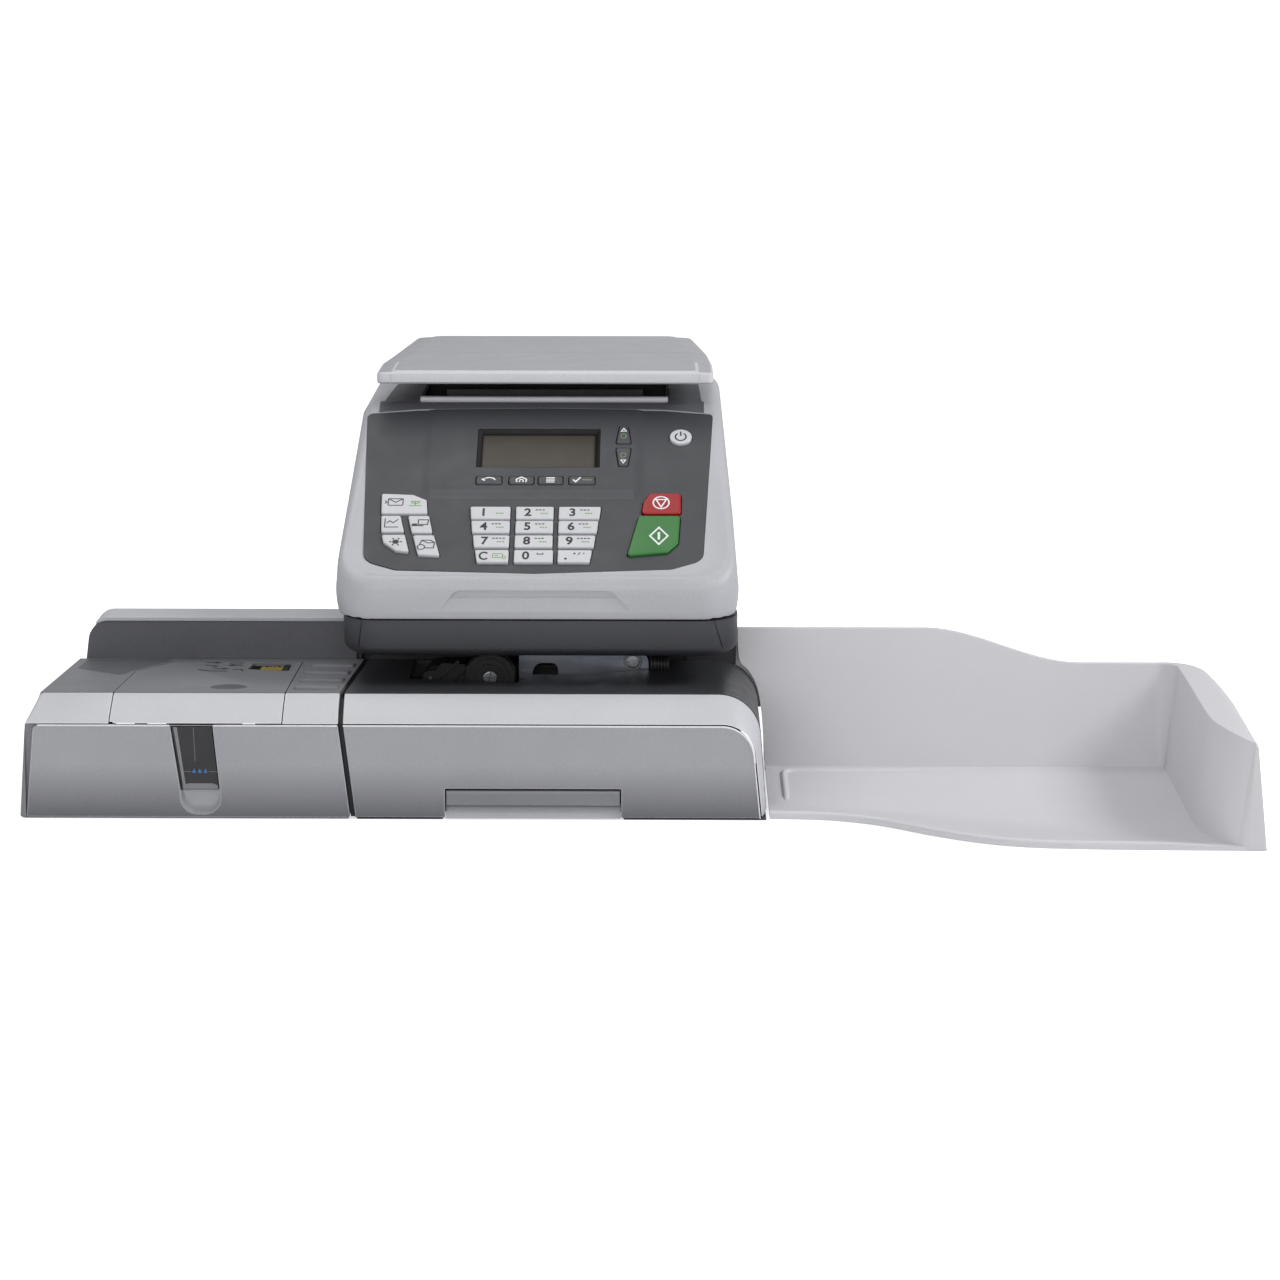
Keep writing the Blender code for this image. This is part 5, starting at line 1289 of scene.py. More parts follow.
def pan_outline(inset, steps):
    """Plan of the pan: as wide as the head in front, narrower beside the registration wall."""
    front, back = HEAD_FRONT_Y + 1.5 + inset, PAN_BACK_Y - inset * 0.5
    corners = [(-171.0 + inset, front), (139.0 - inset, front), (135.6 - inset, -62.0),
               (135.6 - inset, back), (-166.4 + inset, back), (-166.8 + inset, -62.0)]
    corner = HEAD_CORNER - inset
    return rounded(corners, [corner, corner, 40.0, 12.0, 12.0, 40.0], steps)


def make_pan():
    """Dark pan: rolled lower edge, upright wall with two slanted seams, hollow top, hinge ears."""
    loops = []
    roll = 13.0
    for step in range(9):
        turn = 0.5 * math.pi * step / 8
        z = PAN_BOTTOM_Z - 3.0 + 9.0 * (1.0 - math.cos(turn))
        inset = roll * (1.0 - math.sin(turn)) * 0.85
        loops.append((z, inset))
    loops += [(133.0, 0.0), (140.0, 0.0), (PAN_TOP_Z, 0.0)]
    rings = []
    for z, inset in loops:
        rings.append([(x, y, z) for x, y in pan_outline(inset, 12)])
    pan = loft("head_pan", rings, LOOKS["pan"])
    room_plan = plan_loop(PAN_X, PAN_HALF - 5.0, HEAD_FRONT_Y + 7.0, PAN_BACK_Y - 4.0, 24.0, 8.0, 6)
    room = prism("room", room_plan, "Z", PAN_BOTTOM_Z + 4.0, 160.0)
    mouth = block("mouth", (-30.0, 30.0), (-68.0, -34.0), (100.0, 130.0), radius=2.0)
    tower = block("tower", (-158.0, 114.0), (-100.0, 250.0), (90.0, PAN_BOTTOM_Z))
    cut(pan, room, mouth, tower)
    for x in (-118.0, 75.0):
        outline = rounded([(PAN_BACK_Y - 6.0, 124.0), (204.0, 124.0), (210.0, 134.0), (210.0, 155.0),
                           (199.0, 155.0), (PAN_BACK_Y - 6.0, 146.0)], [0.0, 3.0, 2.0, 4.0, 4.0, 0.0], 5)
        join(pan, prism("ear", outline, "X", x, x + 8.0))
    seams = []
    for top_x, foot_x in ((-152.0, -157.0), (117.5, 128.0)):
        half = 0.45
        ring = [(top_x - half, 150.0), (foot_x - half, 114.0), (foot_x + half, 114.0),
                (top_x + half, 150.0)]
        seams.append(prism("seam", ring, "Y", -160.0, -116.0))
    bore = prism("bore", disc(HINGE, HINGE_BORE, 24), "X", -140.0, 100.0)
    again = prism("again", room_plan, "Z", PAN_BOTTOM_Z + 4.0, 160.0)
    cut(pan, bore, again)
    inner_plan = pan_outline(0.8, 12)
    core = prism("core", inner_plan, "Z", 100.0, 160.0)
    lines = []
    for seam in seams:
        copy = core.copy()
        copy.data = core.data.copy()
        bpy.context.scene.collection.objects.link(copy)
        lines.append(cut(seam, copy))
    bpy.data.objects.remove(core, do_unlink=True)
    cut(pan, *lines)
    finish(pan, "base", 0.3, 2, 40.0, stands_for=["head_base"])


def make_print_unit():
    low, high = lowest("print_carriage"), highest("print_carriage")
    outline = rounded(rectangle((low.x, high.x), (low.y, high.y)), 4.0, 6)
    cradle = prism("carriage_cradle", outline, "Z", low.z, high.z, LOOKS["black"])
    tools = [prism("bore", disc((-34.0, 142.0), 4.4, 24), "Y", low.y - 5.0, high.y + 5.0),
             block("pocket", (-22.5, 22.5), (-70.6, 10.6), (126.0, 180.0), radius=1.0),
             block("gate", (-12.0, 12.0), (-62.0, -40.0), (110.0, 140.0))]
    for step in range(5):
        y = -62.0 + 16.0 * step
        tools.append(block("window", (20.0, 30.0), (y, y + 9.0), (131.0, 155.0)))
    cut(cradle, *tools)
    finish(cradle, "print_carriage", 0.6, stands_for=["print_carriage"])

    side = rounded([(-70.0, 126.6), (10.0, 126.6), (10.0, 176.0), (-30.0, 176.0), (-32.0, 182.0),
                    (-50.0, 182.0), (-52.0, 170.0), (-70.0, 164.0)],
                    [1.5, 1.5, 3.0, 1.0, 2.0, 2.0, 1.0, 3.0], 4)
    body = prism("cartridge_body", side, "X", -22.0, 22.0, LOOKS["case"])
    join(body, block("nozzle", (-11.0, 11.0), (-61.0, -41.0), (121.6, 130.0), radius=1.5))
    grips = []
    for step in range(5):
        y = -48.5 + 3.6 * step
        grips.append(block("grip", (-16.0, 16.0), (y, y + 1.4), (181.2, 184.0)))
    grips.append(block("recess", (-17.0, 17.0), (-22.0, 4.0), (175.3, 178.0), radius=2.0))
    cut(body, *grips)
    finish(body, "ink_cartridge", 0.5, stands_for=["ink_cartridge"])
    label = block("cartridge_label", (-15.5, 15.5), (-20.5, 2.5), (175.25, 175.55), LOOKS["cap"], 1.5)
    finish(label, "ink_cartridge", 0.08, 1)


def make_steel_parts():
    """CAD pieces whose shape is already right: they get their metal and broken edges."""
    for node in ("carriage_rail", "hinge_pin", "load_cell"):
        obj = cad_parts[node]
        obj.data.materials.clear()
        obj.data.materials.append(LOOKS["steel"])
        change = obj.modifiers.new("edges", "BEVEL")
        change.width = 0.4 * MM
        change.segments = 2
        change.limit_method = "ANGLE"
        change.angle_limit = math.radians(40.0)
    for index, x in enumerate((-51.0, -40.0)):
        head = turned("cell_screw_%d" % index, [(0.0, 3.4), (1.6, 3.4), (2.4, 2.9), (2.4, 1.6), (0.8, 1.5)],
                      (x, 147.5, 306.3), "Z", LOOKS["steel"], 24)
        finish(head, "head")


# ---------------------------------------------------------------- base module

def slotted_screw(name, centre, radius, body, tilt):
    """Cheese-head screw that faces the operator; its slot is turned by the tilt, in degrees."""
    reach = 1.6
    profile = [(0.0, radius * 0.8), (0.0, radius), (-reach * 0.7, radius), (-reach * 0.95, radius * 0.93),
               (-reach, radius * 0.84)]
    head = turned(name, profile, centre, "Y", LOOKS["steel"], 40)
    half = radius * 0.12
    long = radius * 1.2
    turn = math.radians(tilt)
    corners = []
    for u, v in rectangle((-long, long), (-half, half)):
        corners.append((u * math.sin(turn) + v * math.cos(turn), u * math.cos(turn) - v * math.sin(turn)))
    cut(head, prism("slot", [(centre[0] + u, centre[2] + v) for u, v in corners], "Y",
                    centre[1] - reach - 1.0, centre[1] - reach * 0.45))
    return finish(head, body, 0.12, 2, 40.0)


def face_bead(name, outer, inner):
    """Slim light bead, 0.4 mm proud, between two lines of the front face: a painted highlight on its top
    edge.
    """
    loops = [[(x, face_y(z) + 0.8, z), (x, face_y(z) - 0.4, z), (u, face_y(w) - 0.4, w),
              (u, face_y(w) + 0.8, w)]
             for (x, z), (u, w) in zip(outer, inner)]
    bead = loft(name, loops, LOOKS["bead"])
    finish(bead, "base", 0.15, 1, 50.0)


def make_base_fascia():
    foot = lowest("base_fascia").z
    top = FACE_TOP_Z - 0.9
    corners = [(seam_x(FRONT_Y, foot), foot), (BASE_FOOT_X - 0.9, foot), (CORNER_X - 0.9, top),
               (seam_x(FRONT_Y, top), top)]
    outline = rounded(corners, [1.0, 0.0, 25.0, 1.5], 16)
    loops = [[(x, face_y(z) + depth, z) for x, z in outline] for depth in (0.0, SHELL)]
    fascia = loft("base_front_panel", loops, LOOKS["fascia"])
    opening = prism("opening", rounded(rectangle((HANDLE_LEFT_X, HANDLE_RIGHT_X), (-5.0, HANDLE_TOP_Z)),
                                       [0.0, 0.0, 1.2, 1.2], 5), "Y", *FACE_CUT)
    cut(fascia, opening)
    finish(fascia, "base", 1.4, 3, stands_for=["base_fascia"])
    # Dark backing sheet behind the face: painted shade seen through the handle opening and round the face's
    # edges.
    shadow = rounded(grown(corners, 0.5), [1.0, 0.0, 25.4, 1.5], 16)
    loops = [[(x, face_y(z) + SHELL + depth, z) for x, z in shadow] for depth in (-1.2, 0.2)]
    back = loft("base_front_shadow", loops, LOOKS["gap"])
    cut(back, prism("opening", rectangle((HANDLE_LEFT_X - 0.5, HANDLE_RIGHT_X + 0.5),
                                         (-5.0, HANDLE_TOP_Z + 0.5)), "Y",
                    *FACE_CUT))
    finish(back, "base", 0.2, 1)
    face_bead("base_face_bead", end_curve(BEAD_TOP_Z, CORNER_X - 0.4, BASE_FOOT_X - 0.4, 25.0, foot,
                                          FRONT_Y, 16),
              end_curve(BEAD_TOP_Z - BEAD_WIDTH, CORNER_X - 1.3, BASE_FOOT_X - 1.3, 24.3, foot, FRONT_Y,
                        16))


def make_release_handle():
    y, z = -197.0, highest("release_handle").z - 2.0
    low = lowest("release_handle")
    section = rounded([(y - 1.9, z - 0.6), (y - 1.6, z + 0.9), (y + 1.0, z + 1.0), (y + 12.0, z + 0.8),
                       (y + 12.0, z - 2.0), (y + 2.0, z - 2.0), (y + 1.6, low.z), (y - 1.3, low.z),
                       (y - 1.0, z - 1.6), (y - 1.9, z - 1.2)],
                      [0.6, 0.9, 0.8, 0.5, 0.5, 0.5, 0.9, 0.7, 0.4, 0.4], 5)
    flap = prism("release_flap", section, "X", HANDLE_LEFT_X + 1.0, HANDLE_RIGHT_X - 1.0,
                 LOOKS["fascia_flat"])
    finish(flap, "release_handle", 0.3, 2, stands_for=["release_handle"])
    grips = []
    for index in range(22):
        x = HANDLE_LEFT_X + 8.0 + index * (HANDLE_RIGHT_X - HANDLE_LEFT_X - 16.0) / 21.0
        grips.append(prism("ridge", disc((x, y + 1.7), 0.7, 12), "Z", low.z + 1.5, low.z + 8.0,
                           LOOKS["fascia_flat"]))
    ridges = merged("release_flap_ridges", grips)
    finish(ridges, "release_handle")
    curve = spline([(-199.5, 0.7), (-196.6, 4.6), (-193.4, 8.2), (-190.4, 9.9)], 6)
    outline = [tuple(point) for point in curve] + [(-188.6, 9.9), (-188.6, 0.4), (-199.5, 0.4)]
    scoop = prism("handle_scoop", outline, "X", HANDLE_LEFT_X + 0.4, HANDLE_RIGHT_X - 0.4, LOOKS["scoop"])
    finish(scoop, "base", angle=40.0)


def make_base_trim():
    """Light band with a faint crown, from the face up to the deck and down the right end."""
    seam = BAND_SEAM
    front_y = face_y(FACE_TOP_Z)
    foot = lowest("base_trim").z
    front = end_curve(FACE_TOP_Z + seam, CORNER_X + seam, BASE_FOOT_X + seam, 25.0 + seam, foot, front_y,
                      20)
    back = end_curve(DECK_Z, CORNER_X + 5.0, DECK_RIGHT_X, 33.0, foot, BEVEL_Y, 20)
    inner_back = end_curve(DECK_Z - 2.5, CORNER_X + 2.4, DECK_RIGHT_X - 2.6, 30.5, foot, BEVEL_Y, 20)
    inner_front = end_curve(FACE_TOP_Z + seam - 0.4, CORNER_X + 0.1, BASE_FOOT_X + 0.1, 25.0, foot, front_y,
                            20)
    low_edge = [Vector((x, front_y, z)) for x, z in front]
    high_edge = [Vector((x, BEVEL_Y, z)) for x, z in back]
    count = len(low_edge)
    loops = []
    for index in range(count):
        ahead = low_edge[min(index + 1, count - 1)] - low_edge[max(index - 1, 0)]
        across = high_edge[index] - low_edge[index]
        out = ahead.cross(across).normalized()
        if out.z < -0.2:
            out = -out
        ring = []
        for step in range(9):
            share = step / 8
            crown = 0.9 * 4.0 * share * (1.0 - share) - 0.5 * share ** 6
            ring.append(tuple(low_edge[index].lerp(high_edge[index], share) + out * crown))
        ring.append((inner_back[index][0], BEVEL_Y, inner_back[index][1]))
        ring.append((inner_front[index][0], front_y + 3.0, inner_front[index][1]))
        loops.append(ring)
    band = loft("base_band", loops, LOOKS["band"])
    finish(band, "base", 0.9, 3, 38.0, stands_for=["base_trim"])


def make_base_deck():
    loops = []
    foot = lowest("base_deck").z
    for step in range(9):
        y = BEVEL_Y + 0.5 + (DECK_BACK_Y + 0.5 - BEVEL_Y) * step / 8
        top = deck_z(y)
        outer = end_curve(top, CORNER_X + 5.0, DECK_RIGHT_X, 33.0, foot, y, 20)
        inner = end_curve(top - SHELL, CORNER_X + 2.0, DECK_RIGHT_X - SHELL, 30.0, foot, y, 20)
        loops.append([(x, y, z) for x, z in outer + inner[::-1]])
    deck = loft("mail_deck", loops, LOOKS["deck"])
    plan = [(-120.0, -114.0), (-48.0, -128.0), (-34.0, -127.7), (-29.0, -104.0), (54.0, -81.0),
            (84.0, -76.0), (84.0, -37.0), (-120.0, -37.0)]
    opening = prism("opening", rounded(plan, [2.0, 1.0, 2.0, 2.0, 3.0, 3.0, 2.0, 2.0], 5), "Z", 60.0, 110.0)
    dots = []
    for index in range(3):
        x = -112.0 + 8.0 * index
        dots.append(prism("dot", disc((x, -133.0), 1.1, 16), "Z", deck_z(-133.0) - 0.5,
                          deck_z(-133.0) + 4.0))
    cut(deck, opening, *dots)
    finish(deck, "base", 0.6, 3, 38.0, stands_for=["base_deck"])


def make_guide_plate():
    low, high = lowest("guide_plate"), highest("guide_plate")
    outline = rounded([(low.x, low.z), (high.x, low.z), (high.x, high.z), (low.x, high.z)],
                      [0.5, 0.5, 9.0, 6.0], 8)
    plate = prism("guide_plate_sheet", outline, "Y", low.y, low.y + 1.5, LOOKS["plate"])
    foot = block("foot", (low.x, high.x), (low.y + 0.5, high.y), (low.z, low.z + 1.7))
    join(plate, foot)
    sight = rounded([(-24.6, 84.0), (-3.4, 84.0), (-4.4, 93.6), (-22.4, 93.6)], [0.0, 0.0, 5.4, 7.6], 8)
    cut(plate, prism("sight", sight, "Y", low.y - 5.0, low.y + 8.0))
    finish(plate, "base", 0.3, 2, stands_for=["guide_plate"])
    slotted_screw("guide_plate_screw", (55.5, low.y - 0.1, 95.0), 5.4, "base", tilt=78.0)
    washer = turned("guide_plate_washer", [(0.0, 7.0), (-0.5, 7.2), (-0.9, 6.8), (-0.9, 3.0), (0.0, 3.0)],
                    (55.5, low.y, 95.0), "Y", LOOKS["zinc"], 40)
    finish(washer, "base")


def make_belt():
    """Endless belt with shallow cleats, round both rollers."""
    y_low, y_high = lowest("transport_belt").y, highest("transport_belt").y
    drive = (lowest("drive_roller") + highest("drive_roller")) / 2
    idler = (lowest("idler_roller") + highest("idler_roller")) / 2
    inner = 12.0 + GAP
    path = []
    arc_steps = 18
    for centre, start in ((drive, -90.0), (idler, 90.0)):
        for step in range(arc_steps + 1):
            turn = math.radians(start + 180.0 * step / arc_steps)
            path.append((centre.x, centre.z, turn))
    spread = []
    for index, (x, z, turn) in enumerate(path):
        spread.append((x, z, turn))
        after = path[(index + 1) % len(path)]
        gap = math.hypot(after[0] - x, after[1] - z)
        if gap > 20.0:
            pieces = 80
            for step in range(1, pieces):
                share = step / pieces
                spread.append((x + (after[0] - x) * share, z + (after[1] - z) * share, turn))
    loops = []
    for index, (x, z, turn) in enumerate(spread):
        outer = inner + (2.0 if index % 4 < 2 else 1.55)
        ring = []
        for radius, y in ((inner, y_low), (outer, y_low), (outer, y_high), (inner, y_high)):
            ring.append((x + radius * math.cos(turn), y, z + radius * math.sin(turn)))
        loops.append(ring)
    belt = loft("belt_band", loops, LOOKS["rubber"], closed=True)
    finish(belt, "transport", angle=25.0, stands_for=["transport_belt"])


def make_rollers():
    for name in ("drive_roller", "idler_roller"):
        low, high = lowest(name), highest(name)
        centre = (low + high) / 2
        reach = 12.0
        half = (high.y - low.y) / 2 - 3.0
        profile = [(-half - 3.0, 3.4), (-half - 2.6, 4.0), (-half, 4.0), (-half, reach - 0.8),
                   (-half + 0.8, reach)]
        for step in range(5):
            y = -half + 4.0 + step * (2.0 * half - 8.0) / 4.0
            profile += [(y - 0.8, reach), (y - 0.4, reach - 0.5), (y + 0.4, reach - 0.5), (y + 0.8, reach)]
        profile += [(half - 0.8, reach), (half, reach - 0.8), (half, 4.0), (half + 2.6, 4.0),
                    (half + 3.0, 3.4)]
        roller = turned(name + "_turned", profile, centre, "Y", LOOKS["rubber"], 48)
        finish(roller, name, angle=35.0, stands_for=[name])
        flats = block("flat", (centre.x - 1.0, centre.x + 1.0), (low.y - 0.4, low.y + 0.4),
                      (centre.z - 3.0, centre.z + 3.0), LOOKS["steel"], 0.3)
        flats.name = name + "_key"
        finish(flats, name, 0.1, 1)


def make_pressure_roller():
    low, high = lowest("pressure_roller"), highest("pressure_roller")
    centre = (low + high) / 2
    front = -(high.y - low.y) / 2 + 3.0
    back = -front
    reach = (high.x - low.x) / 2
    profile = [(back + 3.0, 4.0), (back, 4.0), (back, reach - 1.0), (back - 0.8, reach)]
    for step in range(4):
        y = back - 2.0 - step * 2.6
        profile += [(y, reach), (y - 0.4, reach - 0.6), (y - 0.9, reach - 0.6), (y - 1.3, reach)]
    profile += [(front + 0.8, reach), (front, reach - 0.9), (front, reach - 2.6),
                (front + 0.9, reach - 2.9), (front + 0.9, reach - 4.6), (front, reach - 4.9),
                (front, reach - 7.2), (front + 1.0, reach - 7.5), (front + 1.0, reach - 9.4),
                (front - 0.2, reach - 9.8), (front - 0.2, 7.4), (front - 1.0, 7.0), (front - 1.0, 3.0)]
    wheel = turned("pressure_wheel", profile, centre, "Y", LOOKS["black"], 64)
    spokes = []
    for index in range(6):
        turn = math.radians(60.0 * index + 15.0)
        spot = (centre.x + 11.2 * math.cos(turn), centre.z + 11.2 * math.sin(turn))
        spokes.append(prism("pocket", disc(spot, 1.1, 14), "Y", centre.y + front - 2.0,
                            centre.y + front + 1.6))
    cut(wheel, *spokes)
    finish(wheel, "pressure_roller", angle=35.0, stands_for=["pressure_roller"])
    slotted_screw("pressure_wheel_screw", (centre.x, centre.y + front - 1.0, centre.z), 5.6,
                  "pressure_roller", tilt=8.0)


def make_roller_arm():
    """Swing arm with an edge flange and diagonal stiffening ribs."""
    low, high = lowest("roller_arm"), highest("roller_arm")
    px, pz = -104.0, 82.0                         # swing pin
    cx, cz = -57.0, 86.0                          # hub of the pressure roller
    corners = [(px + 6.0, pz - 7.0), (cx - 4.0, cz - 9.0), (cx + 6.0, cz - 7.0), (cx + 9.0, cz),
               (cx + 6.0, cz + 8.0), (cx - 4.0, cz + 10.0), (px - 6.0, pz + 5.0), (px - 7.5, pz),
               (px - 5.0, pz - 6.0)]
    outline = rounded(corners, [2.0, 3.0, 4.0, 6.0, 4.0, 6.0, 3.0, 4.0, 3.0], 5)
    arm = prism("swing_arm", outline, "Y", low.y, high.y, LOOKS["black"])
    cut(arm, prism("bore", disc((px, pz), 3.0, 24), "Y", -90.0, -60.0),
        prism("hub", disc((cx, cz), 4.5, 24), "Y", -90.0, -60.0))
    ribs = []
    for start, end in (((px + 4.0, pz + 1.0), (px + 22.0, pz + 15.5)),
                       ((px + 13.0, pz - 2.0), (px + 33.0, pz + 14.5)),
                       ((px + 22.0, pz - 4.0), (px + 29.0, pz + 3.0))):
        way = (Vector(end) - Vector(start)).normalized()
        side = Vector((-way.y, way.x)) * 1.1
        ring = [tuple(Vector(start) - side), tuple(Vector(end) - side), tuple(Vector(end) + side),
                tuple(Vector(start) + side)]
        ribs.append(prism("rib", ring, "Y", low.y - 6.5, low.y + 1.0))
    plate = rounded([(px - 4.0, pz - 3.0), (px + 31.0, pz + 1.0), (px + 27.0, pz + 12.0),
                     (px + 8.0, pz + 13.0)],
                    [3.0, 4.0, 4.0, 3.0], 4)
    ribs.append(prism("web", plate, "Y", low.y - 2.2, low.y + 1.0))
    join(arm, *ribs)
    finish(arm, "roller_arm", 0.35, 2, stands_for=["roller_arm"])
    pin = turned("swing_arm_pin", [(-4.0, 2.6), (-3.6, 2.9), (3.6, 2.9), (4.0, 2.6)], (px, -76.5, pz), "Y",
                 LOOKS["steel"], 24)
    finish(pin, "base")


def make_feed_details():
    """Ribbed take-off roller at the right end of the mechanism and the dark bay floor."""
    profile = []
    for step in range(6):
        x = step * 2.6
        profile += [(x, 6.2), (x + 0.5, 8.4), (x + 1.5, 8.4), (x + 2.0, 6.2)]
    stack = turned("takeoff_roller", profile, (69.6, -73.0, 93.4), "X", LOOKS["black"], 40)
    finish(stack, "base", angle=30.0)
    floor = block("mechanism_floor", (-143.0, 134.0), (-187.0, -36.0), (4.2, 5.6), LOOKS["case"], 6.0)
    ribs = [block("rib", (x, x + 1.6), (-180.0, -95.0), (5.0, 9.0)) for x in (-120.0, -60.0, 0.0, 40.0)]
    motor_low, motor_high = lowest("drive_motor"), highest("drive_motor")
    plate_low, plate_high = lowest("guide_plate"), highest("guide_plate")
    room = block("room", (motor_low.x - 3.0, motor_high.x + 3.0), (motor_low.y - 2.0, motor_high.y + 2.0),
                 (4.0, 12.0))
    seat = block("seat", (plate_low.x - 1.0, plate_high.x + 1.0), (plate_low.y - 1.0, plate_high.y + 1.0),
                 (4.0, 12.0))
    join(floor, *ribs)
    cut(floor, room, seat)
    finish(floor, "base", 0.3, 1)


def make_motor():
    low, high = lowest("drive_motor"), highest("drive_motor")
    centre = (low + high) / 2
    span = (high.x - low.x) / 2
    profile = [(-span, 4.4), (-span + 0.6, 5.0), (-span + 8.0, 5.0), (-span + 8.0, 16.6),
               (-span + 9.4, 18.0), (-span + 14.0, 18.0), (-span + 14.4, 17.4), (-span + 16.0, 17.4),
               (-span + 16.4, 18.0), (span - 10.0, 18.0), (span - 9.6, 17.5), (span - 5.4, 17.5),
               (span - 4.0, 16.2), (span - 4.0, 9.0), (span - 0.6, 9.0), (span, 8.4)]
    motor = turned("motor_can", profile, centre, "X", LOOKS["zinc"], 56)
    finish(motor, "base", angle=30.0, stands_for=["drive_motor"])


def make_chassis():
    """Base tub and rear tower, with vents and a socket field on its back."""
    low, high = lowest("base_case"), highest("base_case")
    tower_right = 112.0
    tower_plan = rounded(rectangle((low.x, tower_right), (-31.0, high.y)), [0.0, 0.0, 10.0, 10.0], 8)
    case = prism("base_chassis", tower_plan, "Z", 0.0, high.z, LOOKS["case"])
    front = prism("front", rounded(rectangle((-150.0, 141.0), (0.0, 72.0)), [0.0, 0.0, 24.0, 0.0], 10), "Y",
                  -193.5, -30.0)
    skirt = block("skirt", (-154.0, DECK_RIGHT_X - 0.8), (FRONT_Y + 0.6, -32.0), (0.0, 1.0))
    join(case, front, skirt)
    tools = [block("front_room", (-146.0, 137.0), (-190.0, -34.0), (4.0, 90.0)),
             block("tower_room", (low.x + 4.0, tower_right - 4.0), (-27.0, high.y - 4.0), (4.0, 130.0)),
             block("notch", (HANDLE_LEFT_X - 2.0, HANDLE_RIGHT_X + 2.0), (-205.0, -178.0), (-5.0, 28.0)),
             prism("socket_field", rounded(rectangle((-120.0, 20.0), (14.0, 52.0)), 4.0, 6), "Y",
                   high.y - 1.6, high.y + 5.0)]
    for row in range(5):
        z = 66.0 + 7.0 * row
        for span in ((-110.0, -20.0), (10.0, 90.0)):
            tools.append(slit(span, (z, z + 3.0), 1.4, "Y", high.y - 9.0, high.y + 5.0))
    for row in range(6):
        y = 60.0 + 12.0 * row
        for near, far in ((low.x - 5.0, low.x + 9.0), (tower_right - 9.0, tower_right + 5.0)):
            tools.append(slit((y, y + 4.0), (40.0, 84.0), 1.8, "X", near, far))
    cut(case, *tools)
    finish(case, "base", 0.5, 2, stands_for=["base_case"])
    make_chassis_back(high.y)


def make_chassis_back(back_y):
    """Screws, power inlet and sockets on the rear tower's back."""
    back = back_y - 1.6
    for index, (x, z) in enumerate(((-146.0, 12.0), (-146.0, 106.0), (102.0, 12.0), (102.0, 106.0))):
        screw = turned("rear_screw_%d" % index,
                       [(0.0, 3.2), (0.7, 3.0), (1.0, 2.2), (1.0, 1.2), (0.2, 1.1)], (x, back_y - 0.6, z),
                       "Y", LOOKS["steel"], 24)
        finish(screw, "base")
    outside = [(-108.0, 20.0), (-80.0, 20.0), (-80.0, 36.0), (-85.0, 42.0), (-103.0, 42.0), (-108.0, 36.0)]
    inside = [(-105.0, 23.0), (-83.0, 23.0), (-83.0, 34.5), (-87.0, 39.0), (-101.0, 39.0), (-105.0, 34.5)]
    inlet = prism("power_inlet", rounded(outside, 2.0, 5), "Y", back - 8.0, back + 1.4, LOOKS["gap"])
    cut(inlet, prism("hollow", rounded(inside, 1.5, 5), "Y", back - 6.0, back + 6.0))
    pins = [block("pin", (x, x + 2.0), (back - 7.0, back - 0.6), (27.0, 31.0))
            for x in (-101.0, -95.0, -89.0)]
    join(inlet, *pins)
    finish(inlet, "base", 0.3, 2)
    sockets = ((-66.0, 15.0, 36.0), (-44.0, 15.0, 36.0), (-22.0, 7.0, 35.0), (-8.0, 7.0, 35.0))
    for index, (x, width, z_top) in enumerate(sockets):
        socket = block("rear_socket_%d" % index, (x, x + width), (back - 8.0, back + 0.9), (22.0, z_top),
                       LOOKS["steel"], 0.6)
        cut(socket, block("mouth", (x + 1.0, x + width - 1.0), (back - 6.0, back + 4.0),
                          (23.2, z_top - 1.2)))
        if width < 10.0:
            join(socket, block("tongue", (x + 2.4, x + 4.4), (back - 7.0, back + 0.2), (24.5, z_top - 2.5)))
        finish(socket, "base", 0.2, 2)


def make_bridge():
    """Dark end piece that closes the step between the registration wall and the rear tower."""
    outline = rounded(rectangle((-167.6, -155.0), (-30.0, -7.0)), [0.6, 0.6, 2.0, 2.0], 4)
    bridge = prism("wall_bridge", outline, "Z", 76.0, 116.0, LOOKS["case"])
    cut(bridge, block("slot", (-164.0, -158.0), (-35.0, -20.0), (84.0, 110.0)))
    finish(bridge, "base", 0.4, 2)
    end = block("mail_path_end", (98.0, 138.0), (DECK_BACK_Y - 1.6, DECK_BACK_Y + 1.6),
                (deck_z(DECK_BACK_Y) - 3.0, PAN_BOTTOM_Z + 1.0), LOOKS["case"], 0.5)
    finish(end, "base", 0.3, 2)


def make_feet():
    spots = {"front_left": (-130.0, -175.0), "front_right": (120.0, -175.0), "rear_left": (-130.0, 165.0),
             "rear_right": (90.0, 165.0), "sealer_left": (-385.0, -175.0), "sealer_rear": (-385.0, -30.0)}
    for name, (x, y) in spots.items():
        foot = turned("foot_" + name, [(-0.35, 7.0), (-0.3, 8.6), (0.2, 9.0), (3.4, 9.0), (3.6, 8.4)],
                      (x, y, 0.0), "Z", LOOKS["rubber"], 32)
        finish(foot, "base")


# ---------------------------------------------------------------- registration wall

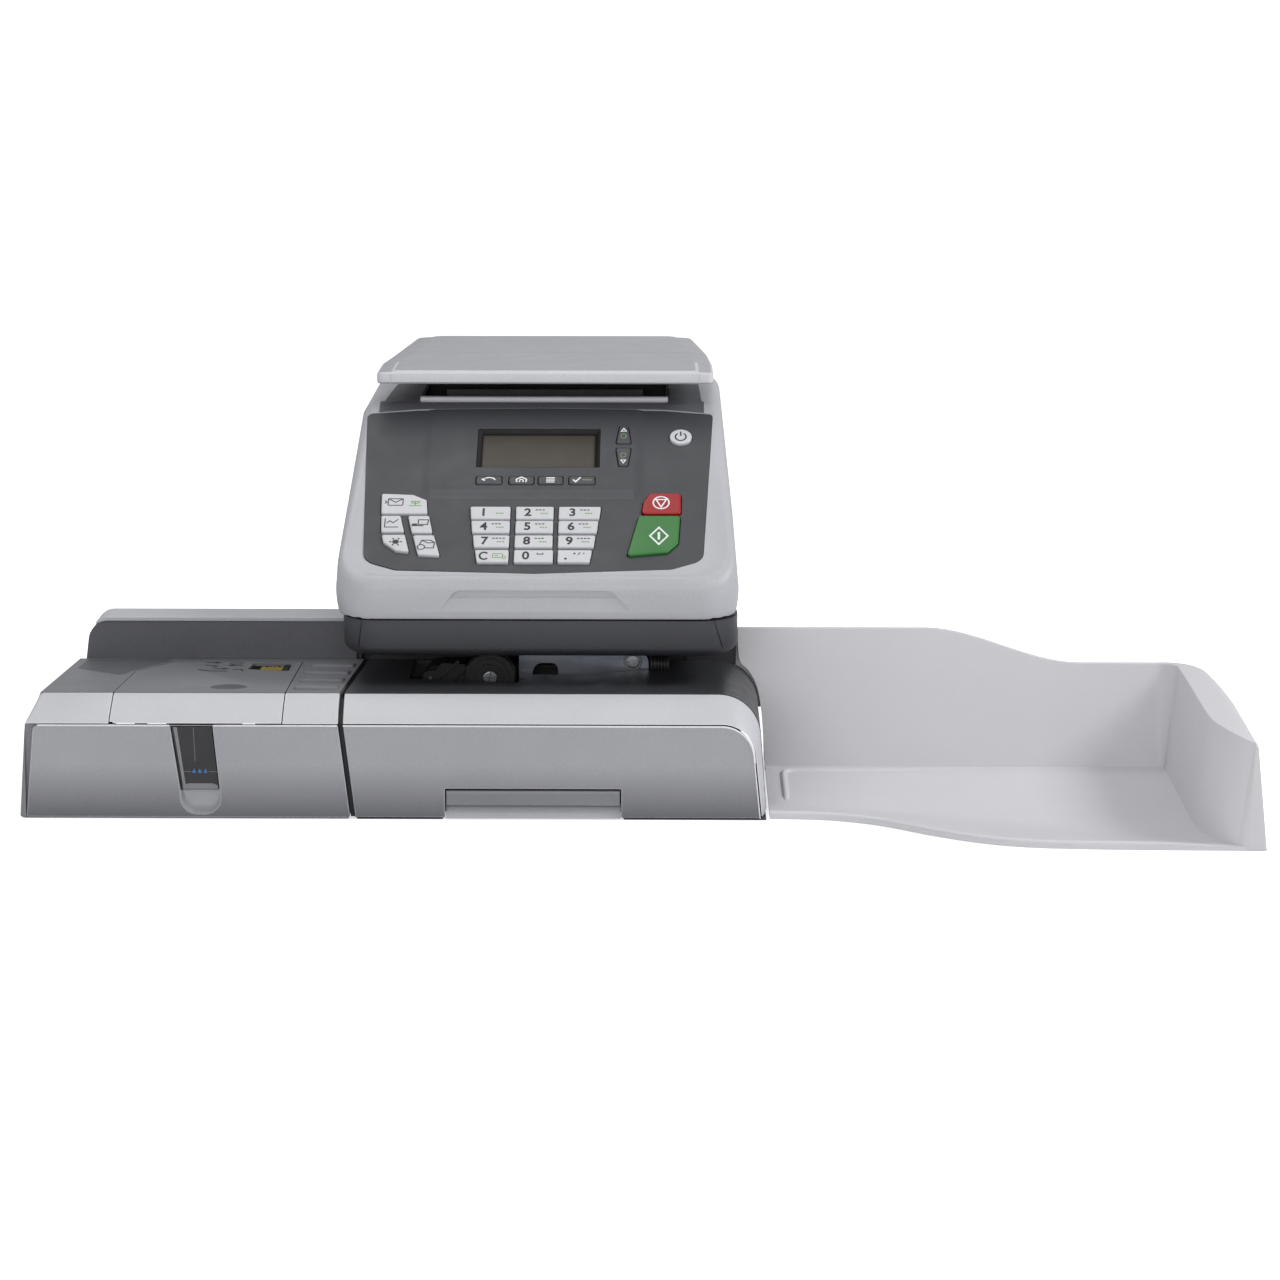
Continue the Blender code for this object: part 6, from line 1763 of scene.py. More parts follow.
def make_registration_wall():
    low, high = lowest("registration_wall"), highest("registration_wall")
    foot = low.z
    outline = rounded([(low.x, foot), (high.x, foot), (high.x, WALL_TOP_Z), (low.x + 6.0, WALL_TOP_Z)],
                      [0.0, 0.0, 0.0, 16.0], 14)
    wall = prism("wall_body", outline, "Y", low.y, high.y, LOOKS["wall"])
    tools = [block("room", (low.x + 10.0, high.x - 4.0), (low.y + 3.0, high.y - 3.0),
                   (foot - 5.0, WALL_TOP_Z - SHELL))]
    for index in range(7):
        x = low.x + 40.0 + 24.0 * index
        for z in (84.0, 91.0):
            tools.append(slit((x, x + 16.0), (z, z + 3.0), 1.4, "Y", high.y - 4.0, high.y + 4.0))
    cut(wall, *tools)
    finish(wall, "base", 1.1, 3, stands_for=["registration_wall"])

    low, high = lowest("wall_cap"), highest("wall_cap")
    outline = rounded([(low.x, low.z), (high.x, low.z), (high.x, CAP_TOP_Z), (low.x + 6.0, CAP_TOP_Z)],
                      [0.0, 0.0, 0.0, 14.0], 14)
    cap = prism("wall_capping", outline, "Y", low.y, high.y, LOOKS["cap"])
    inner = [(-400.0, WALL_TOP_Z - 40.0), (-150.0, WALL_TOP_Z - 40.0), (-150.0, WALL_TOP_Z + GAP),
             (low.x + 1.3, WALL_TOP_Z + GAP)]
    under = rounded(inner, [0.0, 0.0, 0.0, 16.0 - GAP], 14)
    cut(cap, prism("under", under, "Y", low.y - 10.0, high.y + 10.0))
    finish(cap, "base", 1.5, 4, stands_for=["wall_cap"])
    for index, x in enumerate((-370.0, -280.0, -190.0)):
        screw = turned("wall_screw_%d" % index,
                       [(-0.6, 3.2), (1.2, 3.2), (1.8, 2.4), (1.8, 1.2), (0.8, 1.1)],
                       (x, highest("registration_wall").y, 103.0), "Y", LOOKS["steel"], 24)
        finish(screw, "base")


# ---------------------------------------------------------------- sealer module

def band_rows(start_y, start_z):
    """Crowned Y/Z line of the sloping band, from its lower edge up to the deck."""
    rows = []
    for step in range(9):
        share = step / 8
        crown = 3.6 * share * (1.0 - share) - 0.5 * share ** 6
        rows.append((start_y + (BEVEL_Y - start_y) * share - crown * 0.55,
                     start_z + (DECK_Z - start_z) * share + crown * 0.8))
    return rows


def window_outline(clearance):
    """Tapered sight window of the tank."""
    return [(-288.4 - clearance, 21.5 - clearance), (-258.6 + clearance, 21.5 - clearance),
            (-263.3 + clearance, 72.0 + clearance), (-295.3 - clearance, 72.0 + clearance)]


def make_sealer_case():
    loops = []
    back_y = highest("sealer_case").y
    for z in (0.0, 1.2, FACE_TOP_Z - 1.0):
        draw = 0.8 if z == 0.0 else 0.0
        left = sealer_left(FRONT_Y, z) + draw
        right = seam_x(FRONT_Y, z) - SEAM_WIDTH - 1.5
        back = right + 6.0 * z / DECK_Z
        front = face_y(z) + 0.4 + draw
        loops.append([(left + 3.0, front, z), (right, front, z), (back, back_y - draw, z),
                      (left + 12.0 * z / DECK_Z + 4.0, back_y - draw, z),
                      (left + 12.0 * z / DECK_Z, back_y - 4.0, z), (left, front + 3.0, z)])
    case = loft("sealer_tub", loops, LOOKS["strip"])
    pocket_lean = [(-215.0, 1.0), (-195.6, 1.0), (face_y(FACE_TOP_Z) + 4.0, 80.0), (-215.0, 80.0)]
    tools = [block("room", (-397.0, -173.0), (-192.0, back_y - 4.0), (4.0, 90.0)),
             prism("pocket", pocket_lean, "X", -407.4, -100.0),
             block("gate", (-299.0, -252.0), (-210.0, -180.0), (2.0, 90.0))]
    for index in range(5):
        x = -370.0 + 26.0 * index
        tools.append(slit((x, x + 16.0), (20.0, 50.0), 2.0, "Y", back_y - 10.0, back_y + 10.0))
    cut(case, *tools)
    finish(case, "base", 0.7, 2, stands_for=["sealer_case"])


def make_sealer_fascia():
    foot = lowest("sealer_fascia").z
    left = lowest("sealer_fascia").x
    top = FACE_TOP_Z - 0.9
    corners = [(left, foot), (seam_x(FRONT_Y, foot) - SEAM_WIDTH, foot),
               (seam_x(FRONT_Y, top) - SEAM_WIDTH, top), (left + 6.7, top)]
    outline = rounded(corners, [1.5, 1.0, 1.5, 5.0], 8)
    loops = [[(x, face_y(z) + depth, z) for x, z in outline] for depth in (0.0, SHELL)]
    fascia = loft("sealer_front_panel", loops, LOOKS["fascia"])
    window = prism("window", window_outline(GAP), "Y", *FACE_CUT)
    mouth = [(-289.4, 3.6), (-256.4, 3.6), (-258.4, 21.4), (-288.6, 21.4)]
    hole = prism("hole", rounded(mouth, [12.5, 12.5, 0.0, 0.0], 12), "Y", *FACE_CUT)
    cut(fascia, window, hole)
    finish(fascia, "base", 1.3, 3, stands_for=["sealer_fascia"])
    window_left, window_right = window_outline(GAP)[3][0] - 0.6, window_outline(GAP)[2][0] + 0.6
    spans = ((left + 10.0, window_left), (window_right, seam_x(FRONT_Y, top) - SEAM_WIDTH - 0.6))
    for index, (start, end) in enumerate(spans):
        face_bead("sealer_face_bead_%d" % index, [(start, BEAD_TOP_Z), (end, BEAD_TOP_Z)],
                  [(start, BEAD_TOP_Z - BEAD_WIDTH), (end, BEAD_TOP_Z - BEAD_WIDTH)])


def make_scoop():
    """Light finger scoop under the tank window: a dished shell with a rolled edge."""
    loops = []
    for step in range(7):
        share = step / 6
        y = -199.6 + 9.6 * math.sin(share * math.pi / 2)
        draw = 5.2 * (1.0 - math.cos(share * math.pi / 2))
        foot = 3.9 + draw * 1.3
        ring = [(-289.0 + draw, foot), (-256.8 - draw, foot), (-258.5 - draw * 0.3, 21.2),
                (-288.5 + draw * 0.3, 21.2)]
        radius = 12.0 - draw * 1.1
        loops.append([(x, y, z) for x, z in rounded(ring, [radius, radius, 0.0, 0.0], 12)])
    core = loft("core", loops)
    outline = rounded([(-291.5, 2.6), (-254.5, 2.6), (-256.5, 21.2), (-289.5, 21.2)],
                      [13.0, 13.0, 0.0, 0.0], 12)
    shell = prism("finger_scoop", outline, "Y", -198.6, -188.0, LOOKS["scoop"])
    cut(shell, core)
    finish(shell, "base", angle=40.0)


def make_sealer_deck():
    """Top moulding in two colours: the light front band and the grey ribbed deck behind it."""
    foot = lowest("sealer_deck").z
    low_y = face_y(FACE_TOP_Z)
    band_section = [(low_y + 0.4, foot)] + band_rows(low_y, FACE_TOP_Z + BAND_SEAM)
    band_section += [(BEVEL_Y + 0.4, DECK_Z - 3.0), (low_y + 4.0, foot)]
    loops = []
    for share in (0.0, 0.012, 1.0):
        loop = []
        for y, z in band_section:
            left = sealer_left(y, z) + 0.4
            right = seam_x(y, z) - SEAM_WIDTH
            tuck = 1.2 if share == 0.0 and z > foot + 1.0 else 0.0
            loop.append((left + (right - left) * share, y + tuck * 0.5, z - tuck))
        loops.append(loop)
    band = loft("sealer_band", loops, LOOKS["band"])
    clearance = 0.8
    plan = [(COVER_LEFT_X - clearance, -210.0), (COVER_RIGHT_X + clearance, -210.0),
            (COVER_RIGHT_X + clearance, COVER_BACK_Y + 2.5), (-314.0, COVER_BACK_Y + 2.5),
            (COVER_LEFT_X + 4.0 - clearance, -85.5), (COVER_LEFT_X - clearance, -168.0)]
    cut(band, prism("opening", plan, "Z", 60.0, 120.0))
    finish(band, "base", 0.6, 3, stands_for=["sealer_deck"])

    section = [(BEVEL_Y + 0.5, foot), (BEVEL_Y + 0.5, DECK_Z), (DECK_BACK_Y, deck_z(DECK_BACK_Y)),
               (DECK_BACK_Y, foot)]
    loops = []
    for side in (0, 1):
        loops.append([(sealer_left(y, z) + 0.4 if side == 0 else seam_x(y, z) - SEAM_WIDTH, y, z)
                      for y, z in section])
    deck = loft("sealer_top", loops, LOOKS["sealer_deck"])
    back_y, under = DECK_BACK_Y - 2.5, foot - 6.0
    room = [(BEVEL_Y + 3.0, under), (BEVEL_Y + 3.0, 86.0), (BEVEL_Y + 3.2, DECK_Z - 2.5),
            (back_y, deck_z(back_y) - 2.5), (back_y, under)]
    cut(deck, prism("room", room, "X", -390.0, -176.0), prism("opening", plan, "Z", 60.0, 120.0))
    ribs = []
    for index, y in enumerate((-150.0, -120.0, -90.0, -60.0)):
        left = -205.5 + (0.0, 0.5, 1.5, 4.0)[index]
        right = seam_x(y, DECK_Z) - SEAM_WIDTH - 3.0
        rib_loops = []
        for height, inset in ((-0.8, 0.0), (1.0, 0.3), (1.9, 0.8), (2.2, 1.6)):
            ring = rounded(rectangle((left + inset, right - inset),
                                     (y - 8.5 + inset * 0.6, y + 8.5 - inset)), 2.4 - inset, 4)
            rib_loops.append([(x, v, deck_z(v)
                               + (height if height < 0.0 else height * (1.0 - 0.75 * (v - y + 8.5) / 17.0)))
                              for x, v in ring])
        ribs.append(loft("rib", rib_loops))
    join(deck, *ribs)
    finish(deck, "base", 0.5, 3)
    make_deck_shadow()


def make_deck_shadow():
    """Painted shadow of the registration wall: a darker patch on the deck beside the wall, left of the lid.
    """
    corners = [(-384.0, -36.5), (-386.5, -74.0), (-347.0, -103.0), (-341.0, -84.0), (-316.5, -41.5),
               (-316.5, -36.5)]
    outline = rounded(corners, [2.0, 5.0, 5.0, 5.0, 1.0, 0.5], 6)
    loops = [[(x, y, deck_z(y) + height) for x, y in outline] for height in (-0.4, 0.12)]
    field = loft("deck_painted_shadow", loops, LOOKS["deck_painted_shadow"])
    finish(field, "base")


def cover_corner_tool():
    plan = [(-360.0, -168.0), (COVER_LEFT_X, -168.0), (COVER_LEFT_X + 4.0, -86.0),
            (-313.0, COVER_BACK_Y + 0.1), (-313.0, -20.0), (-360.0, -20.0)]
    return prism("corner", plan, "Z", 60.0, 110.0)


def dip_outline(reach):
    """Ellipse round the middle of the finger dip."""
    return disc(DIP_CENTRE, reach, 48, reach * DIP_REACH_Y / DIP_REACH)


def dip_shape(level_z, shift):
    """Rings of the shallow elliptical finger dip, from its rim to near its middle."""
    rows = []
    for step in range(1, 7):
        share = step / 6
        reach = 17.9 - 16.0 * share ** 1.6
        level = level_z - 1.6 * math.sin(share * math.pi / 2) ** 0.6 + shift
        rows.append([(x, y, level) for x, y in dip_outline(reach)])
    return rows


def make_sealer_cover():
    """Lid in two mouldings: the light lip that completes the band and the grey top."""
    low_y, low_z = face_y(FACE_TOP_Z), lowest("sealer_cover").z + 0.15
    section = band_rows(low_y - 0.3, low_z) + [(BEVEL_Y + 0.4, DECK_Z - 2.5), (low_y + 3.5, low_z)]
    lip = prism("cover_lip", section, "X", COVER_LEFT_X, COVER_RIGHT_X, LOOKS["band"])
    notch = block("notch", (COVER_LEFT_X - 1.0, COVER_LEFT_X + 2.6), (-205.0, -190.0),
                  (70.0, FACE_TOP_Z + 1.6))
    cut(lip, notch)
    finish(lip, "sealer_cover", 0.6, 3, stands_for=["sealer_cover"])

    section = [(BEVEL_Y + 0.5, DECK_Z - 2.4), (BEVEL_Y + 0.5, DECK_Z), (COVER_BACK_Y, deck_z(COVER_BACK_Y)),
               (COVER_BACK_Y, deck_z(COVER_BACK_Y) - 2.4)]
    top = prism("cover_top", section, "X", COVER_LEFT_X, COVER_RIGHT_X, LOOKS["cover"])
    corners = [(-251.0, -78.0), (-217.0, -85.0), (-217.0, -52.0), (-249.0, -52.0)]
    window = prism("window", rounded(corners, 1.5, 4), "Z", 60.0, 110.0)
    dip_z = deck_z(DIP_CENTRE[1])
    dip_loops = []
    for step in range(7):
        share = step / 6
        reach = DIP_REACH - 5.7 * math.sin(share * math.pi / 2) + (0.8 if step == 0 else 0.0)
        deep = (3.0, 0.05, -0.4, -0.8, -1.1, -1.4, -1.6)[step]
        dip_loops.append([(x, y, dip_z + deep) for x, y in dip_outline(reach)])
    cut(top, cover_corner_tool(), window, loft("dip", dip_loops))
    finish(top, "sealer_cover", 0.5, 3)
    # Darker dish laid into the finger dip: painted shade in the hollow.
    dish = []
    for level in (0.06, -0.5):
        rows = dip_shape(dip_z, level)
        dish += rows if level > 0.0 else rows[::-1]
    dip_shade_inlay = loft("finger_dip", dish, LOOKS["dip"])
    finish(dip_shade_inlay, "sealer_cover", angle=60.0)
    frame_plan = rounded([(-251.6, -79.0), (-216.2, -86.3), (-216.2, -51.3), (-249.6, -51.3)], 1.6, 4)
    inner_plan = rounded([(-250.4, -77.6), (-217.4, -84.4), (-217.4, -52.6), (-248.6, -52.6)], 1.2, 4)
    loops = [[(x, y, deck_z(y) + height) for x, y in plan]
             for plan, height in ((frame_plan, -2.0), (frame_plan, 0.22), (inner_plan, 0.22),
                                  (inner_plan, -2.0))]
    surround = loft("brush_window_frame", loops, LOOKS["cover"], closed=True)
    finish(surround, "sealer_cover")


def deck_stroke(points, width, closed=False):
    """Flat printed line that follows the sloping deck."""
    rows = [Vector(point) for point in points]
    count = len(rows)
    verts, faces = [], []
    for index in range(count):
        before = rows[index - 1] if index or closed else rows[0]
        after = rows[(index + 1) % count] if index < count - 1 or closed else rows[-1]
        along = (after - before).normalized()
        side = Vector((-along.y, along.x)) * width / 2.0
        for level in (-0.35, 0.14):
            for sign in (1.0, -1.0):
                spot = rows[index] + side * sign
                verts.append((spot.x, spot.y, deck_z(spot.y) + level))
    spans = count if closed else count - 1
    for index in range(spans):
        here, there = index * 4, ((index + 1) % count) * 4
        faces += [[here, there, there + 1, here + 1], [here + 2, here + 3, there + 3, there + 2],
                  [here, here + 2, there + 2, there], [here + 1, there + 1, there + 3, here + 3]]
    if not closed:
        last = (count - 1) * 4
        faces += [[0, 1, 3, 2], [last, last + 2, last + 3, last + 1]]
    return mesh_object("stroke", verts, faces, LOOKS["ink_black"])


def make_cover_marks():
    """Generic pictograms on the lid: an envelope, arrows along the path and a flap."""
    parts = []
    for x, y, way in ((-281.0, -50.0, 1.0), (-262.0, -61.0, -1.0), (-272.0, -75.0, 1.0)):
        parts.append(deck_stroke([(x - 6.0 * way, y), (x + 4.0 * way, y)], 1.9))
        parts.append(deck_stroke([(x + 1.5 * way, y + 2.6), (x + 5.5 * way, y), (x + 1.5 * way, y - 2.6)],
                                 1.8))
    parts.append(deck_stroke([(-267.0, -51.0), (-258.0, -51.0), (-258.0, -56.0), (-267.0, -56.0)], 1.2,
                             closed=True))
    parts.append(deck_stroke([(-290.0, -79.0), (-279.0, -84.5), (-266.0, -84.5)], 2.1))
    parts.append(deck_stroke([(-286.0, -60.0), (-276.0, -64.0), (-280.0, -70.0)], 2.0))
    parts.append(deck_stroke([(-262.0, -80.0), (-256.0, -76.0), (-254.0, -83.0)], 1.8))
    for index, part in enumerate(parts):
        part.name = "cover_mark_%d" % index
        fit(part, "sealer_cover")


def make_tank():
    """Slim water tank: smoked see-through front, water level line, marks and a dark body behind."""
    outline = window_outline(-0.5)
    tank = prism("tank_shell", rounded(outline, 1.2, 4), "Y", -196.4, -92.0, LOOKS["smoked"])
    inner = [(-285.8, 24.5), (-262.0, 24.5), (-266.0, 69.0), (-292.0, 69.0)]
    cut(tank, prism("room", inner, "Y", -193.5, -94.5),
        block("mouth", (-288.0, -268.0), (-125.0, -98.0), (60.0, 90.0)))
    finish(tank, "water_tank", 0.5, 3, stands_for=["water_tank"])
    corners = [(-285.3, 25.0), (-262.6, 25.0), (-266.5, 68.5), (-291.5, 68.5)]
    lining = prism("tank_lining", rounded(corners, 1.0, 4), "Y", -189.0, -188.0, LOOKS["gap"])
    finish(lining, "water_tank", 0.2, 2)
    face = -196.4
    outlines = [rectangle((-287.6, -280.5), (36.0, 36.5)), rectangle((-266.8, -260.6), (36.0, 36.5)),
                [(-277.4, 44.5), (-276.9, 44.5), (-277.6, 70.5), (-278.1, 70.5)]]
    lines = [prism("line", outline, "Y", face - 0.12, face + 0.3,
                   LOOKS["ink_grey"]) for outline in outlines]
    marks = merged("tank_lines", lines)
    finish(marks, "water_tank")
    drops = []
    for x in (-278.2, -273.8, -269.4):
        drops.append(prism("drop", [(x - 1.3, 35.2), (x + 1.3, 35.2), (x + 1.3, 36.1), (x, 38.8),
                                    (x - 1.3, 36.1)], "Y",
                           face - 0.14, face + 0.3, LOOKS["ink_blue"]))
    blue = merged("tank_low_mark", drops)
    finish(blue, "water_tank")
    edge = prism("tank_chamfer", [(-293.0, 71.0), (-290.4, 71.0), (-284.6, 23.0), (-286.6, 23.0)], "Y",
                 face - 0.35, face + 0.4, LOOKS["fascia_flat"])
    finish(edge, "water_tank", 0.15, 2)
    corners = [(-287.0, 22.6), (-259.8, 22.6), (-260.2, 25.6), (-264.0, 27.0), (-282.0, 27.0),
               (-287.2, 25.6)]
    sill = prism("tank_sill", rounded(corners, 0.5, 3), "Y", face - 0.5, face + 0.4, LOOKS["strip"])
    finish(sill, "water_tank", 0.2, 2)


def make_brush():
    """Brush bar with five rows of golden bristles, two to a tuft, that lean with the mail."""
    low, high = lowest("moistening_brush"), highest("moistening_brush")
    holder = prism("brush_holder", rounded([(low.y, low.z), (high.y, low.z), (high.y, 74.0), (low.y, 74.0)],
                                           [0.5, 0.5, 2.0, 2.0], 4), "X", low.x, high.x, LOOKS["black"])
    finish(holder, "base", 0.4, 2, stands_for=["moistening_brush"])
    strands = []
    count = 0
    for row in range(5):
        for step in range(20):
            for tuft in range(2):
                count += 1
                wobble = math.sin(count * 12.9898) * 0.5
                wobble_y = math.sin(count * 78.233) * 0.5
                x = low.x + 1.4 + row * 3.5 + tuft * 1.3 + wobble
                y = low.y + 1.6 + step * (high.y - low.y - 4.0) / 19.0 + wobble_y
                tip_x = x + 3.4 + 0.6 * wobble
                tip_z = 87.6 + 0.5 * wobble_y
                root = rectangle((x - 0.45, x + 0.45), (y - 0.45, y + 0.45))
                tip = rectangle((tip_x - 0.28, tip_x + 0.28), (y - 0.28, y + 0.28))
                strands.append(loft("strand",
                                    [[(u, v, 73.0) for u, v in root], [(u, v, tip_z) for u, v in tip]],
                                    LOOKS["bristle"]))
    bristles = merged("brush_bristles", strands)
    finish(bristles, "base")
    strip = prism("brush_rail", rounded(rectangle((-223.5, -219.5), (-83.0, -54.0)), 1.0, 4), "Z", 60.0,
                  87.2, LOOKS["black"])
    posts = [block("post", (-223.0, -220.0), (y, y + 3.0), (4.2, 61.0)) for y in (-80.0, -60.0)]
    join(strip, *posts)
    finish(strip, "base", 0.3, 2)


def make_seam_filler():
    """Black joint between the sealer and the base, set back from both faces."""
    loops = []
    for z in (1.5, 30.0, FACE_TOP_Z, DECK_Z - 4.0):
        y_front = face_y(min(z, FACE_TOP_Z)) + 2.6 if z <= FACE_TOP_Z else BEVEL_Y - 2.0
        left = seam_x(y_front, z) - SEAM_WIDTH + 0.5
        right = seam_x(y_front, z) - 0.5
        loops.append([(left, y_front, z), (right, y_front, z), (right, y_front + 3.0, z),
                      (left, y_front + 3.0, z)])
    joint = loft("module_joint", loops, LOOKS["gap"])
    finish(joint, "base")


# ---------------------------------------------------------------- catch tray

def tray_height(x):
    share = min(1.0, max(0.0, (x - 290.0) / 125.0))
    return TRAY_BACK_HEIGHT + (86.0 - TRAY_BACK_HEIGHT) * share * share * (3.0 - 2.0 * share)


def tray_stations():
    """Places along the wall's foot: spot, way outwards, height, lean of the inside and thickness."""
    stations = []
    for step in range(45):
        x = 139.5 + (TRAY_FOOT_X - 5.0 - 139.5) * step / 44.4
        stations.append(((x, TRAY_FOOT_Y), (0.0, 1.0), tray_height(x), 15.0, 32.0))
    radius = 5.0
    corner = (TRAY_FOOT_X - radius, TRAY_FOOT_Y - radius)
    for step in range(13):
        blend = step / 12
        turn = 0.5 * math.pi * (1.0 - blend)
        out = (math.cos(turn), math.sin(turn))
        spot = (corner[0] + radius * out[0], corner[1] + radius * out[1])
        stations.append((spot, out, 86.0 + blend, 15.0 - 7.0 * blend, 32.0 + 9.0 * blend))
    keys = spline([(-70.0, 482.95, 87.5), (-130.0, 482.6, 88.0), (-200.0, 482.2, 88.0),
                   (-230.0, 483.6, 87.5), (-250.0, 488.6, 86.6), (-263.0, 494.6, 84.9),
                   (-271.5, 500.6, 83.0), (-277.2, 507.2, 81.4), (TRAY_FRONT_Y, 514.0, 80.0)], 6)
    for y, x, height in keys:
        outer = 524.0 + 3.6 * max(0.0, (-200.0 - y) / 80.0)
        lean = 8.0 + 0.126 * (min(x, 506.0) - 482.2)
        if x + lean > outer - 11.0:
            lean = max(0.5, outer - 11.0 - x)
        stations.append(((x, y), (1.0, 0.0), height, lean, outer - x))
    return stations


def tray_section(station, inset=0.0):
    (x, y), (out_x, out_y), height, lean, thick = station
    if inset:
        rows = [(inset, -5.0), (lean + inset * 0.8, height - inset),
                (thick - 9.0 - inset * 0.8, height - 1.0 - inset), (thick - inset, -5.0)]
    else:
        bulge = 5.0 * math.sin(math.pi * min(1.0, max(0.0, (-50.0 - y) / 215.0))) * out_x
        crest = max(thick - 9.0 + bulge, lean + 1.5)
        shoulder = min(6.0 + 4.0 * out_x, (crest - lean) * 0.45)
        rows = rounded([(0.0, 0.0), (lean, height), (crest, height - 1.0), (thick, 0.0)],
                       [0.0, min(1.2, (crest - lean) * 0.3), shoulder, 0.0], 6)
    return [(x + out_x * reach, y + out_y * reach, level) for reach, level in rows]


def make_catch_tray():
    """Vacuum-formed tray: floor, hollow wall, rolled front lip and the embossed edge guide."""
    stations = tray_stations()
    tray = loft("tray_shell", [tray_section(station) for station in stations], LOOKS["tray"])
    rim = spline([(TRAY_LEFT_X, -196.0), (205.0, -199.6), (243.0, -213.7), (283.0, -242.0), (318.0, -262.0),
                  (352.0, -272.5), (400.0, -277.0), (460.0, -278.6), (516.0, TRAY_FRONT_Y + 0.4)], 7)
    front = [(point.x, point.y) for point in rim]
    plan = front + [(520.0, -60.0), (490.0, TRAY_FOOT_Y + 4.0), (TRAY_LEFT_X, TRAY_FOOT_Y + 4.0)]
    floor = prism("floor", plan, "Z", 0.0, TRAY_FLOOR)
    core = [tray_section(station, TRAY_WALL) for station in stations[::2] if station[0][1] > -245.0]
    core[0] = [(x - 20.0, y, z) for x, y, z in core[0]]
    hollow = loft("core", core)
    slant = spline([(TRAY_LEFT_X, -20.0), (161.0, 20.0), (157.8, 54.0), (154.0, 70.0), (147.5, 81.0),
                    (140.5, 90.5), (139.0, 130.0)], 4)
    outline = [(100.0, -20.0)] + [(point.x, point.y) for point in slant] + [(100.0, 130.0)]
    end_slant = prism("slant", outline, "Y", -80.0, 20.0)
    cut(tray, hollow)
    cut(tray, end_slant)
    join(tray, floor)
    join(tray, tray_lip(front))
    join(tray, tray_ridge())
    finish(tray, "base", angle=38.0, stands_for=["catch_tray"])


def make_tray_tongue():
    """Flange of the tray's back wall that reaches behind the end of the mail deck."""
    under = PAN_BOTTOM_Z - 4.0
    outline = rounded([(117.0, 48.0), (172.0, 48.0), (172.0, TRAY_BACK_HEIGHT - 0.8),
                       (141.5, TRAY_BACK_HEIGHT - 0.8), (138.5, under), (117.0, under)],
                       [2.0, 0.5, 0.5, 2.0, 1.0, 2.0], 4)
    tongue = prism("tray_tongue", outline, "Y", DECK_BACK_Y + 2.0, DECK_BACK_Y + 5.0, LOOKS["tray"])
    finish(tongue, "base", 0.4, 2)


def tray_lip(front):
    """Low bead along the front edge that fades out against the end wall."""
    loops = []
    section = ((0.0, -1.5), (0.0, 0.45), (0.08, 0.8), (0.22, 1.0), (0.45, 0.92), (0.72, 0.4), (1.0, -0.1),
               (1.0, -1.5))
    count = len(front)
    for index, (x, y) in enumerate(front):
        ahead = Vector(front[min(index + 1, count - 1)]) - Vector(front[max(index - 1, 0)])
        inward = Vector((-ahead.y, ahead.x)).normalized()
        fade = min(1.0, max(0.0, (505.0 - x) / 60.0))
        height = 0.3 + 2.6 * fade
        width = 9.5
        ring = []
        for share, rise in section:
            spot = Vector((x, y)) + inward * (0.35 + width * share)
            level = TRAY_FLOOR + (height * rise if rise > 0.0 else rise)
            ring.append((spot.x, spot.y, level))
        loops.append(ring)
    return loft("lip", loops)


def tray_ridge():
    """Embossed L-shaped edge guide on the floor, tapering to nothing along the wall."""
    path = [(176.0, -152.0), (176.0, -130.0), (176.0, -100.0), (176.3, -72.0), (178.5, -66.0),
            (184.0, -63.2)]
    path += [(184.0 + 21.0 * step, -63.2 + 1.0 * step) for step in range(1, 8)]
    rows = [Vector((point.x, point.y)) for point in spline(path, 3)]
    section = ((-1.0, -1.2), (-1.0, 0.02), (-0.6, 0.7), (-0.2, 1.0), (0.2, 1.0), (0.6, 0.7), (1.0, 0.02),
               (1.0, -1.2))
    count = len(rows)
    loops = []
    for index, spot in enumerate(rows):
        ahead = rows[min(index + 1, count - 1)] - rows[max(index - 1, 0)]
        side = Vector((-ahead.y, ahead.x)).normalized()
        fade = min(1.0, (count - 1 - index) / (count * 0.55) + 0.06) * min(1.0, index / 3.0 + 0.3)
        half = 2.9 * (0.35 + 0.65 * fade)
        ring = []
        for across, rise in section:
            place = spot + side * (half * across)
            level = TRAY_FLOOR + (2.2 * fade * rise if rise > 0.0 else rise)
            ring.append((place.x, place.y, level))
        loops.append(ring)
    return loft("ridge", loops)


# ---------------------------------------------------------------- studio

PAPER_GLOW = 0.62
SKY_STRENGTH = 0.46


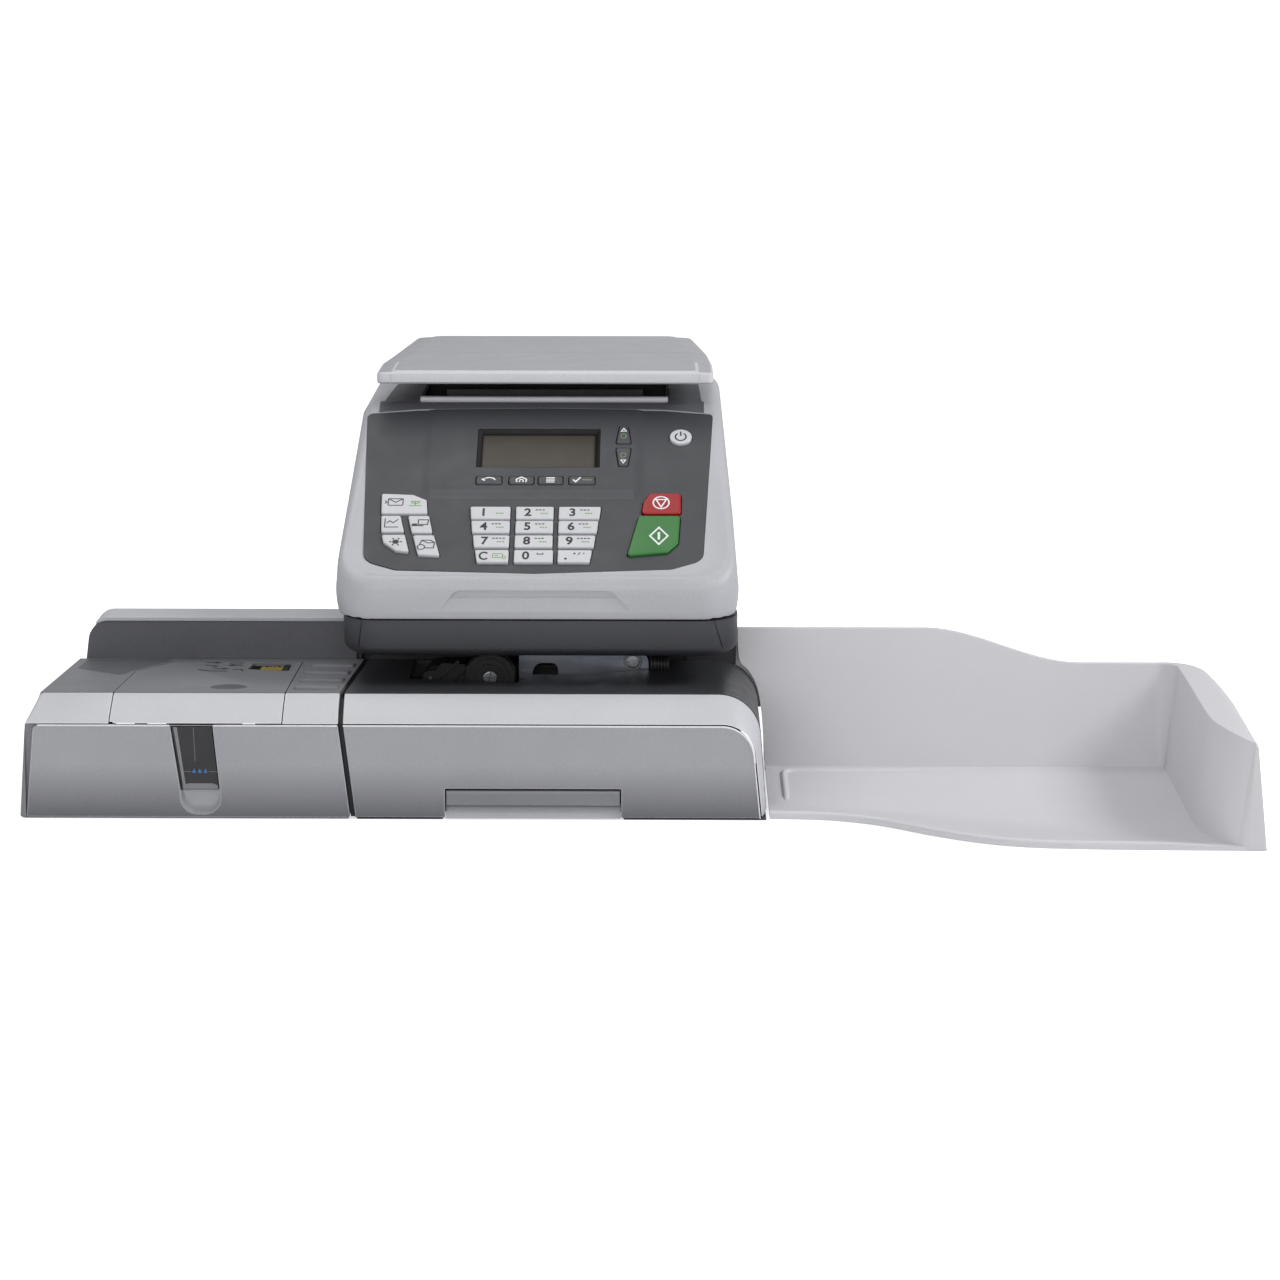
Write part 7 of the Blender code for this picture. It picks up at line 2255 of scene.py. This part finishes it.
def make_stage():
    """White paper that rolls up behind the machine, in metres; it just misses the rubber feet."""
    mesh = bpy.data.meshes.new("studio_floor")
    side, drop = 6.0, 0.0004
    rows = [(-6.0, 0.0), (2.0, 0.0), (3.0, 0.03), (3.8, 0.2), (4.4, 0.6), (4.8, 1.5), (4.9, 9.0)]
    verts, faces = [], []
    for y, z in rows:
        verts += [(-side, y, z - drop), (side, y, z - drop)]
    for index in range(len(rows) - 1):
        low = index * 2
        faces.append([low, low + 1, low + 3, low + 2])
    mesh.from_pydata(verts, [], faces)
    mesh.shade_smooth()
    floor = bpy.data.objects.new("studio_floor", mesh)
    bpy.context.scene.collection.objects.link(floor)
    look = bpy.data.materials.new("studio_paper")
    look.use_nodes = True
    shader = look.node_tree.nodes["Principled BSDF"]
    shader.inputs["Base Color"].default_value = (0.86, 0.86, 0.87, 1.0)
    shader.inputs["Roughness"].default_value = 0.95
    shader.inputs["Specular IOR Level"].default_value = 0.0
    shader.inputs["Emission Color"].default_value = (1.0, 1.0, 1.0, 1.0)
    seen = look.node_tree.nodes.new("ShaderNodeLightPath")
    glow = look.node_tree.nodes.new("ShaderNodeMath")
    glow.operation = "MULTIPLY"
    glow.inputs[1].default_value = PAPER_GLOW
    look.node_tree.links.new(seen.outputs["Is Camera Ray"], glow.inputs[0])
    look.node_tree.links.new(glow.outputs[0], shader.inputs["Emission Strength"])
    mesh.materials.append(look)


def make_light(name, place, aim, size_x, size_y, power):
    light = bpy.data.lights.new(name, "AREA")
    light.shape = "RECTANGLE"
    light.size = size_x
    light.size_y = size_y
    light.energy = power
    obj = bpy.data.objects.new(name, light)
    obj.location = place
    obj.rotation_euler = (Vector(aim) - Vector(place)).to_track_quat("-Z", "Y").to_euler()
    bpy.context.scene.collection.objects.link(obj)


def make_world():
    world = bpy.data.worlds.new("studio_light")
    world.use_nodes = True
    sky = world.node_tree.nodes["Background"]
    sky.inputs["Color"].default_value = (1.0, 1.0, 1.0, 1.0)
    sky.inputs["Strength"].default_value = SKY_STRENGTH
    bpy.context.scene.world = world
    bpy.context.scene.view_settings.view_transform = "Standard"


def make_camera():
    data = bpy.data.cameras.new("camera")
    data.lens = 95.625
    data.sensor_width = 36.0
    data.clip_end = 20.0
    camera = bpy.data.objects.new("camera", data)
    camera.location = (0.0915, -2.7064, 0.7012)
    camera.rotation_euler = (math.radians(90.0 - 12.6), 0.0, math.radians(0.658))
    bpy.context.scene.collection.objects.link(camera)
    bpy.context.scene.camera = camera


# ---------------------------------------------------------------- build

def make_head():
    make_head_housing()
    make_grip_liner()
    make_crest_band()
    make_plateau()
    make_label_tray()
    make_label_pusher()
    make_control_panel()
    make_display()
    make_keys()
    make_number_marks()
    make_shortcut_marks()
    make_command_marks()
    make_platform()
    make_pan()
    make_print_unit()
    make_steel_parts()


def make_base():
    make_chassis()
    make_base_fascia()
    make_release_handle()
    make_base_trim()
    make_base_deck()
    make_guide_plate()
    make_belt()
    make_rollers()
    make_pressure_roller()
    make_roller_arm()
    make_feed_details()
    make_motor()
    make_bridge()
    make_feet()
    make_registration_wall()


def make_sealer():
    make_sealer_case()
    make_sealer_fascia()
    make_scoop()
    make_sealer_deck()
    make_sealer_cover()
    make_cover_marks()
    make_tank()
    make_brush()
    make_seam_filler()


def make_studio():
    make_stage()
    make_world()
    make_light("key", (2.3, -0.5, 1.9), (0.1, -0.05, 0.1), 1.0, 0.9, 36.0)
    make_light("top", (-0.5, 0.3, 2.5), (-0.05, 0.0, 0.1), 2.0, 1.2, 13.0)
    make_light("front", (-0.3, -3.0, 0.95), (0.0, 0.0, 0.12), 2.2, 0.7, 17.0)


make_head()
make_base()
make_sealer()
make_catch_tray()
make_tray_tongue()
make_studio()
make_camera()
